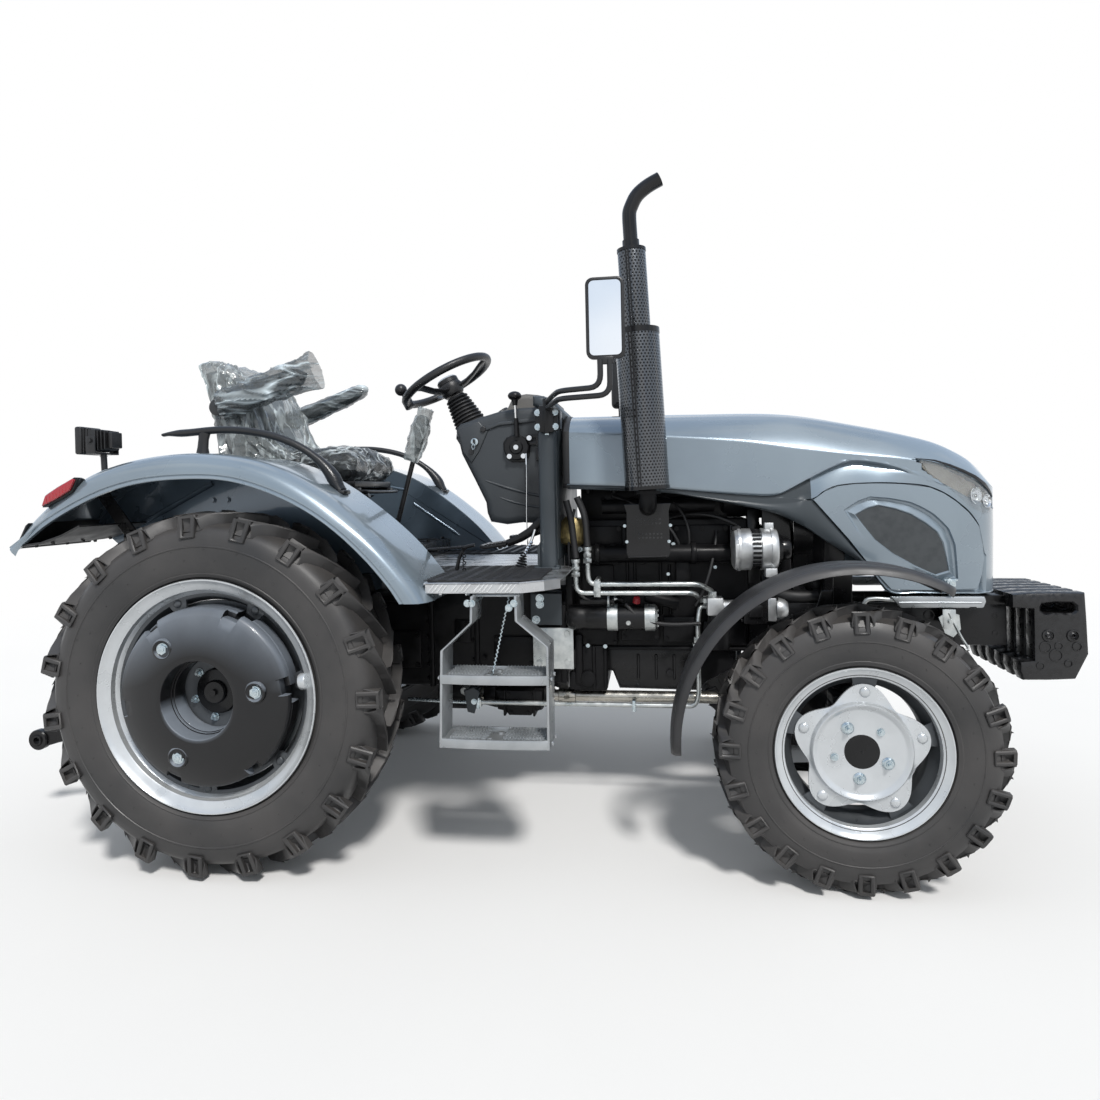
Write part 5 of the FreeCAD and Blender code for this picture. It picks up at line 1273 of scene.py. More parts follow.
strut = [(-0.468, 1.092), (-0.432, 1.11), (-0.338, 0.985), (-0.372, 0.962)]
slab(bm, strut, -0.56, 0.006, 0.001, 1)
block(bm, (-0.47, -0.562, 1.088), (-0.425, -0.53, 1.094), 0.001)
block(bm, (-0.378, -0.566, 0.955), (-0.33, -0.42, 0.975), 0.004)
bolt(bm, (-0.355, -0.561, 0.978), (0, -1, 0), 0.011)
bar(bm, (-0.1, -0.43, 1.02), (-0.1, -0.33, 0.8), 0.016, steps=16)
keep(bm, "rear_fender_struts", "black_metal", mirror=True)

# %% [markdown]
# A front fender is a black plastic arch with rolled edges and a pressed groove that runs round its
# front end. Its skin is a grid bent round the wheel's centre, narrowed towards both ends, and pushed
# in along the groove by the distance from the groove's line.

# %% Front fenders
low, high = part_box("front_tyre_right")
FRONT_HUB_X = (low.x + high.x) / 2 - AXLE_X
FRONT_HUB_Z = (low.z + high.z) / 2
rows = []
for i in range(121):
    t = i / 120
    angle = math.radians(184.0 - 124.0 * t)
    narrow = math.sqrt(max(0.0, 1 - ((0.035 - t) / 0.035) ** 2)) if t < 0.035 else 1.0
    if t > 0.965:
        narrow = math.sqrt(max(0.0, 1 - ((t - 0.965) / 0.036) ** 2))
    half = (0.056 + 0.024 * ease(t, 0.0, 0.3)) * (0.35 + 0.65 * narrow)
    row = []
    for j in range(43):
        s = j / 21 - 1
        y = s * half
        edge = max(0.0, (abs(s) - 0.86) / 0.14)
        radius = 0.49 - 0.01 * s * s - 0.014 * edge ** 2
        ahead = (t - 0.955) * 124 * math.pi / 180 * 0.49
        if t > 0.6:
            near = abs(abs(y) - 0.036) if ahead < -0.036 else abs(math.hypot(y, ahead + 0.036) - 0.036)
            radius -= 0.0042 * math.exp(-(near / 0.0042) ** 2) * ease(t, 0.62, 0.72)
        radius += 0.0022 * math.exp(-((abs(s) - 0.8) / 0.05) ** 2)
        row.append(Vector((FRONT_HUB_X + radius * math.cos(angle), -0.585 + y,
            FRONT_HUB_Z + radius * math.sin(angle))))
    rows.append(row)
skin(bm, rows)
face_outwards(bm, (FRONT_HUB_X, -0.585, FRONT_HUB_Z))
keep_pair(bm, "front_fender_skin", "fender_rubber", "knuckle", replaces=["front_fender"], smooth=34,
    thickness=0.0045)

for x, lift in ((-0.06, 0.0), (0.012, 0.0)):
    spot = Vector((FRONT_HUB_X + x, -0.63, FRONT_HUB_Z + math.sqrt(0.486 ** 2 - x * x)))
    bolt(bm, spot + Vector((0, 0, -0.003)), (0, 0, 1), 0.009)
    bolt(bm, spot + Vector((0, 0.088, -0.002)), (0, 0, 1), 0.009)
keep(bm, "front_fender_bolts_right", "bare_steel", "knuckle_right", material="zinc_bolt")
top = FRONT_HUB_Z + 0.474
stay = [(-0.452, 0.5), (-0.446, 0.5), (-0.446, 0.7), (-0.47, top - 0.004), (-0.64, top - 0.004),
    (-0.64, top - 0.011), (-0.476, top - 0.011), (-0.456, 0.7)]
plate(bm, [Vector((FRONT_HUB_X - 0.026, y, z)) for y, z in stay], (0.052, 0, 0), 0.0015, 1)
block(bm, (FRONT_HUB_X - 0.085, -0.65, top - 0.01), (FRONT_HUB_X + 0.035, -0.61, top - 0.002), 0.002)
block(bm, (FRONT_HUB_X - 0.085, -0.56, top - 0.01), (FRONT_HUB_X + 0.035, -0.52, top - 0.002), 0.002)
side = [(FRONT_HUB_X - 0.055, 0.78), (FRONT_HUB_X - 0.02, 0.78), (FRONT_HUB_X + 0.02, 0.6),
    (FRONT_HUB_X + 0.012, 0.505), (FRONT_HUB_X - 0.03, 0.505), (FRONT_HUB_X - 0.1, 0.64)]
slab(bm, side, -0.455, 0.008, 0.0015, 1)
keep_pair(bm, "front_fender_stay", "black_metal", "knuckle")

# %% [markdown]
# The grab rails on the fenders are one-piece mouldings of oval section. Each is lofted through a few
# ovals that turn with the path: a flattened tail, a flat foot in between, and a broad teardrop foot in
# front.

# %% Grab rails
def oval_sweep(bm, stations, steps=20):
    """Loft through ovals square to a path; each station is (x, y, z, half height, half width)."""
    spots = [Vector(s[:3]) for s in stations]
    rings = []
    for k, (spot, station) in enumerate(zip(spots, stations)):
        way = (spots[min(k + 1, len(spots) - 1)] - spots[max(k - 1, 0)]).normalized()
        side = Vector((0, 1, 0))
        up = way.cross(side).normalized()
        side = up.cross(way).normalized()
        ring = []
        for i in range(steps):
            a = math.tau * i / steps
            ring.append(spot + up * (station[3] * math.sin(a)) + side * (station[4] * math.cos(a)))
        rings.append(ring)
    return loft(bm, rings)


RAIL = [(-0.237, 1.279), (-0.222, 1.2815), (-0.15, 1.284), (-0.06, 1.289), (0.03, 1.284), (0.127, 1.264),
    (0.206, 1.231), (0.262, 1.193), (0.298, 1.155), (0.326, 1.112), (0.338, 1.096)]
path = spread(RAIL, 44)
stations = []
for k, (x, z) in enumerate(path):
    t = k / 43
    thin = 0.45 + 0.55 * ease(t, 0.0, 0.1)
    foot = ease(t, 0.76, 0.96)
    stations.append((x, -0.56, z, (0.0115 + 0.01 * foot * (1 - ease(t, 0.93, 1.0))) * thin,
        (0.014 + 0.01 * foot) * (0.7 + 0.3 * thin)))
oval_sweep(bm, stations)
oval_sweep(bm, [(-0.1, -0.56, 1.288, 0.02, 0.013), (-0.104, -0.56, 1.262, 0.016, 0.012),
    (-0.107, -0.56, 1.236, 0.017, 0.013), (-0.108, -0.56, 1.212, 0.022, 0.017)])
block(bm, (-0.134, -0.582, 1.204), (-0.08, -0.538, 1.214), 0.004)
spot = Vector((0.335, -0.56, 1.098))
block(bm, spot + Vector((-0.03, -0.026, -0.014)), spot + Vector((0.02, 0.026, 0.0)), 0.005)
keep(bm, "grab_rail_mouldings", "rail_plastic", replaces=["grab_rails"], smooth=50, mirror=True)

# %% [markdown]
# Each fender carries a finned work lamp on a stalk, which shines back, and a slanted red lens. The
# lenses sit on dark bases, a little proud, so that a rim shows round them.

# %% Lamps on the fenders
block(bm, (-0.469, -0.65, 1.222), (-0.446, -0.56, 1.306), 0.006, 3)
block(bm, (-0.452, -0.642, 1.23), (-0.405, -0.568, 1.298), 0.004, 2)
for k in range(7):
    x = -0.444 + 0.0105 * k
    shrink = 0.0015 * k
    block(bm, (x, -0.646 + shrink, 1.227 + shrink), (x + 0.0035, -0.564 - shrink, 1.302 - shrink), 0.001, 1)
block(bm, (-0.374, -0.628, 1.24), (-0.36, -0.582, 1.288), 0.003)
block(bm, (-0.425, -0.657, 1.226), (-0.395, -0.652, 1.275), 0.001)
block(bm, (-0.425, -0.558, 1.226), (-0.395, -0.553, 1.275), 0.001)
block(bm, (-0.425, -0.657, 1.222), (-0.395, -0.553, 1.227), 0.001)
for y, way in ((-0.657, -1), (-0.553, 1)):
    bolt(bm, (-0.41, y, 1.262), (0, way, 0), 0.008)
bar(bm, (-0.404, -0.604, 1.128), (-0.408, -0.604, 1.224), 0.009, steps=16)
block(bm, (-0.43, -0.625, 1.146), (-0.375, -0.583, 1.156), 0.002)
bolt(bm, (-0.408, -0.604, 1.218), (0, 0, -1), 0.01)
keep(bm, "work_lamp_housings", "rail_plastic", replaces=["work_lamps"], mirror=True)
block(bm, (-0.4712, -0.643, 1.229), (-0.4665, -0.567, 1.299), 0.0015)
keep(bm, "work_lamp_glasses", "lamp_glass", mirror=True)
for y in (-0.625, -0.605, -0.585):
    for z in (1.245, 1.264, 1.283):
        lathe(bm, [(0.0, -0.0005), (0.0062, -0.0005), (0.008, -0.0035), (0.0, -0.0035)], (-0.4655, y, z),
            axis=(-1, 0, 0), steps=14)
keep(bm, "work_lamp_reflectors", "lamp_glass", material="chrome", mirror=True)

LENS = [(-0.494, 1.068), (-0.482, 1.098), (-0.448, 1.118), (-0.394, 1.146), (-0.388, 1.142),
    (-0.404, 1.112), (-0.44, 1.092)]
grown_lens = [(-0.499, 1.064), (-0.486, 1.101), (-0.45, 1.122), (-0.394, 1.15), (-0.382, 1.145),
    (-0.4, 1.108), (-0.438, 1.087)]
slab(bm, grown_lens, -0.744, 0.03, 0.002, 2)
keep(bm, "tail_lamp_bases", "black_metal", mirror=True)
slab(bm, LENS, -0.753, 0.01, 0.0025, 3)
for k in range(8):
    x = -0.478 + 0.0105 * k
    z = 1.083 + (x + 0.478) * 0.52
    block(bm, (x, -0.754, z - 0.008), (x + 0.0022, -0.752, z + 0.012), 0.0006, 1)
keep(bm, "tail_lamp_lenses", "red_lens", replaces=["tail_lamps"], mirror=True)

# %% [markdown]
# The seat is new and still wrapped. Underneath are vinyl pads, and over them loose clear film. A pad is
# made by blowing up a slightly small block with cloth pressure: its flat faces crown and its corners
# pull in, as on foam under a stretched cover. How far any point may move is capped.

# %% Vinyl pads
from mathutils import noise


VOXEL = 0.006
PRESSURE = 4.0
LAST_FRAME = 20


def puffed(bm, name, replaces, cap):
    """Blows the shape up with cloth pressure and keeps it as a padded piece on the chassis."""
    bmesh.ops.translate(bm, verts=bm.verts, vec=(AXLE_X, 0, 0))
    bmesh.ops.recalc_face_normals(bm, faces=bm.faces)
    data = bpy.data.meshes.new(name)
    bm.to_mesh(data)
    bm.clear()
    obj = bpy.data.objects.new(name, data)
    scene.collection.objects.link(obj)
    even = obj.modifiers.new("even", "REMESH")
    even.mode = "VOXEL"
    even.voxel_size = VOXEL
    bpy.context.view_layer.update()
    base = bpy.data.meshes.new_from_object(obj.evaluated_get(bpy.context.evaluated_depsgraph_get()))
    obj.modifiers.clear()
    obj.data = base
    start = [v.co.copy() for v in base.vertices]
    cloth = obj.modifiers.new("cloth", "CLOTH")
    cloth.settings.use_pressure = True
    cloth.settings.uniform_pressure_force = PRESSURE
    cloth.settings.effector_weights.gravity = 0.0
    cloth.settings.quality = 4
    cloth.point_cache.frame_start = 1
    cloth.point_cache.frame_end = LAST_FRAME
    for step in range(1, LAST_FRAME + 1):
        scene.frame_set(step)
    shape = bpy.data.meshes.new_from_object(obj.evaluated_get(bpy.context.evaluated_depsgraph_get()))
    obj.modifiers.clear()
    obj.data = shape
    scene.frame_set(1)
    for v, before in zip(obj.data.vertices, start):
        move = v.co - before
        if move.length > cap:
            v.co = before + move.normalized() * cap
    obj.data.materials.clear()
    obj.data.materials.append(FINISH["seat_vinyl"])
    for face in obj.data.polygons:
        face.use_smooth = True
    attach(obj, "chassis")
    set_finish(obj, "seat_vinyl")
    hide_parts(*replaces)
    total["triangles"] += 2 * len(obj.data.polygons)
    print(name, len(obj.data.polygons), "faces")
    return obj


def press(obj, lines, deep, reach):
    """Presses sewn channels into a pad; each line is (axis, place, lowest z)."""
    for v in obj.data.vertices:
        for axis, place, floor_z in lines:
            if v.co.z > floor_z:
                away = v.co[axis] - place - (AXLE_X if axis == 0 else 0)
                sink = deep * math.exp(-(away / reach) ** 2)
                v.co -= v.normal * sink


seat_side = [(-0.205, 1.146), (0.215, 1.146), (0.243, 1.18), (0.238, 1.212), (0.205, 1.232), (-0.16, 1.208),
    (-0.205, 1.208)]
slab(bm, seat_side, -0.205, 0.41, 0.012, 2)
cushion = puffed(bm, "seat_cushion_pad", ["seat_cushion"], 0.024)
press(cushion, [(1, -0.13, 1.19), (1, 0.13, 1.19), (0, 0.02, 1.2)], 0.007, 0.01)
back_side = [(-0.18, 1.16), (-0.152, 1.235), (-0.176, 1.33), (-0.24, 1.5), (-0.282, 1.542), (-0.328, 1.536),
    (-0.336, 1.51), (-0.262, 1.3), (-0.238, 1.16)]
slab(bm, back_side, -0.2, 0.4, 0.012, 2)
back = puffed(bm, "seat_back_pad", ["seat_back"], 0.022)
press(back, [(1, -0.12, 1.24), (1, 0.12, 1.24), (2, 1.43, 1.24)], 0.007, 0.01)


def rest_stations(foot, tip, y, thick, wide, count=14):
    """Ovals along an armrest, rounded off at its ends."""
    stations = []
    for i in range(count):
        t = i / (count - 1)
        round_off = math.sqrt(max(0.0, 1 - abs(2 * t - 1) ** 7))
        round_off = max(round_off, 0.12)
        taper = 1.06 - 0.3 * t
        stations.append((foot[0] + (tip[0] - foot[0]) * t, y, foot[1] + (tip[1] - foot[1]) * t,
            thick * taper * round_off, wide * round_off))
    return stations


ARM_NEAR = ((-0.228, 1.404), (0.09, 1.5))
ARM_FAR = ((-0.262, 1.372), (0.095, 1.508))
oval_sweep(bm, rest_stations(*ARM_NEAR, -0.252, 0.043, 0.032), steps=28)
oval_sweep(bm, rest_stations(*ARM_FAR, 0.252, 0.034, 0.028), steps=28)
bar(bm, (-0.232, -0.276, 1.396), (-0.232, -0.205, 1.396), 0.03, steps=28, bevel=0.004)
bar(bm, (-0.27, 0.205, 1.372), (-0.27, 0.276, 1.372), 0.03, steps=28, bevel=0.004)
rests = keep(bm, "armrest_pads", "seat_vinyl", replaces=["armrests"], smooth=60)

# %% [markdown]
# The film is its own finish: half see-through, milky where it is creased, and shiny. Its creases also take
# a lighter colour than the flat film, partly the milky film and partly a painted highlight. A crease is
# where a stretched noise crosses its middle, so the creases are long thin lines that branch and meet. The
# mesh itself is also pushed in and out along ridges, which gives the film its broken highlights.

# %% Film
def film(name, clear_part, milky_part, tint, shade, scale, stretch):
    """Clear plastic film whose opacity follows its creases, which run along one direction."""
    tree, shader = new_finish(name, {"Roughness": 0.16, "Coat Weight": 0.7, "Coat Roughness": 0.08})
    where = wire(tree, "TexCoord").outputs["Object"]
    lay = wire(tree, "Mapping", {"Rotation": (0, math.radians(stretch[0]), 0), "Scale": stretch[1:],
        "Vector": where})
    layers = []
    for size, width, weight in ((scale, 0.03, 1.0), (scale * 2.3, 0.045, 0.45)):
        grain = wire(tree, "TexNoise", {"Scale": size, "Detail": 2.0, "Distortion": 0.6, "Vector": lay})
        away = wire(tree, "Math", {1: 0.5, 0: grain}, operation="SUBTRACT")
        off_middle = wire(tree, "Math", {0: away}, operation="ABSOLUTE")
        layers.append(wire(tree, "MapRange", {"From Max": width, "To Min": weight, "To Max": 0.0,
            "Value": off_middle}))
    creases = wire(tree, "Math", {0: layers[0], 1: layers[1]}, operation="MAXIMUM")
    edge = wire(tree, "LayerWeight", {"Blend": 0.22}).outputs["Facing"]
    veil = wire(tree, "Math", {1: 0.45, 0: edge, 2: creases}, operation="MULTIPLY_ADD", use_clamp=True)
    opacity = wire(tree, "MapRange", {"To Min": clear_part, "To Max": milky_part, "Value": veil})
    # Creases take the light tint and the flat film a darker one: the milky creases are real, and the light
    # tint also paints the film's highlights.
    tone = ramp(tree, creases, (0.0, [c * shade for c in tint]), (1.0, tint))
    relief = wire(tree, "Bump", {"Strength": 0.8, "Distance": 0.004, "Height": creases})
    feed(tree, shader, {"Alpha": opacity, "Base Color": tone, "Normal": relief})


film("film_tight", 0.32, 0.92, (0.68, 0.75, 0.78), 0.16, 6.0, (0, 0.5, 0.9, 1.3))
film("film_loose", 0.6, 0.96, (0.72, 0.8, 0.82), 0.32, 5.0, (-22, 1.5, 1.2, 0.35))
film("film_sleeve", 0.56, 0.95, (0.68, 0.78, 0.83), 0.17, 5.5, (-22, 0.35, 1.2, 1.6))


def crumple(bm, deep, size, along=(1, 1, 1), seed=0.0):
    """Pushes a fine mesh in and out in sharp-crested folds."""
    bm.normal_update()
    moved = []
    for v in bm.verts:
        p = Vector([v.co[k] * along[k] / size + seed for k in range(3)])
        bend = Vector((noise.noise(p * 0.7), noise.noise(p * 0.7 + Vector((9, 4, 1))), 0)) * 0.9
        ridge = 1 - 2 * abs(noise.noise(p + bend))
        facet = 1 - 2 * abs(noise.noise((p + bend) * 2.1))
        swell = 0.5 * noise.noise(p * 0.5)
        moved.append(v.normal * deep * (0.8 * ridge * ridge + 0.45 * facet + swell - 0.4))
    for v, move in zip(bm.verts, moved):
        v.co += move


def open_ends(bm):
    """Leaves a sleeve open at both of its ends."""
    bmesh.ops.delete(bm, geom=[f for f in bm.faces if len(f.verts) > 8], context="FACES_ONLY")


def wrap_pad(pad, name, gap, deep, size, material, seed):
    """Film over a pad: its own mesh moved outwards and crumpled, and open underneath."""
    bm = bmesh.new()
    bm.from_mesh(pad.data)
    bmesh.ops.translate(bm, verts=bm.verts, vec=(-AXLE_X, 0, 0))
    bm.normal_update()
    for v in bm.verts:
        v.co += v.normal * gap
    floor_z = min(v.co.z for v in bm.verts) + 0.012
    under = [f for f in bm.faces if f.normal.z < -0.6 and f.calc_center_median().z < floor_z]
    bmesh.ops.delete(bm, geom=under, context="FACES")
    crumple(bm, deep, size, seed=seed)
    return keep(bm, name, "seat_vinyl", material=material, smooth=26)


cushion_film = wrap_pad(cushion, "seat_cushion_film", 0.003, 0.009, 0.06, "film_tight", 3.0)

# %% [markdown]
# On the backrest the film is a loose bag. It stands off the pad, hangs forward under the armrests and
# ends in a ragged hem. It is lofted through level rings of one number of points, with upright folds
# added to each ring before the crumpling. The armrests' sleeves are ovals like the pads, a little
# larger, and the near one runs on past its pad into an open mouth.

# %% Film bags
# Each level of the bag has z, rear x, front x, half width and the strength of the folds.
bag_levels = [(1.205, -0.292, 0.04, 0.234, 1), (1.24, -0.29, -0.025, 0.232, 1),
    (1.28, -0.292, -0.078, 0.23, 1), (1.33, -0.298, -0.096, 0.228, 0.9), (1.38, -0.308, -0.112, 0.226, 0.8),
    (1.43, -0.32, -0.134, 0.224, 0.7), (1.48, -0.336, -0.166, 0.22, 0.5),
    (1.52, -0.352, -0.206, 0.214, 0.4), (1.548, -0.362, -0.242, 0.205, 0.3),
    (1.566, -0.36, -0.262, 0.19, 0.3), (1.573, -0.346, -0.28, 0.15, 0.2),]
rings = []
for i in range(56):
    z = 1.205 + (1.573 - 1.205) * i / 55
    rear, ahead = (follow([(b[0], b[k]) for b in bag_levels], z) for k in (1, 2))
    half, folds = (follow([(b[0], b[k]) for b in bag_levels], z) for k in (3, 4))
    ring = []
    for j in range(150):
        a = math.tau * j / 150
        c, s = math.cos(a), math.sin(a)
        box_c = math.copysign(abs(c) ** 0.55, c)
        box_s = math.copysign(abs(s) ** 0.45, s)
        fold = 0.0075 * folds * (math.sin(19 * a + 1.3 * math.sin(3 * a)) + 0.6 * math.sin(31 * a + z * 9))
        x = (rear + ahead) / 2 + ((ahead - rear) / 2 + fold) * box_c
        ring.append(Vector((x, (half + fold * 0.8) * box_s, z + 0.012 * math.sin(7 * a) * (1 - i / 55))))
    rings.append(ring)
loft(bm, rings, caps=False)
bmesh.ops.holes_fill(bm, edges=[e for e in bm.edges if e.is_boundary and e.verts[0].co.z > 1.54], sides=0)
crumple(bm, 0.013, 0.05, along=(1.0, 1.0, 0.28), seed=7.0)
bag = keep(bm, "seat_back_film", "seat_vinyl", material="film_loose", smooth=24)

sleeve = []
for i in range(64):
    t = i / 63
    x = -0.24 + (0.124 + 0.24) * t
    z = 1.402 + 0.305 * (x + 0.24)
    fat = 0.051 + 0.012 * ease(t, 0.78, 1.0)
    end = 0.35 + 0.65 * ease(t, 0.0, 0.05)
    sleeve.append((x, -0.252, z, fat * end, (0.039 + 0.006 * ease(t, 0.8, 1.0)) * end))
oval_sweep(bm, sleeve, steps=64)
open_ends(bm)
crumple(bm, 0.011, 0.04, along=(0.35, 1, 1.3), seed=11.0)
near = keep(bm, "armrest_film_right", "seat_vinyl", material="film_sleeve", smooth=22)
oval_sweep(bm, rest_stations((-0.268, 1.37), (0.112, 1.514), 0.252, 0.039, 0.033, count=48), steps=56)
open_ends(bm)
crumple(bm, 0.006, 0.04, along=(0.35, 1, 1.3), seed=15.0)
far = keep(bm, "armrest_film_left", "seat_vinyl", material="film_sleeve", smooth=24)

# %% [markdown]
# Under the pads is a sprung suspension: a plate on the deck, crossed legs, an upper frame with slide
# rails, and a rubber skirt. Its front lever is visible under the cushion.

# %% Seat suspension
block(bm, (-0.2, -0.19, 0.892), (0.2, 0.19, 0.906), 0.003)
block(bm, (-0.27, -0.185, 1.108), (0.225, 0.185, 1.132), 0.005)
for y in (-0.165, 0.165):
    block(bm, (-0.285, y - 0.016, 1.086), (0.235, y + 0.016, 1.108), 0.003)
    leg = [(-0.165, 0.915), (-0.135, 0.915), (0.165, 1.08), (0.135, 1.08)]
    slab(bm, leg, y - 0.005, 0.01, 0.001, 1)
    leg = [(0.165, 0.915), (0.135, 0.915), (-0.165, 1.08), (-0.135, 1.08)]
    slab(bm, leg, y + 0.007, 0.008, 0.001, 1)
    bolt(bm, (0.0, math.copysign(0.178, y), 0.998), (0, math.copysign(1, y), 0), 0.011)
tube(bm, [(0.15, -0.19, 1.098), (0.255, -0.19, 1.094), (0.265, -0.06, 1.092), (0.265, 0.06, 1.092),
    (0.255, 0.19, 1.094), (0.15, 0.19, 1.098)], 0.006, bend=0.04)
tube(bm, [(0.12, -0.16, 1.075), (0.225, -0.205, 1.062), (0.255, -0.205, 1.068)], 0.005, bend=0.03)
oval_sweep(bm, [(0.235, -0.205, 1.063, 0.008, 0.01), (0.262, -0.205, 1.072, 0.011, 0.014),
    (0.285, -0.205, 1.08, 0.008, 0.012)])
keep(bm, "seat_suspension", "black_metal", replaces=["seat_base"])
rings = []
for k in range(15):
    z = 0.908 + 0.178 * k / 14
    out = 0.01 if k % 2 else 0.0
    corners = ((0.15 + out, 0.135 + out), (-0.145 - out, 0.135 + out), (-0.145 - out, -0.135 - out),
        (0.15 + out, -0.135 - out))
    ring = []
    for (x0, y0), (x1, y1) in zip(corners, corners[1:] + corners[:1]):
        for s in (0.04, 0.35, 0.65, 0.96):
            ring.append(Vector((x0 + (x1 - x0) * s, y0 + (y1 - y0) * s, z)))
    rings.append(ring)
loft(bm, rings)
keep(bm, "seat_bellows", "black_metal", material="boot_rubber", smooth=20)

# %% [markdown]
# The dashboard is a soft-edged pod. Its side outline is repeated at a few distances from the centre
# plane and drawn in near the ends, which rounds it over like a moulding. The lid on top, the corner
# panel with the key switch, the shelf and the two swage lines are separate pieces on it.

# %% Dashboard
def drawn_in(outline, by):
    """Flat outline with every point moved inwards."""
    count = len(outline)
    area = sum(a[0] * b[1] - b[0] * a[1] for a, b in zip(outline, outline[1:] + outline[:1]))
    hand = 1 if area > 0 else -1
    moved = []
    for k, (x, z) in enumerate(outline):
        a, b = outline[k - 1], outline[(k + 1) % count]
        n0 = Vector((-(z - a[1]), x - a[0])).normalized() * hand
        n1 = Vector((-(b[1] - z), b[0] - x)).normalized() * hand
        way = (n0 + n1).normalized()
        reach = by / max(way.dot(n0), 0.5)
        moved.append((x + way.x * reach, z + way.y * reach))
    return moved


def pod(bm, outline, half, soft, centre_y=0.0):
    """Rounded moulding: side outline across the machine, drawn in at both ends."""
    rings = []
    for y, by in ((-1.0, soft), (-0.985, soft * 0.45), (-0.95, soft * 0.12), (-0.88, 0.0)):
        rings.append(side_view(drawn_in(outline, by), centre_y + y * half))
    rings += [[Vector((p.x, 2 * centre_y - p.y, p.z)) for p in ring] for ring in rings[::-1]]
    return loft(bm, rings)


def blocks(bm, rows, bevel=0.002):
    """Several boxes; each row is two corners in millimetres."""
    for x0, y0, z0, x1, y1, z1 in rows:
        block(bm, (x0 / 1000, y0 / 1000, z0 / 1000), (x1 / 1000, y1 / 1000, z1 / 1000), bevel)


BODY = [(0.583, 1.303), (0.6, 1.321), (0.64, 1.332), (0.681, 1.344), (0.741, 1.36), (0.8, 1.368),
    (0.87, 1.37), (0.93, 1.366), (0.938, 1.34), (0.938, 0.99), (0.925, 0.97), (0.86, 0.972), (0.812, 0.976),
    (0.757, 0.97), (0.7, 0.98), (0.688, 1.01), (0.684, 1.047), (0.646, 1.127), (0.602, 1.216)]
LID = [(0.69, 1.322), (0.762, 1.372), (0.777, 1.402), (0.797, 1.415), (0.83, 1.419), (0.87, 1.414),
    (0.905, 1.404), (0.93, 1.39), (0.936, 1.36), (0.936, 1.3), (0.7, 1.3)]
pod(bm, BODY, 0.164, 0.026)
shelf = [(0.69, 1.306), (0.74, 1.322), (0.936, 1.336), (0.936, 1.322), (0.74, 1.308), (0.692, 1.292)]
slab(bm, shelf, -0.172, 0.344, 0.004, 2)
key_panel = [(0.596, 1.292), (0.617, 1.309), (0.668, 1.328), (0.7, 1.29), (0.668, 1.222), (0.64, 1.182),
    (0.61, 1.22)]
slab(bm, key_panel, -0.169, 0.01, 0.005, 3)
tube(bm, [(0.686, -0.159, 1.122), (0.765, -0.163, 1.094), (0.86, -0.163, 1.068), (0.936, -0.162, 1.06)],
    0.0055, bend=0.05)
tube(bm, [(0.692, -0.157, 1.084), (0.764, -0.162, 1.05), (0.857, -0.163, 1.028), (0.936, -0.162, 1.022)],
    0.0045, bend=0.05)
keep(bm, "dashboard_pod", "console_plastic", replaces=["dashboard"], smooth=44)
pod(bm, LID, 0.138, 0.02)
keep(bm, "instrument_lid", "console_plastic", material="instrument_tan", smooth=44)
tilt_back = Vector((-0.62, 0, 0.785)).normalized()
for y, radius in ((-0.052, 0.038), (0.052, 0.038), (0.0, 0.016)):
    lathe(bm, [(0.0, 0.004), (radius * 0.9, 0.004), (radius * 0.92, 0.009), (radius, 0.01),
        (radius * 1.05, 0.006), (radius * 1.05, -0.004), (0.0, -0.004)], (0.722, y, 1.352), axis=tilt_back,
        steps=32)
bar(bm, (0.655, -0.168, 1.255), (0.655, -0.18, 1.255), 0.013, steps=20, bevel=0.002)
block(bm, (0.652, -0.196, 1.246), (0.658, -0.178, 1.264), 0.002)
bar(bm, (0.64, -0.168, 1.222), (0.64, -0.176, 1.222), 0.009, steps=16)
bar(bm, (0.684, -0.166, 1.298), (0.684, -0.176, 1.298), 0.01, steps=16, bevel=0.002)
for k, y in enumerate((-0.11, -0.082, 0.082, 0.11)):
    block(bm, (0.6 + 0.003 * (k % 2), y - 0.01, 1.285), (0.612, y + 0.01, 1.314), 0.003)
keep(bm, "dashboard_gauges", "console_plastic", material="rail_plastic", smooth=40)
lathe(bm, [(0.0, 0.001), (0.009, 0.001), (0.0125, 0.0), (0.0125, -0.004), (0.0, -0.004)],
    (0.655, -0.182, 1.255), axis=(0, -1, 0), steps=24)
tube(bm, [(0.655, -0.196, 1.25), (0.661, -0.199, 1.236), (0.653, -0.199, 1.226), (0.648, -0.197, 1.24),
    (0.655, -0.196, 1.25)], 0.0012, steps=2, bend=0.004)
keep(bm, "key_and_ring", "console_plastic", material="zinc_bolt")

# %% [markdown]
# Everything on the steering column is turned about its tilted axis: the ribbed boot is a zigzag profile
# spun round it, and so are the hub and its silver cap. The wheel's rim is a torus made by spinning a
# circle. The spokes are flat ovals that dip from the rim down to the hub.

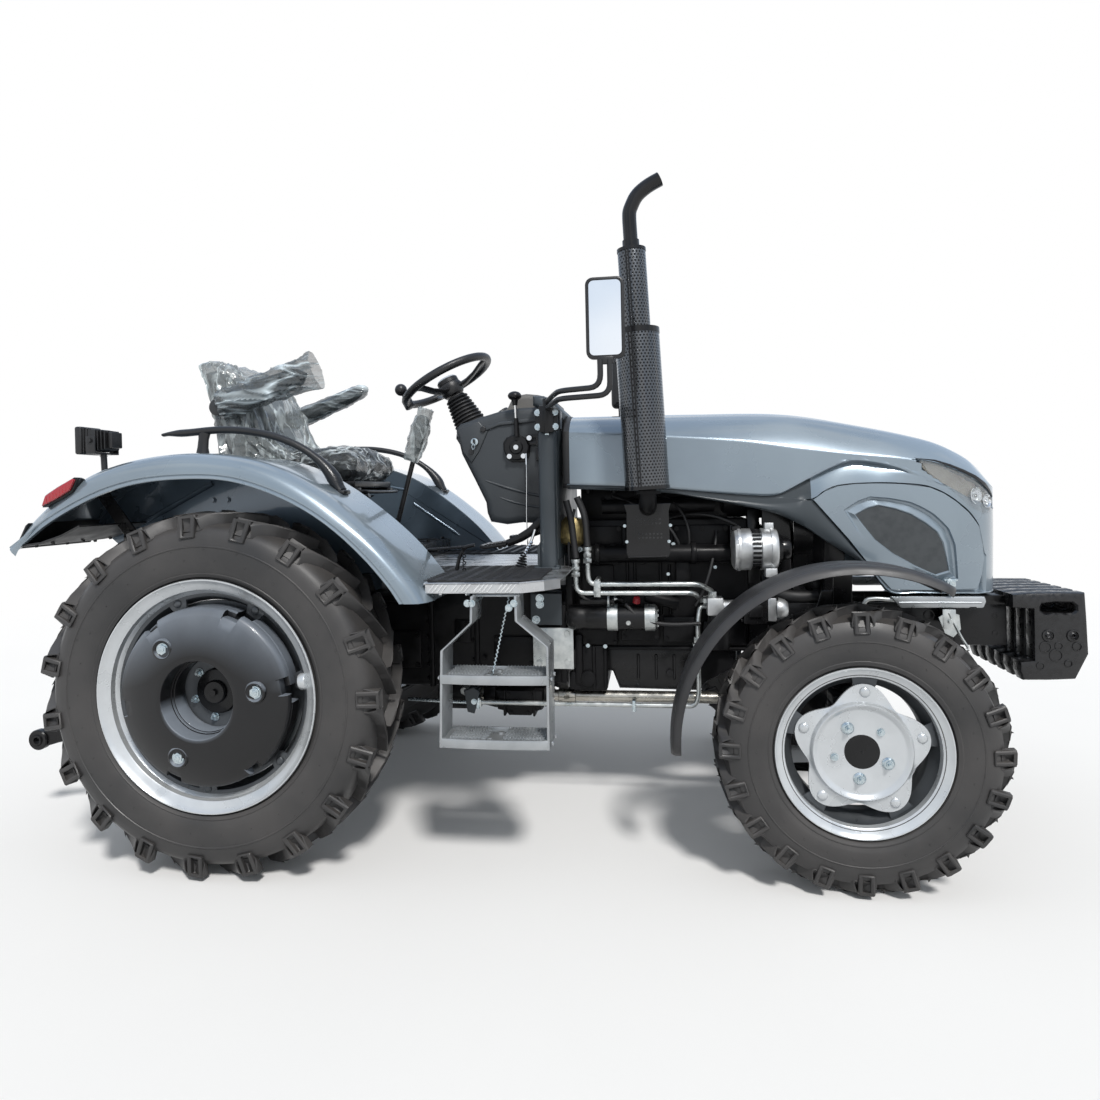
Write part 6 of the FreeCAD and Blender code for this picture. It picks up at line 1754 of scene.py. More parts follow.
# %% Steering wheel and column
TILT = math.radians(28.0)
AXIS = Vector((-math.sin(TILT), 0, math.cos(TILT)))
WHEEL = Vector((0.514, 0, 1.494))
boot = [(0.012, -0.195)]
for k in range(9):
    d = -0.192 + 0.0135 * k
    wide = 0.06 - 0.0022 * k
    boot += [(wide - 0.007, d), (wide, d + 0.004), (wide, d + 0.0075), (wide - 0.007, d + 0.0115)]
boot += [(0.034, -0.068), (0.012, -0.066)]
lathe(bm, boot, WHEEL, axis=AXIS, steps=48)
lathe(bm, [(0.012, -0.245), (0.07, -0.24), (0.072, -0.205), (0.062, -0.19), (0.012, -0.19)], WHEEL,
    axis=AXIS, steps=48)
keep(bm, "column_boot", "boot_rubber", replaces=["steering_column"], smooth=30)
lathe(bm, [(0.0, -0.02), (0.034, -0.02), (0.04, -0.014), (0.04, 0.0), (0.036, 0.004), (0.0, 0.004)], WHEEL,
    axis=AXIS, steps=40)
lathe(bm, [(0.013, -0.062), (0.036, -0.06), (0.042, -0.05), (0.044, -0.026), (0.04, -0.016),
    (0.013, -0.016)], WHEEL, axis=AXIS, steps=40)
turned_rim = [(0.168 + 0.0145 * math.cos(math.tau * k / 16),
    0.0145 * math.sin(math.tau * k / 16)) for k in range(16)]
lathe(bm, turned_rim, WHEEL, axis=AXIS, steps=96)
across = AXIS.cross(Vector((0, 1, 0)))
for angle in (30, 150, 270):
    a = math.radians(angle)
    out = Vector((0, 1, 0)) * math.cos(a) + across * math.sin(a)
    side = AXIS.cross(out)
    rings = []
    for r, drop, wide, thick in ((0.028, -0.04, 0.027, 0.01), (0.06, -0.038, 0.022, 0.008),
            (0.1, -0.026, 0.017, 0.0065), (0.135, -0.01, 0.017, 0.0065), (0.166, -0.001, 0.024, 0.008)):
        middle = WHEEL + out * r + AXIS * drop
        rings.append([middle + side * wide * math.cos(a) + AXIS * thick * math.sin(a) for a in turns(16)])
    loft(bm, rings)
knob = WHEEL + across * 0.168
bar(bm, knob, knob + AXIS * 0.05, 0.008, steps=16)
ball(bm, knob + AXIS * 0.06, 0.0225, steps=24)
bar(bm, knob - AXIS * 0.018, knob + AXIS * 0.02, 0.019, steps=20, bevel=0.003)
keep(bm, "steering_wheel_grip", "grip_plastic", "steering_wheel", replaces=["steering_wheel"], smooth=40)
lathe(bm, [(0.0, 0.0095), (0.02, 0.0085), (0.033, 0.006), (0.0375, 0.002), (0.0375, -0.002), (0.0, -0.002)],
    WHEEL + AXIS * 0.002, axis=AXIS, steps=40)
keep(bm, "steering_wheel_cap", "grip_plastic", "steering_wheel", material="rim_silver", smooth=40)

# %% [markdown]
# Two tall posts stand in front of the doors' place, left from the cab version of the machine. They are
# rounded slate-painted tubes, drawn in the darker grey of the mouldings as painted shade, and carry the
# bulkhead, a black clamp for the mirror and the lid's front slope. Behind the throttle's disc, a bright
# cable runs down to the floor.

# %% Posts and bulkhead
post = []
for k in range(14):
    a = math.tau * (k + 0.5) / 14
    post.append((0.925 + 0.0275 * math.copysign(abs(math.cos(a)) ** 0.75, math.cos(a)),
        -0.327 + 0.025 * math.copysign(abs(math.sin(a)) ** 0.75, math.sin(a))))
rings = [[Vector((x + lean, y, z)) for x, y in post] for z, lean in ((0.834, 0), (1.245, 0),
    (1.262, 0.001))]
rings.append([Vector((0.925 + (x - 0.925) * 0.82, -0.327 + (y + 0.327) * 0.82, 1.272)) for x, y in post])
loft(bm, rings)
blocks(bm, [(880, -356, 834, 960, -300, 842)], 0.002)
slab(bm, [(0.888, 0.842), (0.888, 0.905), (0.9, 0.925), (0.9, 0.842)], -0.332, 0.008, 0.001, 1)
for x in (0.888, 0.952):
    bolt(bm, (x, -0.345, 0.842), (0, 0, 1), 0.008)
# The posts take the darker moulding grey, which paints the shade on their slate paint.
keep(bm, "cab_posts", "slate_paint", material="moulding_grey", replaces=["cowl_frame"], smooth=32,
    mirror=True)
blocks(bm, [(942, -308, 862, 953, 308, 1322), (954, -86, 1320, 990, -75, 1336),
    (954, 75, 1320, 990, 86, 1336), (902, -90, 802, 944, -62, 868), (902, 62, 802, 944, 90, 868)], 0.003)
bar(bm, (0.986, -0.082, 1.33), (0.986, 0.082, 1.33), 0.004, steps=12)
lid_slope = [(0.868, 1.398), (0.905, 1.396), (0.944, 1.372), (0.972, 1.336), (0.968, 1.318), (0.942, 1.318),
    (0.9, 1.35), (0.868, 1.366)]
rings = [side_view(drawn_in(lid_slope, by), y) for y, by in ((-0.252, 0.012), (-0.246, 0.004), (-0.23, 0.0),
    (0.23, 0.0), (0.246, 0.004), (0.252, 0.012))]
loft(bm, rings)
keep(bm, "bulkhead_and_slope", "slate_paint", material="moulding_grey", smooth=40)
blocks(bm, [(894, -360, 1270, 966, -352, 1342), (907, -366, 1266, 953, -346, 1350),
    (903, -346, 1272, 948, -308, 1340), (966, -352, 1276, 972, -300, 1336)], 0.003)
bar(bm, (0.93, -0.356, 1.262), (0.93, -0.356, 1.372), 0.0125, steps=20, bevel=0.002)
keep(bm, "mirror_clamps", "slate_paint", material="black_metal", mirror=True)
for x, z in ((0.902, 1.328), (0.957, 1.328), (0.902, 1.283), (0.957, 1.283)):
    bolt(bm, (x, -0.36, z), (0, -1, 0), 0.0095, length=0.012)
bolt(bm, (0.93, -0.356, 1.264), (0, 0, -1), 0.008)
for y in (-0.3, -0.1, 0.1):
    bolt(bm, (0.941, y, 1.2), (-1, 0, 0), 0.008)
keep(bm, "mirror_clamp_bolts", "slate_paint", material="zinc_bolt", mirror=True)

# %% [markdown]
# The hand throttle is a disc on a bracket with a chromed stalk and a black knob. The gear lever has a
# fat grip, still in its wrapper, and a rubber gaiter at its foot. Pedals hang from curved arms; a small
# chain lever and a ribbed gaiter with a bright rod sit on the floor at the right.

# %% Levers and pedals
disc_at = Vector((0.8, -0.178, 1.232))
lathe(bm, [(0.0, -0.012), (0.02, -0.012), (0.024, -0.008), (0.04, -0.008), (0.044, -0.004), (0.044, 0.006),
    (0.0, 0.006)], disc_at, axis=(0, 1, 0), steps=40)
slab(bm, [(0.752, 1.25), (0.762, 1.196), (0.782, 1.182), (0.822, 1.182), (0.842, 1.2), (0.848, 1.25),
    (0.838, 1.268), (0.765, 1.268)], -0.172, 0.01, 0.003)
blocks(bm, [(835, -182, 1262, 905, -170, 1274), (846, -184, 1238, 880, -166, 1252),
    (868, -186, 1236, 880, -168, 1276), (866, -180, 1184, 934, -166, 1226)], 0.003)
bar(bm, (0.8045, -0.19, 1.268), (0.8035, -0.193, 1.33), 0.0095, tip=0.0075, steps=16)
ball(bm, (0.801, -0.2, 1.404), 0.0185, squash=(1.25, 1.25, 0.85), steps=24)
bar(bm, (0.802, -0.199, 1.372), (0.801, -0.2, 1.392), 0.008, tip=0.012, steps=16)
oval_sweep(bm, [(0.34, -0.15, 0.893, 0.05, 0.042), (0.342, -0.15, 0.9, 0.048, 0.04),
    (0.345, -0.15, 0.918, 0.03, 0.028), (0.35, -0.15, 0.94, 0.022, 0.02),
    (0.356, -0.15, 0.958, 0.014, 0.014)])
bar(bm, (0.343, -0.15, 0.9), (0.434, -0.15, 1.222), 0.0085, steps=16)
keep(bm, "lever_bodies", "black_metal", replaces=["levers"], smooth=40)
oval_sweep(bm, [(0.43, -0.15, 1.214, 0.012, 0.012), (0.436, -0.15, 1.236, 0.017, 0.016),
    (0.447, -0.15, 1.278, 0.021, 0.02), (0.458, -0.15, 1.318, 0.026, 0.024),
    (0.465, -0.15, 1.342, 0.024, 0.022), (0.469, -0.15, 1.354, 0.012, 0.012)], steps=24)
keep(bm, "gear_knob", "black_metal", material="grip_plastic", smooth=60)
wrap = []
for i in range(44):
    t = i / 43
    wrap.append((0.42 + 0.058 * t, -0.15, 1.196 + 0.182 * t, (0.024 + 0.01 * math.sin(math.pi * min(t * 1.1,
        1))) * (1.0 if i < 43 else 0.6), 0.024 + 0.006 * math.sin(math.pi * t)))
oval_sweep(bm, wrap, steps=44)
open_ends(bm)
crumple(bm, 0.006, 0.032, along=(1, 1, 0.6), seed=21.0)
sleeve = keep(bm, "gear_knob_film", "black_metal", material="film_loose", smooth=24)
bar(bm, (0.8035, -0.193, 1.318), (0.802, -0.199, 1.376), 0.0048, steps=14)
for x, z in ((0.8, 1.232), (0.776, 1.202), (0.824, 1.202), (0.846, 1.262)):
    bolt(bm, (x, -0.186 if z < 1.23 else -0.191, z), (0, -1, 0), 0.0075)
tube(bm, [(0.834, -0.184, 1.204), (0.836, -0.196, 1.12), (0.838, -0.23, 0.99), (0.846, -0.262, 0.905)],
    0.0018, steps=2, bend=0.08)
bar(bm, (0.834, -0.184, 1.21), (0.835, -0.188, 1.172), 0.004, steps=12)
tube(bm, [(0.88, -0.318, 0.96), (0.868, -0.318, 0.925), (0.838, -0.318, 0.872)], 0.0045, bend=0.02)
for k in range(7):
    at = Vector((0.8655 - 0.005 * k, -0.318, 0.918 - 0.0085 * k))
    ball(bm, at, 0.0068, steps=8)
keep(bm, "lever_brightwork", "black_metal", material="chrome", smooth=40)

for y in (-0.215, -0.29, 0.225):
    oval_sweep(bm, [(0.938, y, 1.012, 0.014, 0.009), (0.9, y, 0.99, 0.014, 0.008),
        (0.86, y, 0.952, 0.014, 0.008), (0.815, y, 0.926, 0.013, 0.008), (0.782, y, 0.914, 0.012, 0.008)],
        steps=14)
    pad = [(0.697, 0.902), (0.712, 0.897), (0.784, 0.908), (0.786, 0.918), (0.716, 0.9085), (0.699, 0.912)]
    slab(bm, pad, y - 0.034, 0.068, 0.002)
    for k in range(6):
        x = 0.713 + 0.0125 * k
        z = 0.909 + 0.137 * (x - 0.716)
        block(bm, (x, y - 0.03, z - 0.002), (x + 0.005, y + 0.03, z + 0.004), 0.001, 1)
    bar(bm, (0.76, y - 0.012, 0.902), (0.76, y + 0.012, 0.902), 0.006, steps=12)
for k in range(6):
    wide = 0.021 - 0.0022 * k
    at = Vector((0.832 + 0.002 * k, -0.318, 0.842 + 0.0085 * k))
    lathe(bm, [(0.004, -0.003), (wide - 0.004, -0.003), (wide, 0.0), (wide - 0.004, 0.003), (0.004, 0.003)],
        at, axis=(0.25, 0, 1), steps=20)
tube(bm, [(0.64, -0.4, 0.836), (0.652, -0.4, 0.885), (0.668, -0.4, 0.912), (0.7, -0.4, 0.917)], 0.006,
    bend=0.02)
tube(bm, [(0.556, -0.4, 0.903), (0.61, -0.4, 0.908), (0.668, -0.4, 0.912)], 0.0045, bend=0.02)
oval_sweep(bm, [(0.54, -0.4, 0.9015, 0.004, 0.004), (0.556, -0.4, 0.903, 0.007, 0.008),
    (0.582, -0.4, 0.905, 0.006, 0.007)], steps=14)
for k in range(7):
    at = Vector((0.668 - 0.003 * (k % 2), -0.408, 0.905 - 0.0105 * k))
    lathe(bm, [(0.0035, -0.0012), (0.0062, -0.0012), (0.0062, 0.0012), (0.0035, 0.0012)], at,
        axis=(k % 2, 1 - k % 2, 0.3), steps=12)
keep(bm, "pedals_and_gaiters", "black_metal", replaces=["pedals"], smooth=40)

# %% [markdown]
# The engine is a dark mass of castings, and only its near side shows. Block, head and valve cover are
# bevelled boxes, and on them go the things that catch the light: side covers with bolts, the pushrod
# tunnel, a fuel pump with its lines, filters, a flywheel housing with ribs, and the fan and belts.

# %% Engine side
blocks(bm, [(960, -150, 552, 1560, 150, 980), (960, -158, 541, 1560, 158, 554),
    (1010, -120, 975, 1500, 120, 1090), (1040, -80, 1085, 1470, 80, 1150),
    (1010, -162, 870, 1150, -146, 960), (1320, -162, 850, 1500, -146, 960),
    (985, -170, 560, 1130, -148, 640), (1140, -172, 575, 1270, -148, 742),
    (1280, -166, 570, 1400, -146, 655), (1410, -160, 560, 1550, -146, 640),
    (1325, -182, 752, 1372, -148, 842), (1010, -158, 690, 1120, -146, 830),
    (960, -200, 640, 984, -150, 800), (962, 150, 560, 984, 190, 800), (1080, -130, 1084, 1460, 130, 1096),
    (1180, -72, 1146, 1300, -30, 1156)], 0.006)
for x in (1.16, 1.185, 1.27, 1.3):
    block(bm, (x, -0.158, 0.66), (x + 0.01, -0.146, 0.97), 0.003, 1)
for x in (1.035, 1.125, 1.215, 1.305, 1.395, 1.485):
    bar(bm, (x, -0.128, 1.07), (x, -0.128, 1.102), 0.013, steps=14, bevel=0.002)
    bar(bm, (x, -0.15, 0.845), (x, -0.166, 0.845), 0.017, steps=20, bevel=0.003)
bar(bm, (1.03, -0.19, 0.868), (1.5, -0.19, 0.868), 0.029, steps=24, bevel=0.006)
bar(bm, (1.375, -0.19, 0.868), (1.392, -0.19, 0.868), 0.035, steps=24, bevel=0.003)
bar(bm, (1.06, -0.19, 0.868), (1.077, -0.19, 0.868), 0.035, steps=24, bevel=0.003)
for x in (1.03, 1.12):
    block(bm, (x - 0.01, -0.186, 0.84), (x + 0.01, -0.148, 0.9), 0.003)
bar(bm, (1.455, -0.205, 0.64), (1.455, -0.205, 0.56), 0.038, steps=28, bevel=0.006)
bar(bm, (1.455, -0.205, 0.668), (1.455, -0.205, 0.64), 0.03, tip=0.034, steps=24, bevel=0.004)
bar(bm, (1.225, -0.19, 0.73), (1.33, -0.19, 0.7), 0.02, steps=20, bevel=0.003)
lathe(bm, [(0.03, -0.01), (0.1, -0.01), (0.105, 0.0), (0.1, 0.012), (0.03, 0.012)], (1.602, 0.0, 0.7),
    axis=(1, 0, 0), steps=48)
lathe(bm, [(0.012, -0.008), (0.052, -0.012), (0.045, 0.0), (0.052, 0.012), (0.012, 0.008)],
    (1.612, 0.0, 0.9), axis=(1, 0, 0), steps=40)
lathe(bm, [(0.012, -0.008), (0.06, -0.012), (0.053, 0.0), (0.06, 0.012), (0.012, 0.008)], (1.612, 0.0, 0.7),
    axis=(1, 0, 0), steps=40)
bar(bm, (1.555, 0.0, 0.9), (1.7, 0.0, 0.9), 0.022, steps=20)
bar(bm, (1.555, 0.0, 0.7), (1.63, 0.0, 0.7), 0.03, steps=20)
for a in turns(6):
    turn = Matrix.Rotation(a, 4, "X")
    blade = block(bm, (1.69, -0.032, 0.055), (1.694, 0.032, 0.17), 0.002, 1)
    bmesh.ops.rotate(bm, verts=blade, cent=(1.692, 0, 0), matrix=Matrix.Rotation(0.5, 3, "Z"))
    bmesh.ops.transform(bm, verts=blade, matrix=Matrix.Translation((0, 0, 0.9)) @ turn)
keep(bm, "engine_covers_and_fan", "black_iron", replaces=["engine"], smooth=36)

lathe(bm, [(0.0, 1.48), (0.062, 1.48), (0.068, 1.488), (0.068, 1.6), (0.074, 1.604), (0.074, 1.616),
    (0.068, 1.62), (0.068, 1.69), (0.06, 1.7), (0.0, 1.7)], (0, -0.08, 1.05), axis=(1, 0, 0), steps=40)
tube(bm, [(1.5, -0.08, 1.05), (1.43, -0.06, 1.09), (1.38, -0.03, 1.15)], 0.03, steps=6, bend=0.03)
blocks(bm, [(1560, -150, 760, 1600, -110, 1010), (1600, -205, 800, 1690, -190, 1090)], 0.006)
keep(bm, "air_cleaner_and_duct", "black_metal", smooth=36)

for x, z in ((1.018, 0.88), (1.018, 0.95), (1.14, 0.88), (1.14, 0.95), (1.33, 0.862), (1.33, 0.948),
        (1.415, 0.948), (1.49, 0.862), (1.49, 0.948)):
    bolt(bm, (x, -0.162, z), (0, -1, 0), 0.0075)
for x, z in ((0.995, 0.57), (1.12, 0.57), (1.15, 0.59), (1.15, 0.728), (1.258, 0.59), (1.258, 0.728),
        (1.29, 0.582), (1.388, 0.582), (1.388, 0.642)):
    bolt(bm, (x, -0.171, z), (0, -1, 0), 0.0065)
keep(bm, "engine_cover_bolts", "black_iron", smooth=30)
for x, z, size in ((1.014, 0.962, 0.0075), (1.01, 0.884, 0.008), (1.318, 0.898, 0.006),
        (1.452, 0.822, 0.005), (1.3, 0.8, 0.005), (1.088, 0.56, 0.006), (1.03, 0.562, 0.006)):
    bolt(bm, (x, -0.188, z), (0, -1, 0), size)
keep(bm, "engine_bright_bolts", "black_iron", material="zinc_bolt")
loop = []
for a in turns(48):
    low = math.sin(a) < 0
    loop.append(Vector((1.612, 0.052 * math.cos(a) * (1.12 if low else 1.0),
        (0.7 if low else 0.9) + 0.056 * math.sin(a))))
tube(bm, loop + [loop[0]], 0.0065, steps=2, bend=0.004)
for start, mid, end in (((1.34, -0.166, 0.84), (1.36, -0.24, 0.98), (1.12, -0.145, 1.06)),
        ((1.36, -0.166, 0.84), (1.4, -0.23, 0.99), (1.29, -0.145, 1.06)),
        ((1.46, -0.165, 0.94), (1.44, -0.26, 0.8), (1.385, -0.215, 0.7)),
        ((1.02, -0.17, 0.94), (1.0, -0.24, 1.0), (0.975, -0.22, 0.82)),
        ((1.0, -0.24, 1.02), (0.975, -0.27, 0.93), (0.98, -0.235, 0.84)),
        ((1.3, -0.14, 0.98), (1.42, -0.19, 1.02), (1.52, -0.215, 0.96))):
    points = []
    a, b, c = Vector(start), Vector(mid), Vector(end)
    for k in range(9):
        t = k / 8
        points.append(a * (1 - t) ** 2 + b * 2 * t * (1 - t) + c * t * t)
    tube(bm, points, 0.0048, steps=2, bend=0.006)
tube(bm, [(0.975, -0.262, 1.05), (0.99, -0.262, 0.99), (1.003, -0.262, 0.862)], 0.011, steps=3, bend=0.05)
tube(bm, [(1.01, -0.258, 1.06), (1.036, -0.262, 1.0), (1.041, -0.262, 0.9)], 0.011, steps=3, bend=0.05)
keep(bm, "engine_hoses_and_belt", "black_iron", material="boot_rubber", smooth=50)
lathe(bm, [(0.0, -0.044), (0.03, -0.044), (0.044, -0.03), (0.046, 0.02), (0.036, 0.044), (0.0, 0.046)],
    (0.99, -0.215, 0.945), axis=(0.2, 0.2, 1), steps=32)
keep(bm, "engine_filter_bowl", "black_iron", material="brass_tan", smooth=40)

pan = [(1.0, 0.543), (1.0, 0.47), (1.108, 0.462), (1.13, 0.404), (1.395, 0.4), (1.424, 0.43), (1.52, 0.48),
    (1.52, 0.543)]
rings = [side_view(drawn_in(pan, by), y) for y, by in ((-0.13, 0.014), (-0.127, 0.005), (-0.118, 0.0),
    (0.118, 0.0), (0.127, 0.005), (0.13, 0.014))]
loft(bm, rings)
for k in range(10):
    x = 1.03 + 0.05 * k
    for y in (-0.124, 0.124):
        bolt(bm, (x, y, 0.54), (0, 0, -1), 0.005)
bolt(bm, (1.3, -0.128, 0.462), (0, -1, 0), 0.014)
for x in (1.19, 1.25, 1.31, 1.37):
    block(bm, (x, -0.134, 0.438), (x + 0.01, -0.122, 0.524), 0.003, 1)
keep(bm, "oil_pan_pressing", "black_metal", replaces=["oil_pan"], smooth=36)

# %% [markdown]
# The starter motor is a black drum with a silver end bell and a solenoid on top, the alternator a silver
# drum with a dark ring of vent slots and a black cap. Both are turned profiles about a fore-and-aft
# axis, with their slots, terminals and bolts set round in loops.

# %% Starter and alternator
lathe(bm, [(0.0, 0.962), (0.026, 0.963), (0.038, 0.972), (0.0435, 0.99), (0.044, 1.008), (0.0415, 1.02),
    (0.041, 1.034), (0.0425, 1.038), (0.0425, 1.1), (0.0, 1.1)], (0, -0.202, 0.66), axis=(1, 0, 0),
    steps=48)
lathe(bm, [(0.0, 1.133), (0.0425, 1.133), (0.0425, 1.222), (0.0, 1.222)], (0, -0.202, 0.66), axis=(1, 0, 0),
    steps=48)
lathe(bm, [(0.0, 1.01), (0.0195, 1.01), (0.0195, 1.1), (0.015, 1.106), (0.015, 1.122), (0.0, 1.122)],
    (0, -0.202, 0.714), axis=(1, 0, 0), steps=32)
blocks(bm, [(1036, -216, 682, 1080, -190, 708), (962, -226, 640, 990, -176, 682)], 0.003)
keep(bm, "starter_body", "black_metal", replaces=["starter_motor"], smooth=40)
lathe(bm, [(0.0, 1.099), (0.045, 1.099), (0.045, 1.133), (0.0, 1.133)], (0, -0.202, 0.66), axis=(1, 0, 0),
    steps=48)
lathe(bm, [(0.0, 1.221), (0.044, 1.221), (0.044, 1.254), (0.036, 1.262), (0.0, 1.263)], (0, -0.202, 0.66),
    axis=(1, 0, 0), steps=48)
bolt(bm, (1.168, -0.244, 0.648), (0, -1, -0.2), 0.007)
lathe(bm, [(0.0, 1.1), (0.0205, 1.1), (0.0205, 1.106), (0.0, 1.106)], (0, -0.202, 0.714), axis=(1, 0, 0),
    steps=32)
for y, z in ((-0.212, 0.722), (-0.192, 0.722)):
    bolt(bm, (1.122, y, z), (1, 0, 0), 0.0065, length=0.012)
for degrees in (40, 160, 280):
    a = math.radians(degrees)
    bolt(bm, (1.262, -0.202 + 0.03 * math.cos(a), 0.66 + 0.03 * math.sin(a)), (1, 0, 0), 0.005)
keep(bm, "starter_bands", "black_metal", material="galvanised", smooth=40)

ALT = Vector((0, -0.245, 0.884))
lathe(bm, [(0.0, 1.5), (0.05, 1.5), (0.062, 1.506), (0.066, 1.516), (0.066, 1.556), (0.06, 1.558),
    (0.06, 1.586), (0.066, 1.588), (0.066, 1.628), (0.06, 1.638), (0.03, 1.642), (0.0, 1.642)], ALT,
    axis=(1, 0, 0), steps=56)
for x in (1.52, 1.62):
    lathe(bm, [(0.06, x - 0.004), (0.0685, x - 0.004), (0.0685, x + 0.004), (0.06, x + 0.004)], ALT,
        axis=(1, 0, 0), steps=56)
blocks(bm, [(1504, -318, 862, 1518, -300, 906), (1600, -262, 944, 1628, -228, 968),
    (1520, -232, 866, 1550, -150, 902), (1596, -300, 800, 1632, -262, 828)], 0.003)
for a in (25, 115, 205, 295):
    spot = ALT + Vector((1.512, 0.056 * math.cos(math.radians(a)), 0.056 * math.sin(math.radians(a))))
    bolt(bm, spot, (-1, 0, 0), 0.006)
keep(bm, "alternator_case", "bare_aluminium", replaces=["alternator"], smooth=36)
for a in turns(26):
    turn = Matrix.Translation(ALT) @ Matrix.Rotation(a, 4, "X")
    slot = block(bm, (1.559, -0.004, 0.0585), (1.585, 0.004, 0.064), 0.0008, 1)
    bmesh.ops.transform(bm, verts=slot, matrix=turn)
lathe(bm, [(0.0, 1.642), (0.036, 1.642), (0.0365, 1.65), (0.0365, 1.672), (0.032, 1.679), (0.0, 1.679)],
    ALT, axis=(1, 0, 0), steps=40)
lathe(bm, [(0.02, 1.628), (0.05, 1.628), (0.054, 1.64), (0.044, 1.652), (0.02, 1.652)], ALT, axis=(1, 0, 0),
    steps=40)
blocks(bm, [(1500, -262, 944, 1528, -232, 958), (1500, -200, 906, 1530, -172, 960)], 0.003)
keep(bm, "alternator_slots_and_cap", "bare_aluminium", material="black_metal", smooth=36)

# %% [markdown]
# The hydraulic gear pump is bolted to the engine's side: silver end covers round a black valve block.
# Bent zinc pipes lead back from it, with hexagon unions, a clamp, and hoses above. A red cap on a
# terminal is the one bright spot of colour here.

# %% Pump and pipes
blocks(bm, [(1422, -226, 668, 1474, -152, 726), (1474, -190, 670, 1532, -152, 706),
    (1612, -217, 649, 1640, -163, 725)], 0.005)
bar(bm, (1.474, -0.192, 0.692), (1.534, -0.192, 0.692), 0.024, steps=24, bevel=0.003)
lathe(bm, [(0.0, 1.64), (0.034, 1.64), (0.036, 1.648), (0.03, 1.668), (0.022, 1.677), (0.0, 1.678)],
    (0, -0.19, 0.687), axis=(1, 0, 0), steps=32)
keep(bm, "pump_castings", "bare_aluminium", replaces=["hydraulic_pump"], smooth=36)
blocks(bm, [(1536, -223, 641, 1610, -160, 733), (1552, -232, 664, 1594, -222, 704)], 0.005)
for z in (0.652, 0.722):
    bar(bm, (1.528, -0.208, z), (1.645, -0.208, z), 0.006, steps=10)
keep(bm, "pump_valve_block", "bare_aluminium", material="black_metal", smooth=36)

PIPE_Y = -0.262
tube(bm, [(1.041, PIPE_Y, 0.85), (1.043, PIPE_Y, 0.776), (1.395, PIPE_Y, 0.776), (1.44, -0.2, 0.745),
    (1.44, -0.2, 0.722)], 0.008, steps=4, bend=0.028)
tube(bm, [(1.002, PIPE_Y, 0.812), (1.003, PIPE_Y, 0.748), (1.38, PIPE_Y, 0.748), (1.404, -0.178, 0.712),
    (1.424, -0.178, 0.712)], 0.008, steps=4, bend=0.028)
tube(bm, [(0.602, -0.182, 0.398), (0.64, -0.19, 0.366), (1.378, -0.19, 0.366), (1.392, -0.19, 0.4),
    (1.392, -0.186, 0.64), (1.4, -0.172, 0.69), (1.424, -0.166, 0.69)], 0.008, steps=4, bend=0.024)
for x, low, high in ((1.041, 0.846, 0.898), (1.002, 0.802, 0.858)):
    bar(bm, (x, PIPE_Y, low), (x, PIPE_Y, high), 0.0105, steps=16)
    bar(bm, (x, PIPE_Y, low), (x, PIPE_Y, low + 0.014), 0.015, steps=6, bevel=0.001)
    bar(bm, (x, PIPE_Y, low + 0.018), (x, PIPE_Y, low + 0.032), 0.0135, steps=6, bevel=0.001)
    bar(bm, (x, PIPE_Y, high - 0.012), (x, PIPE_Y, high), 0.0145, steps=20, bevel=0.001)
bar(bm, (0.605, -0.12, 0.41), (0.6, -0.184, 0.4), 0.0145, steps=6, bevel=0.001)
blocks(bm, [(1060, -273, 736, 1082, -250, 788), (1062, -250, 780, 1078, -152, 790)], 0.002)
bolt(bm, (1.071, -0.273, 0.762), (0, -1, 0), 0.0085)
for x, y, z, way in ((1.44, -0.2, 0.726, (0, 0, 1)), (1.412, -0.178, 0.712, (1, 0, 0)),
        (1.392, -0.188, 0.575, (0, 0, 1))):
    way = Vector(way)
    bar(bm, (x, y, z), Vector((x, y, z)) + way * 0.018, 0.0145, steps=6, bevel=0.001)
blocks(bm, [(1376, -202, 560, 1408, -150, 572), (640, -202, 352, 664, -176, 378)], 0.002)
keep(bm, "hydraulic_pipework", "galvanised", replaces=["hydraulic_pipes"], smooth=36)
lathe(bm, [(0.0, 0.01), (0.008, 0.009), (0.011, 0.004), (0.0125, -0.01), (0.007, -0.014), (0.0, -0.014)],
    (1.196, -0.23, 0.722), axis=(0.1, -0.5, 1), steps=24)
keep(bm, "terminal_cap", "black_iron", material="red_cap", smooth=50)
tube(bm, [(1.16, -0.228, 0.708), (1.19, -0.236, 0.672), (1.245, -0.24, 0.648), (1.31, -0.232, 0.64),
    (1.4, -0.205, 0.64)], 0.0065, steps=3, bend=0.04)
tube(bm, [(1.13, -0.206, 0.722), (1.15, -0.225, 0.718)], 0.005, steps=3)
tube(bm, [(1.06, -0.216, 0.712), (1.02, -0.232, 0.728), (0.985, -0.215, 0.77)], 0.005, steps=3, bend=0.02)
keep(bm, "starter_cables", "black_iron", material="boot_rubber", smooth=50)

# %% [markdown]
# The exhaust leaves the head through a cast manifold, passes behind a flat shield with two rows of holes,
# and climbs to the stack. The stack is a silencer inside a perforated guard. Its holes are far too many to
# cut, so they are drawn by the material: two staggered rows repeat round the drum, read from the piece's
# own unwrapped coordinates, and each is a near-black spot with a pressed edge, which paints the shade seen
# through the hole.

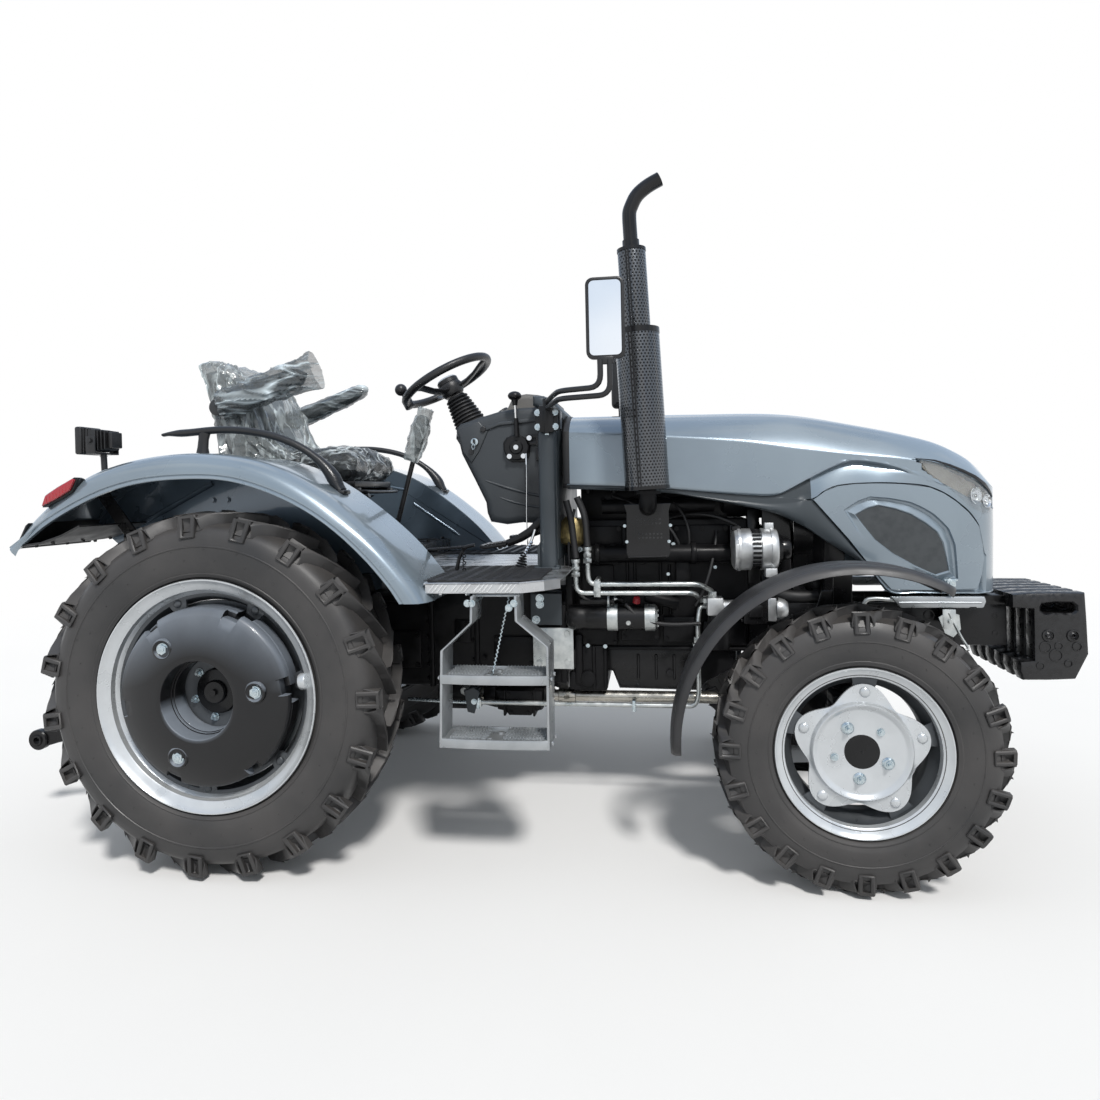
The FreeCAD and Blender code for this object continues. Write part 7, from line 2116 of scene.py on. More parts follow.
# %% Exhaust stack
def perforated(name, pitch):
    """Black sheet with staggered round holes, painted as near-black spots of shade; U runs round and V
    along, both in metres.
    """
    tree, shader = new_finish(name, {"Coat Weight": 0.5, "Metallic": 0.6})
    flat = wire(tree, "UVMap", uv_map="wrap")
    dots = []
    for shift in (0.0, 0.5):
        size = wire(tree, "VectorMath", {1: (1 / pitch, 1 / (pitch * 1.732), 0), 2: (shift, shift, 0),
            0: flat}, operation="MULTIPLY_ADD")
        part = wire(tree, "VectorMath", {0: size}, operation="FRACTION")
        middle = wire(tree, "VectorMath", {1: (1, 1.732, 0), 2: (-0.5, -0.866, 0), 0: part},
            operation="MULTIPLY_ADD")
        dots.append(wire(tree, "VectorMath", {0: middle}, operation="LENGTH").outputs["Value"])
    nearest = wire(tree, "Math", {0: dots[0], 1: dots[1]}, operation="MINIMUM")
    edge = wire(tree, "MapRange", {"From Min": 0.24, "From Max": 0.31, "Value": nearest})
    # The holes are painted near black, the shade seen through them.
    tone = ramp(tree, edge, (0.0, (0.0015, 0.0015, 0.0015)), (1.0, (0.085, 0.09, 0.096)))
    rough = wire(tree, "MapRange", {"To Min": 0.95, "To Max": 0.24, "Value": edge})
    relief = wire(tree, "Bump", {"Strength": 0.8, "Distance": 0.0015, "Height": edge})
    feed(tree, shader, {"Base Color": tone, "Roughness": rough, "Normal": relief})


perforated("perforated", 0.0105)
FOOT, STACK = Vector((1.239, -0.4, 1.08)), Vector((-0.0471, 0, 0.9989)).normalized()


def wrap_map(obj, centre, axis, radius):
    """UV map round a turned piece: U is the way round and V the way along, in metres."""
    layer = obj.data.uv_layers.new(name="wrap")
    centre = centre + Vector((AXLE_X, 0, 0))
    side = axis.orthogonal().normalized()
    other = axis.cross(side)
    for face in obj.data.polygons:
        turn = None
        for loop in face.loop_indices:
            p = obj.data.vertices[obj.data.loops[loop].vertex_index].co - centre
            a = math.atan2(p.dot(other), p.dot(side))
            if turn is not None and a - turn > math.pi:
                a -= math.tau
            if turn is not None and turn - a > math.pi:
                a += math.tau
            turn = a if turn is None else turn
            layer.data[loop].uv = (a * radius, p.dot(axis))


guard = [(0.054, 0.006), (0.0668, 0.006), (0.0668, 0.478), (0.065, 0.483), (0.04, 0.4835)]
lathe(bm, guard + [(0.038, 0.47), (0.06, 0.47), (0.062, 0.014), (0.054, 0.014)], FOOT, axis=STACK, steps=96)
guard = keep(bm, "stack_guard_lower", "exhaust_black", material="perforated", replaces=["muffler"],
    smooth=40)
wrap_map(guard, FOOT, STACK, 0.0668)
lathe(bm, [(0.03, 0.478), (0.0423, 0.478), (0.0423, 0.722), (0.0405, 0.727), (0.02, 0.7275), (0.02, 0.72),
    (0.036, 0.715), (0.036, 0.478)], FOOT, axis=STACK, steps=72)
upper = keep(bm, "stack_guard_upper", "exhaust_black", material="perforated", smooth=40)
wrap_map(upper, FOOT, STACK, 0.0423)
for radius, low, high in ((0.0685, 0.0, 0.01), (0.0682, 0.468, 0.484), (0.0438, 0.7185, 0.728)):
    lathe(bm, [(radius - 0.006, low), (radius, low), (radius, high), (radius - 0.006, high)], FOOT,
        axis=STACK, steps=72)
for angle, radius, low, high in ((252, 0.0672, 0.004, 0.48), (62, 0.0672, 0.004, 0.48),
        (252, 0.0428, 0.486, 0.722)):
    a = math.radians(angle)
    out = Vector((math.cos(a), math.sin(a), 0))
    for side in (-0.004, 0.004):
        cross = Vector((-math.sin(a), math.cos(a), 0)) * side
        start = FOOT + STACK * low + out * radius + cross
        bar(bm, start, FOOT + STACK * high + out * radius + cross, 0.0022, steps=8)
lathe(bm, [(0.0, 0.01), (0.052, 0.01), (0.052, 0.47), (0.0, 0.47)], FOOT, axis=STACK, steps=40)
pipe_foot = FOOT + STACK * 0.722
upper_tail = [pipe_foot, FOOT + STACK * 0.82, Vector((1.201, -0.4, 1.922)), Vector((1.222, -0.4, 1.968)),
    Vector((1.258, -0.4, 1.995)), Vector((1.294, -0.4, 2.012))]
tube(bm, upper_tail, 0.0215, steps=8, bend=0.03, capped=False)
tube(bm, upper_tail[-2:], 0.018, steps=8, bend=0.01, capped=False)
lathe(bm, [(0.0205, -0.008), (0.0255, -0.008), (0.0255, 0.012), (0.0205, 0.012)], FOOT + STACK * 0.742,
    axis=STACK, steps=32)
blocks(bm, [(1208, -430, 1768, 1222, -426, 1790)], 0.001)
keep(bm, "stack_pipe_and_seams", "exhaust_black", smooth=50)

tube(bm, [(1.239, -0.15, 1.022), (1.239, -0.33, 1.024), (1.239, -0.4, 1.03), (1.239, -0.4, 1.084)], 0.027,
    steps=8, bend=0.05)
lathe(bm, [(0.026, 0.0), (0.04, 0.0), (0.04, 0.01), (0.026, 0.01)], (1.239, -0.4, 1.066), axis=(0, 0, 1),
    steps=32)
oval_sweep(bm, [(1.085, -0.15, 1.024, 0.024, 0.022), (1.18, -0.15, 1.026, 0.026, 0.024),
    (1.28, -0.15, 1.026, 0.027, 0.025), (1.38, -0.15, 1.026, 0.026, 0.024),
    (1.455, -0.15, 1.024, 0.022, 0.02)], steps=24)
for x in (1.11, 1.21, 1.32, 1.43):
    oval_sweep(bm, [(x, -0.115, 1.024, 0.026, 0.022), (x, -0.15, 1.025, 0.024, 0.02)], steps=20)
    bolt(bm, (x - 0.026, -0.128, 1.05), (0, -1, 0.2), 0.007)
keep(bm, "manifold_casting", "black_iron", replaces=["exhaust_manifold"], smooth=50)

shield = [(1.164, 1.034), (1.309, 1.036), (1.302, 1.012), (1.305, 0.884), (1.3, 0.871), (1.175, 0.869),
    (1.17, 0.884), (1.172, 1.01)]
slab(bm, shield, -0.3385, 0.003, 0.001, 1)
tube(bm, [(1.176, -0.338, 0.8705), (1.299, -0.338, 0.8725)], 0.0032, steps=2)
tube(bm, [(1.2, -0.337, 0.905), (1.2, -0.21, 0.903)], 0.004, steps=2)
tube(bm, [(1.27, -0.337, 0.905), (1.27, -0.21, 0.903)], 0.004, steps=2)
keep(bm, "heat_shield", "exhaust_black", replaces=["exhaust_shield"])
for row, z in ((0, 0.987), (0, 0.975), (1, 0.942), (1, 0.93)):
    for k in range(7):
        x = 1.206 + 0.0115 * k + 0.004 * row
        bar(bm, (x, -0.3392, z), (x, -0.338, z), 0.0036, steps=10)
keep(bm, "heat_shield_holes", "exhaust_black", material="boot_rubber")
for x, z in ((1.166, 0.968), (1.307, 0.968), (1.172, 0.918), (1.302, 0.918)):
    bolt(bm, (x, -0.3385, z), (0, -1, 0), 0.0045)
keep(bm, "heat_shield_bolts", "exhaust_black", material="zinc_bolt")

# %% [markdown]
# The mirrors are tall framed glasses on a pair of bent bars that run out from the post's clamp. The
# frame is a bevelled slab with a rounded outline, and the glass is let into its rear face.

# %% Mirrors
def rounded(low, high, radius, steps=5):
    """Rounded rectangle between two flat corners, as a ring of points."""
    ring = []
    for cx, cz, start in ((high[0] - radius, high[1] - radius, 0), (low[0] + radius, high[1] - radius, 90),
            (low[0] + radius, low[1] + radius, 180), (high[0] - radius, low[1] + radius, 270)):
        for k in range(steps + 1):
            a = math.radians(start + 90 * k / steps)
            ring.append((cx + radius * math.cos(a), cz + radius * math.sin(a)))
    return ring


frame_ring = rounded((1.083, 1.438), (1.189, 1.66), 0.02)
rings = [side_view(drawn_in(frame_ring, by), y) for y, by in ((-0.6455, 0.009), (-0.651, 0.008),
    (-0.6515, 0.004), (-0.649, 0.0), (-0.636, 0.0), (-0.628, 0.008), (-0.623, 0.026))]
loft(bm, rings)
blocks(bm, [(1112, -652, 1424, 1158, -634, 1446)], 0.003)
for z, reach in ((1.34, 1.146), (1.362, 1.12)):
    tube(bm, [(0.93, -0.352, z), (0.975, -0.52, z), (1.0, -0.6, z), (reach, -0.648, z),
        (reach, -0.648, 1.436)], 0.008, steps=4, bend=0.035)
keep(bm, "mirror_frames", "rail_plastic", replaces=["mirrors"], smooth=50, mirror=True)
glass_ring = rounded((1.0925, 1.4475), (1.1795, 1.6505), 0.013)
slab(bm, glass_ring, -0.6522, 0.004)
keep(bm, "mirror_glasses", "mirror_face", replaces=["mirror_glass"], smooth=20, mirror=True)

# %% [markdown]
# The footwell floor is sheet metal with a bent lip along its sides. The lip carries groups of short
# slanting ribs, and a black rubber mat with studs lies on top. Two steps hang below each side on bent
# straps. Their treads are shallow trays with two groups of teeth and a nosing that bows outwards.

# %% Floor
FLOOR = [(0.388, 0.419), (0.619, 0.419), (0.619, 0.683), (0.892, 0.683), (0.95, 0.63), (0.998, 0.56),
    (0.998, 0.24), (0.9, 0.2)]


def floor_plan(by, z):
    """Outline of the whole floor, drawn in by a distance, at one height."""
    half = drawn_in(FLOOR + [(x, -y) for x, y in FLOOR[::-1]], by)
    return [Vector((x, y, z)) for x, y in half]


plate(bm, floor_plan(0.0, 0.828), (0, 0, 0.006), 0.0015, 1)
blocks(bm, [(600, -418, 803, 640, 418, 829), (850, -560, 803, 890, 560, 829)], 0.003)
for side in (-1, 1):
    lip = [(0.624, 0.683), (0.892, 0.683), (0.95, 0.63), (0.99, 0.574)]
    for (xa, ya), (xb, yb) in zip(lip, lip[1:]):
        a, b = Vector((xa, side * ya, 0.804)), Vector((xb, side * yb, 0.804))
        inner = Vector((yb - ya, (xa - xb) * side, 0)).normalized() * 0.004
        if inner.y * side > 0:
            inner = -inner
        plate(bm, [a, b, b + inner, a + inner], (0, 0, 0.0285), 0.001, 1)
for x in (0.66, 0.74, 0.87):
    for y in (-0.66, 0.66):
        bolt(bm, (x, y, 0.804), (0, 0, -1), 0.008)
keep(bm, "floor_sheet", "tread_plate", replaces=["floor_plates"])
for side in (-1, 1):
    for group in range(4):
        for k in range(4):
            x = 0.63 + 0.064 * group + 0.0125 * k
            foot = [Vector((x, side * 0.6835, 0.807)), Vector((x + 0.0058, side * 0.6835, 0.807)),
                Vector((x + 0.0248, side * 0.6835, 0.83)), Vector((x + 0.019, side * 0.6835, 0.83))]
            plate(bm, foot, (0, side * 0.002, 0), 0.0006, 1)
keep(bm, "floor_lip_ribs", "tread_plate", material="bright_rib")
for side in (-1, 1):
    mat = [(0.41, 0.262), (0.41, 0.408), (0.626, 0.408), (0.628, 0.674), (0.886, 0.674), (0.94, 0.624),
        (0.936, 0.262)]
    plate(bm, [Vector((x, side * y, 0.8345)) for x, y in mat], (0, 0, 0.005), 0.0015, 2)
    for i in range(13):
        for j in range(14):
            x, y = 0.43 + 0.04 * i, 0.28 + 0.03 * j
            if (x < 0.62 and y > 0.4) or (x > 0.86 and y > 0.62) or x > 0.9:
                continue
            block(bm, (x - 0.012, side * y - 0.003, 0.839), (x + 0.012, side * y + 0.003, 0.8415), 0.001, 1)
keep(bm, "floor_mats", "tread_plate", material="mat_rubber", smooth=30)

# %% Steps
rear = [(0.759, 0.8), (0.756, 0.728), (0.672, 0.651), (0.664, 0.386)]
front = [(0.887, 0.8), (0.888, 0.733), (0.971, 0.664), (0.969, 0.386)]
for path, turn in ((rear, 1), (front, -1)):
    shifted = [(x + turn * 0.0075, z) for x, z in path]
    outline = side_view(path + shifted[::-1], -0.713)
    plate(bm, outline, (0, 0.111, 0), 0.0022, 2)
blocks(bm, [(757, -676, 794, 889, -602, 801)], 0.002)
for z in (0.386, 0.56):
    nose = []
    for k in range(17):
        t = k / 16
        nose.append((0.669 + 0.298 * t, -0.713 - 0.0078 * math.sin(math.pi * t) ** 0.7))
    back = [(x, y + 0.01) for x, y in nose[::-1]]
    plate(bm, [Vector((x, y, z + 0.001)) for x, y in nose + back], (0, 0, 0.026), 0.0025, 2)
    tray = nose + [(0.967, -0.603), (0.669, -0.603)]
    plate(bm, [Vector((x, y + 0.004 if y < -0.7 else y, z + 0.017)) for x, y in tray], (0, 0, 0.004))
    blocks(bm, [(669, -607, z * 1000 + 1, 967, -602, z * 1000 + 28)], 0.002)
    for low, high in ((0.69, 0.79), (0.838, 0.95)):
        count = int((high - low) / 0.0092)
        for row in range(5):
            y = -0.706 + 0.022 * row
            block(bm, (low - 0.002, y, z + 0.02), (high + 0.002, y + 0.0035, z + 0.026), 0.0008, 1)
            for k in range(count):
                x = low + 0.0092 * (k + 0.5)
                tooth = [Vector((x - 0.0032, y, z + 0.025)), Vector((x + 0.0032, y, z + 0.025)),
                    Vector((x, y, z + 0.0335))]
                plate(bm, tooth, (0, 0.0032, 0))
    for x, y in ((0.8, -0.69), (0.822, -0.64)):
        bar(bm, (x, y, z + 0.02), (x, y, z + 0.0255), 0.009, steps=12, bevel=0.001)
    for x in (0.674, 0.962):
        for y in (-0.69, -0.63):
            way = 1 if x < 0.8 else -1
            bolt(bm, (x - way * 0.0105, y, z + 0.013), (-way, 0, 0), 0.006)
keep(bm, "step_frames", "step_grey", replaces=["steps"], smooth=30, mirror=True)
for x, z in ((0.752, 0.782), (0.764, 0.782), (0.88, 0.782), (0.866, 0.77)):
    bolt(bm, (x, -0.715, z), (0, -1, 0), 0.009)
    bar(bm, (x, -0.715, z), (x, -0.6, z), 0.005, steps=10)
keep(bm, "step_bolts", "step_grey", material="zinc_bolt", mirror=True)

# %% [markdown]
# Below the floor sits the gearbox, a row of castings bolted flange to flange. Its sections follow the
# outline of the assembly's own piece, with ribs, covers, a bell housing and a transfer case for the
# front drive. A zinc plate, a grey bracket and a rod to the pedal lie in front of it.

# %% Gearbox
case = [(-0.26, 0.434), (-0.2, 0.404), (0.875, 0.404), (0.898, 0.43), (0.898, 0.78), (0.88, 0.801),
    (0.56, 0.801), (0.48, 0.702), (0.18, 0.702), (0.12, 0.878), (-0.21, 0.878), (-0.26, 0.82)]
rings = [side_view(drawn_in(case, by), y) for y, by in ((-0.139, 0.022), (-0.132, 0.006), (-0.118, 0.0),
    (0.118, 0.0), (0.132, 0.006), (0.139, 0.022))]
loft(bm, rings)
for x, low, high, half in ((0.118, 0.404, 0.872, 0.152), (0.478, 0.404, 0.712, 0.15),
        (0.64, 0.404, 0.8, 0.15)):
    blocks(bm, [(x * 1000 - 9, -half * 1000, low * 1000, x * 1000 + 9, half * 1000, high * 1000)], 0.005)
    for k in range(6):
        for side in (-1, 1):
            z = low + 0.03 + (high - low - 0.06) * k / 5
            bolt(bm, (x - 0.012, side * (half - 0.012), z), (-1, 0, 0), 0.008)
rings = []
for x, half, low, high in ((0.872, 0.15, 0.42, 0.74), (0.905, 0.172, 0.41, 0.752),
        (0.934, 0.186, 0.405, 0.758), (0.958, 0.188, 0.405, 0.758)):
    rings.append([Vector((x, -half, low + 0.03)), Vector((x, -half, high - 0.05)),
        Vector((x, -half + 0.06, high)), Vector((x, half - 0.06, high)), Vector((x, half, high - 0.05)),
        Vector((x, half, low + 0.03)), Vector((x, half - 0.04, low)), Vector((x, -half + 0.04, low))])
loft(bm, rings)
blocks(bm, [(940, -198, 438, 960, -180, 700), (940, 180, 438, 960, 198, 700),
    (964, -176, 410, 1000, -148, 470), (962, -182, 482, 1000, -148, 545), (700, -150, 478, 842, -138, 584),
    (560, -150, 560, 620, -138, 640), (300, -148, 470, 440, -138, 600), (180, -146, 700, 460, 146, 712),
    (-180, -120, 874, 90, 120, 888)], 0.006)
blocks(bm, [(976, -172, 404, 1092, 172, 560), (984, -184, 428, 1012, -160, 600),
    (1040, -180, 412, 1056, -160, 560), (1078, -178, 410, 1094, -160, 560)], 0.01)
bar(bm, (1.028, -0.16, 0.45), (1.028, -0.186, 0.45), 0.026, steps=24, bevel=0.004)
bar(bm, (-0.19, -0.198, 0.78), (-0.19, 0.198, 0.78), 0.06, steps=40, bevel=0.006)
for y in (-0.2, 0.185):
    bar(bm, (-0.19, y, 0.78), (-0.19, y + 0.015, 0.78), 0.066, steps=40, bevel=0.003)
bar(bm, (-0.298, 0, 0.6), (-0.25, 0, 0.6), 0.074, steps=40, bevel=0.006)
for y in (-0.03, 0.014):
    lug = [(-0.255, 0.69), (-0.3, 0.7), (-0.328, 0.722), (-0.328, 0.762), (-0.312, 0.784), (-0.255, 0.8)]
    slab(bm, lug, y, 0.016, 0.003, 2)
bar(bm, (-0.305, -0.048, 0.74), (-0.305, 0.048, 0.74), 0.0095, steps=16, bevel=0.001)
for side in (-1, 1):
    bar(bm, (-0.12, side * 0.13, 0.43), (-0.12, side * 0.199, 0.43), 0.039, steps=28, bevel=0.004)
    near, far = sorted((side * 187, side * 205))
    blocks(bm, [(-150, near, 373, -90, far, 459)], 0.006)
    bar(bm, (-0.12, side * 0.19, 0.4), (-0.12, side * 0.262, 0.4), 0.0138, steps=20, bevel=0.002)
    bar(bm, (-0.12, side * 0.256, 0.4), (-0.12, side * 0.262, 0.4), 0.019, steps=20, bevel=0.001)
bar(bm, (0.5, -0.12, 0.376), (0.618, -0.12, 0.376), 0.051, steps=36, bevel=0.008)
for a in turns(8):
    bolt(bm, (-0.298, 0.062 * math.cos(a), 0.6 + 0.062 * math.sin(a)), (-1, 0, 0), 0.006)
for k in range(6):
    bolt(bm, (-0.16 + 0.045 * k, -0.1, 0.888), (0, 0, 1), 0.008)
    bolt(bm, (-0.16 + 0.045 * k, 0.1, 0.888), (0, 0, 1), 0.008)
for x, z in ((0.712, 0.49), (0.83, 0.49), (0.712, 0.572), (0.83, 0.572), (0.666, 0.508), (0.312, 0.482),
        (0.428, 0.482), (0.312, 0.588), (0.428, 0.588), (0.575, 0.575), (0.605, 0.625)):
    bolt(bm, (x, -0.149, z), (0, -1, 0), 0.0085)
keep(bm, "gearbox_castings", "black_iron", replaces=["transmission"], smooth=36)

transfer = [(0.705, 0.404), (0.712, 0.336), (0.742, 0.33), (0.752, 0.316), (0.83, 0.316), (0.842, 0.33),
    (0.868, 0.336), (0.872, 0.404)]
rings = [side_view(drawn_in(transfer, by), y) for y, by in ((-0.178, 0.016), (-0.172, 0.003), (-0.15, 0.0),
    (-0.062, 0.0), (-0.056, 0.01))]
loft(bm, rings)
blocks(bm, [(736, -184, 318, 744, -60, 406), (838, -184, 318, 846, -60, 406)], 0.003)
bar(bm, (0.705, -0.12, 0.376), (0.66, -0.12, 0.376), 0.046, tip=0.036, steps=28, bevel=0.003)
bar(bm, (0.872, -0.12, 0.376), (0.905, -0.12, 0.376), 0.04, tip=0.032, steps=28, bevel=0.003)
bolt(bm, (0.79, -0.178, 0.362), (0, -1, 0), 0.016)
for x, z in ((0.752, 0.392), (0.828, 0.392), (0.762, 0.328), (0.82, 0.328)):
    bolt(bm, (x, -0.178, z), (0, -1, 0), 0.006)
keep(bm, "transfer_case", "black_iron", smooth=36)
bar(bm, (0.621, -0.12, 0.376), (1.634, -0.12, 0.376), 0.0195, steps=28)
for x in (0.64, 0.92, 1.56):
    bar(bm, (x, -0.12, 0.376), (x + 0.06, -0.12, 0.376), 0.028, steps=24, bevel=0.004)
    bar(bm, (x + 0.03, -0.15, 0.376), (x + 0.03, -0.09, 0.376), 0.01, steps=16)
keep(bm, "front_drive_shaft", "bare_steel", replaces=["drive_shaft"], smooth=36)

blocks(bm, [(846, -200, 485, 983, -192, 623), (905, -194, 500, 925, -188, 600)], 0.0018)
for x, z in ((0.866, 0.504), (0.963, 0.508), (0.866, 0.604), (0.963, 0.606)):
    bolt(bm, (x, -0.2, z), (0, -1, 0), 0.0105)
keep(bm, "zinc_plate", "galvanised", replaces=["gearbox_plates"])
blocks(bm, [(840, -198, 632, 946, -190, 742), (840, -198, 734, 946, -140, 742),
    (618, -190, 332, 630, -120, 410), (600, -190, 398, 650, -120, 408)], 0.002)
strap = [(0.606, 0.408), (0.64, 0.42), (0.66, 0.402), (0.64, 0.33), (0.616, 0.336)]
slab(bm, strap, -0.205, 0.006, 0.0015, 1)
keep(bm, "grey_brackets", "galvanised", material="moulding_grey")
for x, z in ((0.872, 0.722), (0.872, 0.702), (0.858, 0.65)):
    bolt(bm, (x, -0.198, z), (0, -1, 0), 0.0125)
bolt(bm, (0.64, -0.206, 0.372), (0, -1, 0), 0.009)
for x in (0.652, 1.18):
    blocks(bm, [(x * 1000 - 6, -204, 346, x * 1000 + 6, -176, 384)], 0.002)
chain_top, chain_low = Vector((0.857, -0.65, 0.8)), Vector((0.812, -0.69, 0.584))
for k in range(40):
    start, end = chain_top.lerp(chain_low, k / 40), chain_top.lerp(chain_low, (k + 1.3) / 40)
    side = Vector((0.0022 if k % 2 else -0.0022, 0, 0.001))
    bar(bm, start + side, end - side, 0.0018, steps=6)
bar(bm, (0.626, -0.196, 0.366), (0.404, -0.188, 0.372), 0.006, steps=10)
keep(bm, "linkage_rod_and_bolts", "galvanised", material="zinc_bolt", smooth=40)

# %% [markdown]
# The seat stands on a bent sheet between the fenders. It gets rolled edges, stiffening beads and a
# riser at its front, like a pressing, and dark paint.

# %% Seat deck
outline = [Vector((-0.298, -0.419, 0.882)), Vector((0.398, -0.419, 0.882)), Vector((0.398, 0.419, 0.882)),
    Vector((-0.298, 0.419, 0.882))]
plate(bm, outline, (0, 0, 0.009), 0.004, 2)
blocks(bm, [(389, -419, 835, 399, 419, 888), (-298, -419, 866, -290, 419, 888)], 0.003)
for k in range(7):
    y = -0.36 + 0.12 * k
    block(bm, (0.215, y - 0.022, 0.889), (0.375, y + 0.022, 0.894), 0.003)
    block(bm, (-0.28, y - 0.022, 0.889), (-0.215, y + 0.022, 0.894), 0.003)
for x in (-0.27, 0.37):
    for y in (-0.4, -0.2, 0.2, 0.4):
        bolt(bm, (x, y, 0.892), (0, 0, 1), 0.008)
keep(bm, "seat_deck_pressing", "black_metal", replaces=["seat_deck"])

# %% [markdown]
# Ahead of the engine a frame of plates carries the radiator, the front axle and six slab weights. The rails
# get the holes of flame-cut plate. The radiator is a core with fins between two tanks, with a shroud behind
# it and hoses. The bright bars under the hood are a pair of rolled channels.

# %% Front frame
def holed(bm, x0, z0, x1, z1, y0, y1, holes, bevel=0.003):
    """Upright plate between two flat corners, with round blind holes marked by sunk discs."""
    blocks(bm, [(x0 * 1000, y0 * 1000, z0 * 1000, x1 * 1000, y1 * 1000, z1 * 1000)], bevel)
    face = y0 if abs(y0) > abs(y1) else y1
    way = math.copysign(1, face)
    for x, z, radius in holes:
        lathe(bm, [(radius, 0.0), (radius, 0.0012), (radius + 0.003, 0.0012), (radius + 0.003, 0.0)],
            (x, face, z), axis=(0, way, 0), steps=24)


blocks(bm, [(1560, -150, 546, 1576, 150, 700), (1640, -149, 501, 1930, 149, 560),
    (2190, -281, 700, 2214, 281, 735), (2191, -150, 546, 2214, 150, 702),
    (2213, -130, 690, 2407, 130, 722)], 0.004)
for side in (-1, 1):
    near, far = sorted((side * 0.121, side * 0.149))
    holed(bm, 1.57, 0.546, 2.2, 0.699, near, far, [(1.62, 0.66, 0.012), (1.68, 0.6, 0.012),
        (1.92, 0.66, 0.018), (2.02, 0.6, 0.014), (2.12, 0.66, 0.014)])
    near, far = sorted((side * 0.109, side * 0.13))
    holed(bm, 2.21, 0.561, 2.36, 0.692, near, far, [(2.325, 0.655, 0.006), (2.325, 0.6, 0.006)])
    near, far = sorted((side * 0.15, side * 0.19))
    blocks(bm, [(1640, near * 1000, 640, 1660, far * 1000, 720), (2150, near * 1000, 640, 2170, far * 1000,
        700)], 0.003)
    for x in (1.6, 1.74, 1.8, 2.06):
        bolt(bm, (x, side * 0.149, 0.575), (0, side, 0), 0.011)
for x in (1.666, 1.879):
    cheek = [(-0.054, 0.331), (0.054, 0.331), (0.055, 0.42), (0.12, 0.505), (-0.12, 0.505), (-0.055, 0.42)]
    plate(bm, [Vector((x, y, z)) for y, z in cheek], (0.023, 0, 0), 0.003, 2)
    for y in (-0.095, 0.095):
        bolt(bm, (x, y, 0.49), (-1, 0, 0), 0.01)
gusset = [(2.216, 0.7), (2.216, 0.565), (2.236, 0.565), (2.33, 0.69)]
for y in (-0.106, 0.098):
    slab(bm, gusset, y, 0.008, 0.001, 1)
step = [(1.56, 0.69), (1.6, 0.64), (1.7, 0.6), (1.7, 0.56), (1.56, 0.56)]
for y in (-0.163, 0.15):
    slab(bm, step, y, 0.013, 0.002, 1)
keep(bm, "front_frame_plates", "black_metal", replaces=["front_frame"])

channel = [(1.966, 0.738), (2.236, 0.738), (2.24, 0.722), (2.232, 0.703), (1.996, 0.703)]
for side in (-1, 1):
    near, far = sorted((side * 0.268, side * 0.2815))
    slab(bm, channel, near, far - near, 0.005, 2)
    bar(bm, (1.99, side * 0.2815, 0.72), (2.225, side * 0.2815, 0.72), 0.003, steps=8)
keep(bm, "front_side_bars", "black_metal", material="step_grey", smooth=36)
for side in (-1, 1):
    tube(bm, [(1.985, side * 0.268, 0.726), (1.93, side * 0.262, 0.73), (1.902, side * 0.258, 0.726),
        (1.893, side * 0.256, 0.708)], 0.0062, steps=5, bend=0.014)
    tube(bm, [(2.13, side * 0.288, 0.69), (2.148, side * 0.29, 0.65), (2.166, side * 0.29, 0.612),
        (2.186, side * 0.29, 0.58), (2.16, side * 0.29, 0.576), (2.146, side * 0.29, 0.588)], 0.004,
        steps=4, bend=0.012)
    blocks(bm, [sum(((2112, min(side * 284, side * 290), 640), (2150, max(side * 284, side * 290), 700)),
        ())], 0.002)
    hook = [(2.1, 0.676), (2.118, 0.628), (2.142, 0.616), (2.164, 0.64), (2.16, 0.684), (2.128, 0.694)]
    slab(bm, hook, side * 0.285, side * 0.004, 0.001, 1)
    bolt(bm, (2.134, side * 0.29, 0.664), (0, side, 0), 0.008)
keep(bm, "front_bars_and_hooks", "black_metal", material="galvanised", smooth=36)

blocks(bm, [(1800, -196, 742, 1840, 196, 1128), (1785, -211, 1131, 1855, 211, 1164),
    (1785, -211, 701, 1855, 211, 739), (1788, -211, 738, 1852, -197, 1132),
    (1788, 197, 738, 1852, 211, 1132)], 0.004)
for k in range(26):
    y = -0.188 + 0.015 * k
    block(bm, (1.791, y, 0.742), (1.849, y + 0.0035, 1.128))
for k in range(24):
    z = 0.752 + 0.0158 * k
    block(bm, (1.795, -0.196, z), (1.845, 0.196, z + 0.0015))
bar(bm, (1.82, 0.06, 1.16), (1.82, 0.06, 1.178), 0.03, steps=28, bevel=0.003)
bar(bm, (1.82, 0.06, 1.178), (1.82, 0.06, 1.192), 0.036, steps=28, bevel=0.004)
lathe(bm, [(0.19, 1.7), (0.196, 1.7), (0.196, 1.76), (0.23, 1.788), (0.224, 1.79), (0.19, 1.764)],
    (0, 0, 0.935), axis=(1, 0, 0), steps=48)
keep(bm, "radiator_core_and_shroud", "black_metal", replaces=["radiator"])
for points in (((1.79, 0.12, 1.148), (1.7, 0.12, 1.15), (1.62, 0.06, 1.12), (1.52, 0.02, 1.075),
        (1.49, 0.02, 1.06)), ((1.79, -0.12, 0.718), (1.7, -0.13, 0.715), (1.63, -0.1, 0.73),
        (1.55, -0.08, 0.76))):
    tube(bm, points, 0.022, steps=6, bend=0.05)
keep(bm, "radiator_hoses", "black_metal", material="boot_rubber", smooth=50)

# %% [markdown]
# The slab weights are rough castings. Each is the same outline with a hand slot near its top. The outer
# wall and the slot's wall are lofted, and the two sides are filled between them. Turned rings mark the
# rods' ends and the rounds on the outer slabs. The pitted look comes from the material.

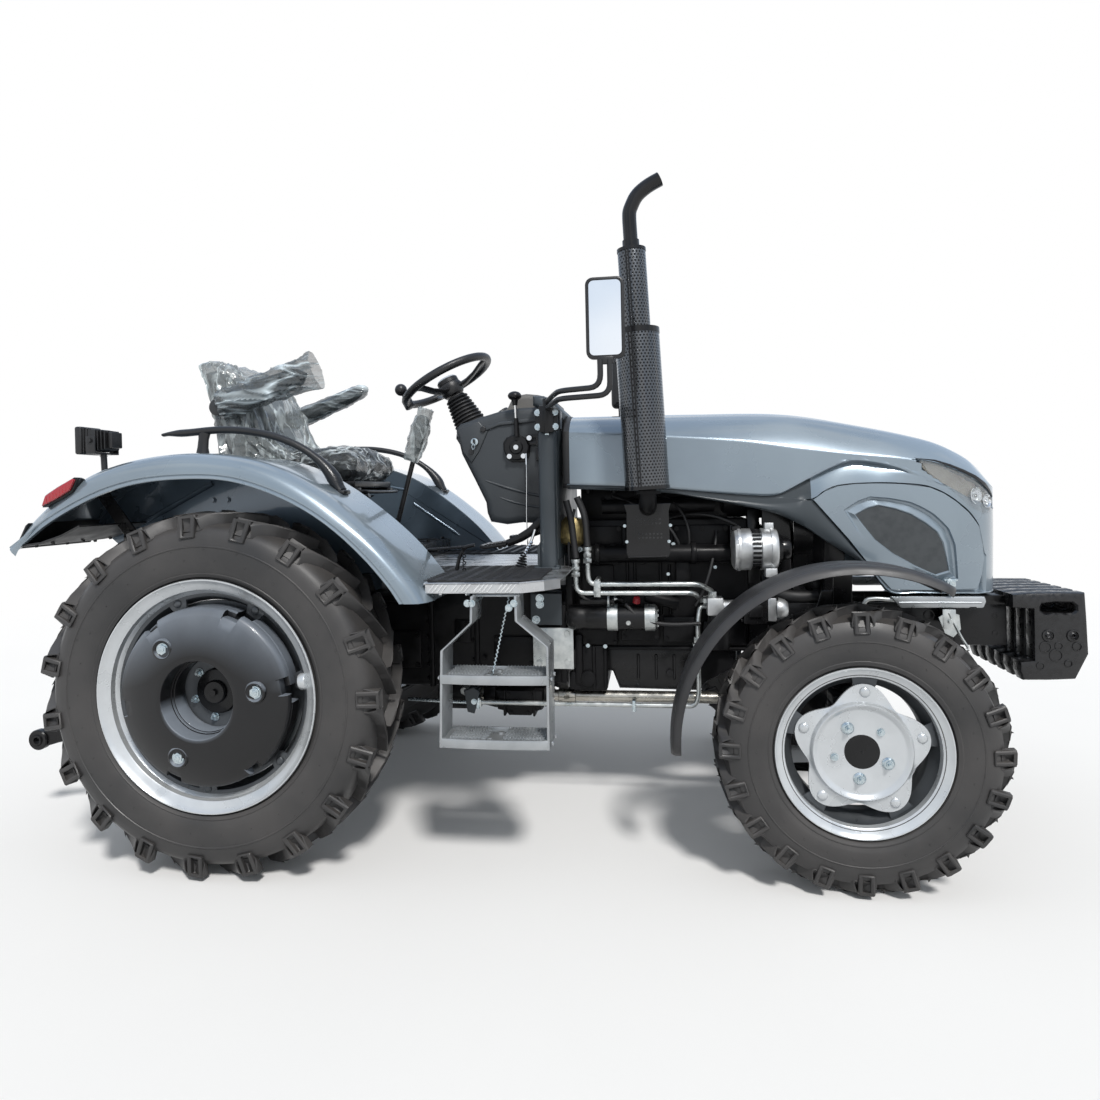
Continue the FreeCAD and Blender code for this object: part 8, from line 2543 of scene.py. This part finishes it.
# %% Front weights
SLAB = [(2.348, 0.733), (2.4, 0.737), (2.48, 0.738), (2.557, 0.737), (2.561, 0.66), (2.565, 0.549),
    (2.546, 0.51), (2.527, 0.471), (2.452, 0.467), (2.379, 0.466), (2.369, 0.495), (2.369, 0.524),
    (2.409, 0.529), (2.409, 0.607), (2.409, 0.686), (2.348, 0.69)]
SLOT = [(2.429, 0.69), (2.433, 0.702), (2.47, 0.706), (2.519, 0.706), (2.53, 0.697), (2.53, 0.69),
    (2.53, 0.683), (2.519, 0.674), (2.51, 0.674), (2.485, 0.674), (2.46, 0.674), (2.45, 0.674),
    (2.44, 0.674), (2.435, 0.678), (2.429, 0.683), (2.429, 0.687)]
for i in range(6):
    left, right = -0.197 + 0.0664 * i, -0.135 + 0.0664 * i
    rim = [(drawn_in(SLAB, 0.01), left), (drawn_in(SLAB, 0.003), left + 0.003), (SLAB, left + 0.01),
        (SLAB, right - 0.01), (drawn_in(SLAB, 0.003), right - 0.003), (drawn_in(SLAB, 0.01), right)]
    hand_hole = [(drawn_in(SLOT, -0.005), left), (SLOT, left + 0.006), (SLOT, right - 0.006),
        (drawn_in(SLOT, -0.005), right)]
    for layers in (rim, hand_hole):
        loft(bm, [side_view(outline, y) for outline, y in layers], caps=False)
    for y, way in ((left, -1), (right, 1)):
        open_edges = [e for e in bm.edges if e.is_boundary and all(abs(v.co.y - y) < 1e-5 for v in e.verts)]
        bmesh.ops.triangle_fill(bm, use_beauty=True, use_dissolve=False, edges=open_edges,
            normal=(0, way, 0))
bmesh.ops.remove_doubles(bm, verts=bm.verts, dist=1e-6)
bmesh.ops.recalc_face_normals(bm, faces=bm.faces)
for y, way in ((-0.197, -1), (0.197, 1)):
    for x in (2.449, 2.519):
        lathe(bm, [(0.0, -0.001), (0.006, 0.004), (0.011, 0.0), (0.013, -0.001), (0.0145, 0.004),
            (0.018, 0.0035), (0.02, -0.001)], (x, y, 0.606), axis=(0, way, 0), steps=28)
    for x, z, wide in ((2.44, 0.57, 0.018), (2.478, 0.574, 0.012), (2.53, 0.572, 0.014),
            (2.425, 0.512, 0.012), (2.47, 0.545, 0.02), (2.505, 0.52, 0.012)):
        lathe(bm, [(wide * 0.75, -0.001), (wide * 0.82, 0.0025), (wide, 0.002), (wide * 1.05, -0.001)],
            (x, y, z), axis=(0, way, 0), steps=14)
keep(bm, "front_ballast_slabs", "black_iron", material="pitted_iron", replaces=["front_weights"], smooth=34)

# %% [markdown]
# The front axle is a cast beam with a round differential off its middle. At each end a knuckle turns on
# a kingpin, with a bolted cap above and below, a steering arm to the rear, and the spindle. The track
# rod joins the two arms behind the axle.

# %% Axle and knuckles
FX, FZ = 1.784, 0.382
axle_profile = [(0.0, -0.47), (0.043, -0.47), (0.043, -0.4), (0.036, -0.36), (0.04, -0.225), (0.06, -0.19),
    (0.084, -0.172), (0.085, -0.12), (0.084, -0.07), (0.06, -0.05), (0.043, -0.02), (0.04, 0.2),
    (0.036, 0.36), (0.043, 0.4), (0.043, 0.47), (0.0, 0.47)]
lathe(bm, axle_profile, (FX, 0, FZ), steps=56)
bar(bm, (FX - 0.15, -0.12, FZ), (FX - 0.02, -0.12, FZ), 0.041, steps=32, bevel=0.004)
bar(bm, (FX - 0.118, -0.12, FZ), (FX - 0.08, -0.12, FZ), 0.06, steps=32, bevel=0.004)
bar(bm, (FX - 0.094, 0, FZ), (FX + 0.094, 0, FZ), 0.049, steps=32, bevel=0.004)
for a in turns(10):
    for y, way in ((-0.176, -1), (-0.064, 1)):
        bolt(bm, (FX + 0.07 * math.cos(a), y, FZ + 0.07 * math.sin(a)), (0, way, 0), 0.007)
for side in (-1, 1):
    y = side * 0.47
    bar(bm, (FX, y, 0.299), (FX, y, 0.471), 0.049, steps=36, bevel=0.005)
    for z in (0.316, 0.452):
        bar(bm, (FX, y, z - 0.006), (FX, y, z + 0.006), 0.0525, steps=36, bevel=0.002)
    rib = [Vector((FX - 0.004, side * 0.424, 0.43)), Vector((FX - 0.004, side * 0.3, 0.418)),
        Vector((FX - 0.004, side * 0.424, 0.46))]
    plate(bm, rib, (0.008, 0, 0), 0.001, 1)
keep(bm, "front_axle_casting", "black_iron", replaces=["front_axle"], smooth=40)

lug = [(FX - 0.049, -0.544), (FX + 0.049, -0.544), (FX + 0.05, -0.47), (FX + 0.04, -0.444),
    (FX + 0.022, -0.429), (FX - 0.022, -0.429), (FX - 0.04, -0.444), (FX - 0.05, -0.47)]
for z, high in ((0.269, 0.026), (0.475, 0.026)):
    plate(bm, [Vector((x, y, z)) for x, y in lug], (0, 0, high), 0.005, 2)
for z, way in ((0.501, 1), (0.269, -1)):
    bar(bm, (FX, -0.47, z), (FX, -0.47, z + way * 0.007), 0.032, steps=32, bevel=0.002)
    for k in range(4):
        a = math.pi * (k / 2 + 0.25)
        bolt(bm, (FX + 0.024 * math.cos(a), -0.47 + 0.024 * math.sin(a), z + way * 0.006), (0, 0, way),
            0.0055)
web = [(-0.524, 0.272), (-0.544, 0.272), (-0.545, 0.33), (-0.545, 0.44), (-0.544, 0.498), (-0.524, 0.498)]
plate(bm, [Vector((FX - 0.049, y, z)) for y, z in web], (0.098, 0, 0), 0.004, 2)
bar(bm, (FX, -0.47, 0.274), (FX, -0.47, 0.322), 0.0175, steps=20)
bar(bm, (FX, -0.47, 0.448), (FX, -0.47, 0.498), 0.0175, steps=20)
bar(bm, (FX, -0.521, FZ), (FX, -0.556, FZ), 0.052, tip=0.04, steps=36, bevel=0.004)
bar(bm, (FX, -0.55, FZ), (FX, -0.6, FZ), 0.0295, steps=28)
arm = [(FX - 0.03, -0.49), (FX - 0.03, -0.432), (FX - 0.1, -0.446), (FX - 0.168, -0.453),
    (FX - 0.172, -0.47), (FX - 0.168, -0.485), (FX - 0.1, -0.488)]
plate(bm, [Vector((x, y, 0.2695)) for x, y in arm], (0, 0, 0.013), 0.003, 2)
bar(bm, (FX - 0.155, -0.47, 0.2445), (FX - 0.155, -0.47, 0.288), 0.0085, steps=16)
bolt(bm, (FX - 0.155, -0.47, 0.283), (0, 0, 1), 0.011)
keep_pair(bm, "knuckle_casting", "black_iron", "knuckle", replaces=["knuckle"], smooth=38)

for side in (-1, 1):
    y = side * 0.47
    lathe(bm, [(0.0095, -0.011), (0.0185, -0.011), (0.02, -0.006), (0.02, 0.006), (0.0185, 0.011),
        (0.0095, 0.011)], (FX - 0.155, y, 0.2545), axis=(0, 0, 1), steps=32)
    bar(bm, (FX - 0.155, y - side * 0.017, 0.2545), (FX - 0.155, y - side * 0.07, 0.2545), 0.0145,
        tip=0.013, steps=20, bevel=0.002)
    bar(bm, (FX - 0.155, y - side * 0.074, 0.2545), (FX - 0.155, y - side * 0.088, 0.2545), 0.0165, steps=6,
        bevel=0.001)
bar(bm, (FX - 0.155, -0.4, 0.2545), (FX - 0.155, 0.4, 0.2545), 0.0105, steps=24)
keep(bm, "track_rod", "bare_steel", "tie_rod", replaces=["tie_rod"], smooth=40)

# %% [markdown]
# At the back are the axle housings and the three-point linkage. Each lower link is a flat forging with
# a ball in a thick eye at both ends. The lift arms sit on the ends of a cross shaft, and the lift rods
# between them are threaded into a long turnbuckle nut. The PTO shaft has real splines.

# %% Rear axle and linkage
lathe(bm, [(0.0, 0.138), (0.116, 0.138), (0.116, 0.152), (0.108, 0.158), (0.1, 0.25), (0.084, 0.395),
    (0.083, 0.44), (0.097, 0.446), (0.097, 0.464), (0.04, 0.464), (0.036, 0.4), (0.0, 0.4)], (0, 0, 0.525),
    axis=(0, -1, 0), steps=72)
blocks(bm, [(-69, -451, 560, 69, -397, 640)], 0.008)
for k in range(12):
    a = math.radians(30 * k + 15)
    bolt(bm, (0.108 * math.cos(a), -0.152, 0.525 + 0.108 * math.sin(a)), (0, -1, 0), 0.008)
    bolt(bm, (0.089 * math.cos(a), -0.446, 0.525 + 0.089 * math.sin(a)), (0, 1, 0), 0.007)
for k in range(6):
    a = math.radians(60 * k)
    way = Vector((math.cos(a), 0, math.sin(a)))
    rib = [way * 0.098 + Vector((0, -0.16, 0)), way * 0.115 + Vector((0, -0.158, 0)),
        way * 0.088 + Vector((0, -0.33, 0)), way * 0.08 + Vector((0, -0.33, 0))]
    push = way.cross(Vector((0, 1, 0))) * 0.01
    plate(bm, [p + Vector((0, 0, 0.525)) - push / 2 for p in rib], push, 0.002, 1)
keep(bm, "axle_housings_cast", "black_iron", replaces=["rear_axle_housings"], smooth=38, mirror=True)

pivot, end = Vector((-0.12, -0.23, 0.4)), Vector((-0.835, -0.4, 0.27))
way = (end - pivot).normalized()
up = Vector((0, 0, 1))
across = way.cross(up).normalized()
tall = across.cross(way).normalized()
LIFT = 0.33
share = LIFT / math.hypot(end.x - pivot.x, end.z - pivot.z)
link_pin = pivot.lerp(end, share)
arm_pin = Vector((-0.19, -0.313, 0.78)) + Vector((link_pin.x - pivot.x, 0, link_pin.z - pivot.z))
rings = []
for t, high, thick in ((0.035, 0.024, 0.01), (0.1, 0.022, 0.0105), (0.3, 0.0245, 0.0115),
        (0.45, 0.0255, 0.0115), (0.6, 0.0245, 0.0115), (0.88, 0.021, 0.0105), (0.965, 0.026, 0.01)):
    mid = pivot.lerp(end, t)
    ring = []
    for side, level in ((-1, -0.86), (-1, 0.86), (-0.7, 1), (0.7, 1), (1, 0.86), (1, -0.86), (0.7, -1),
            (-0.7, -1)):
        ring.append(mid + across * side * thick + tall * level * high)
    rings.append(ring)
loft(bm, rings)
for spot, outer, hole in ((pivot, 0.0315, 0.0145), (end, 0.0345, 0.0115)):
    lathe(bm, [(hole + 0.008, -0.0125), (outer - 0.003, -0.0135), (outer, -0.01), (outer, 0.01),
        (outer - 0.003, 0.0135), (hole + 0.008, 0.0125)], spot, axis=(0, 1, 0), steps=48)
    ball_ring = [(hole, -0.0165), (hole + 0.005, -0.0165), (hole + 0.0095, -0.009), (hole + 0.0105, 0.0),
        (hole + 0.0095, 0.009), (hole + 0.005, 0.0165), (hole, 0.0165)]
    lathe(bm, ball_ring, spot, axis=(0, 1, 0), steps=36)
bar(bm, link_pin, (link_pin.x, -0.353, link_pin.z), 0.0108, steps=20, bevel=0.001)
bar(bm, (link_pin.x, -0.354, link_pin.z), (link_pin.x, -0.36, link_pin.z), 0.0105, steps=20)
keep(bm, "lower_link_forgings", "black_metal", "lower_links", replaces=["lower_links"], smooth=34,
    mirror=True)

lift = Vector((-0.19, 0, 0.78))
top = Vector((arm_pin.x, 0, arm_pin.z))
along_arm = (top - lift).normalized()
above = Vector((-along_arm.z, 0, along_arm.x))
above = above if above.z > 0 else -above
outline = [lift + above * 0.034 - along_arm * 0.004, lift + along_arm * 0.1 + above * 0.036,
    lift + along_arm * 0.22 + above * 0.026, top + above * 0.019, top - above * 0.019,
    lift + along_arm * 0.22 - above * 0.024, lift + along_arm * 0.1 - above * 0.033,
    lift - above * 0.034 - along_arm * 0.004]
plate(bm, [Vector((p.x, -0.325, p.z)) for p in outline], (0, 0.024, 0), 0.004, 2)
bar(bm, (lift.x, -0.326, lift.z), (lift.x, -0.3, lift.z), 0.0415, steps=40, bevel=0.004)
bar(bm, (lift.x, -0.33, lift.z), (lift.x, -0.324, lift.z), 0.028, steps=28, bevel=0.002)
bar(bm, (top.x, -0.326, top.z), (top.x, -0.3, top.z), 0.0235, steps=32, bevel=0.003)
bar(bm, (top.x, -0.354, top.z), (top.x, -0.3, top.z), 0.0108, steps=20, bevel=0.001)
bar(bm, (top.x, -0.36, top.z), (top.x, -0.354, top.z), 0.015, steps=6, bevel=0.001)
both_sides(bm)
bar(bm, (lift.x, -0.31, lift.z), (lift.x, 0.31, lift.z), 0.0298, steps=36)
keep(bm, "lift_arm_forgings", "black_metal", "lift_arms", replaces=["lift_arms"], smooth=34)

low_end, high_end = Vector((link_pin.x, -0.339, link_pin.z)), Vector((arm_pin.x, -0.339, arm_pin.z))
for spot in (low_end, high_end):
    lathe(bm, [(0.0122, -0.0105), (0.019, -0.0105), (0.0215, -0.007), (0.0215, 0.007), (0.019, 0.0105),
        (0.0122, 0.0105)], spot, axis=(0, 1, 0), steps=36)
run = (high_end - low_end).normalized()
bar(bm, low_end + run * 0.019, high_end - run * 0.019, 0.009, steps=20)
bar(bm, low_end.lerp(high_end, 0.34), low_end.lerp(high_end, 0.7), 0.01, steps=20, bevel=0.002)
for t in (0.32, 0.69):
    bar(bm, low_end.lerp(high_end, t), low_end.lerp(high_end, t + 0.03), 0.0102, steps=6, bevel=0.001)
for k in range(16):
    a = low_end + run * (0.05 + 0.0045 * k)
    lathe(bm, [(0.0088, -0.0008), (0.0098, 0.0), (0.0088, 0.0008)], a, axis=run, steps=16)
keep(bm, "lift_rod_turnbuckles", "black_metal", "lift_rods", replaces=["lift_rods"], smooth=34, mirror=True)

teeth = []
for x in (-0.371, -0.31):
    ring = []
    for k in range(48):
        a = math.tau * k / 48
        deep = 0.0172 if k % 8 in (1, 2, 3, 4) else 0.015
        ring.append(Vector((x, deep * math.cos(a), 0.6 + deep * math.sin(a))))
    teeth.append(ring)
loft(bm, teeth)
bar(bm, (-0.311, 0, 0.6), (-0.243, 0, 0.6), 0.012, steps=28)
bar(bm, (-0.3135, 0, 0.6), (-0.3045, 0, 0.6), 0.0168, steps=28, bevel=0.001)
keep(bm, "pto_splines", "bare_steel", "pto_shaft", replaces=["pto_shaft"], smooth=30)

bar_rings = []
for x, half in ((-0.56, 0.03), (-0.552, 0.038), (-0.53, 0.04), (-0.15, 0.04)):
    bar_rings.append([Vector((x, -half, 0.355)), Vector((x, -half, 0.375)),
        Vector((x, -half + 0.004, 0.378)), Vector((x, half - 0.004, 0.378)), Vector((x, half, 0.375)),
        Vector((x, half, 0.355)), Vector((x, half - 0.004, 0.352)), Vector((x, -half + 0.004, 0.352))])
loft(bm, bar_rings)
lathe(bm, [(0.013, -0.0145), (0.024, -0.0145), (0.024, 0.0145), (0.013, 0.0145)], (-0.525, 0, 0.365),
    axis=(0, 0, 1), steps=36)
blocks(bm, [(-199, -59, 353, -61, 59, 404), (-190, -66, 380, -160, 66, 404),
    (-100, -66, 380, -70, 66, 404)], 0.004)
for x in (-0.175, -0.085):
    for y in (-0.048, 0.048):
        bolt(bm, (x, y, 0.353), (0, 0, -1), 0.01)
for y in (-0.045, 0.045):
    bolt(bm, (-0.4, y * 0.5, 0.378), (0, 0, 1), 0.01)
keep(bm, "drawbar_plates", "black_metal", replaces=["drawbar"])

# %% [markdown]
# A guard over the PTO and a few pipes on the lift housing finish the back. They are small, and they are
# what makes the rear look used rather than modelled.

# %% Rear details
guard = [Vector((-0.262, -0.105, 0.69)), Vector((-0.372, -0.09, 0.684)), Vector((-0.372, 0.09, 0.684)),
    Vector((-0.262, 0.105, 0.69))]
plate(bm, guard, (0, 0, 0.003), 0.001, 1)
for side in (-1, 1):
    cheek = [Vector((-0.262, side * 0.105, 0.69)), Vector((-0.372, side * 0.09, 0.684)),
        Vector((-0.35, side * 0.092, 0.64)), Vector((-0.262, side * 0.105, 0.58))]
    plate(bm, cheek, (0, -side * 0.003, 0), 0.001, 1)
    bolt(bm, (-0.262, side * 0.112, 0.64), (-1, 0, 0), 0.009)
for y in (-0.045, 0.045):
    bar(bm, (-0.262, y, 0.84), (-0.292, y, 0.84), 0.014, steps=6, bevel=0.001)
    bar(bm, (-0.292, y, 0.84), (-0.322, y, 0.84), 0.016, steps=24, bevel=0.002)
    tube(bm, [(-0.25, y, 0.84), (-0.2, y, 0.9), (-0.05, y * 2.0, 0.896), (0.11, y * 2.4, 0.88)], 0.006,
        steps=4, bend=0.03)
keep(bm, "pto_guard_and_couplers", "black_metal", smooth=36)

# %% [markdown]
# Pieces that are still shown as they came keep their shape, which is the shape of a casting or a forged
# bar already. They only take a finish, by the slot that the record gives each of them.

# %% Finishes on the remaining construction pieces
for part in frame["record"]["subparts"]:
    name = part["node"]
    carried = bpy.data.objects.get(name)
    if carried is None or carried.type != "MESH":
        continue
    carried.data.materials.clear()
    carried.data.materials.append(FINISH.get(part["material_slot"], FINISH["black_metal"]))

# %% [markdown]
# The floor is a plain pale sheet that keeps the tractor's shadow. Away from the machine it should melt
# into the white behind, so its colour turns to plain white with distance, and no horizon shows. The
# camera, metal and glass see it white, but it throws less light back up than white paper would.

# %% Floor
bmesh.ops.create_grid(bm, x_segments=1, y_segments=1, size=40.0)
data = bpy.data.meshes.new("floor")
bm.to_mesh(data)
bm.free()
floor = bpy.data.objects.new("studio_floor", data)
scene.collection.objects.link(floor)
finish("floor_white", (0.88, 0.88, 0.88), (0.865, 0.865, 0.865), 0.9, spots=0.6, bump=0.0)
tree = FINISH["floor_white"].node_tree
spot = wire(tree, "TexCoord").outputs["Object"]
length = wire(tree, "VectorMath", {0: spot}, operation="LENGTH").outputs["Value"]
far = wire(tree, "MapRange", {"From Min": 2.4, "From Max": 7.0, "Value": length})
pale = wire(tree, "Emission", {0: (1, 1, 1, 1)})
rays = wire(tree, "LightPath").outputs
direct = wire(tree, "Math", {0: rays["Is Camera Ray"], 1: rays["Is Transmission Ray"]})
seen = wire(tree, "Math", {0: direct, 1: rays["Is Glossy Ray"]}, use_clamp=True)
dim = wire(tree, "BsdfDiffuse", {0: (0.4, 0.4, 0.4, 1)})
shaded = wire(tree, "MixShader", {0: seen, 1: dim, 2: tree.nodes["Principled BSDF"]})
swap = wire(tree, "MixShader", {0: far, 1: shaded, 2: pale})
feed(tree, tree.nodes["Material Output"], {0: swap})
data.materials.append(FINISH["floor_white"])

print("triangles made:", total["triangles"])
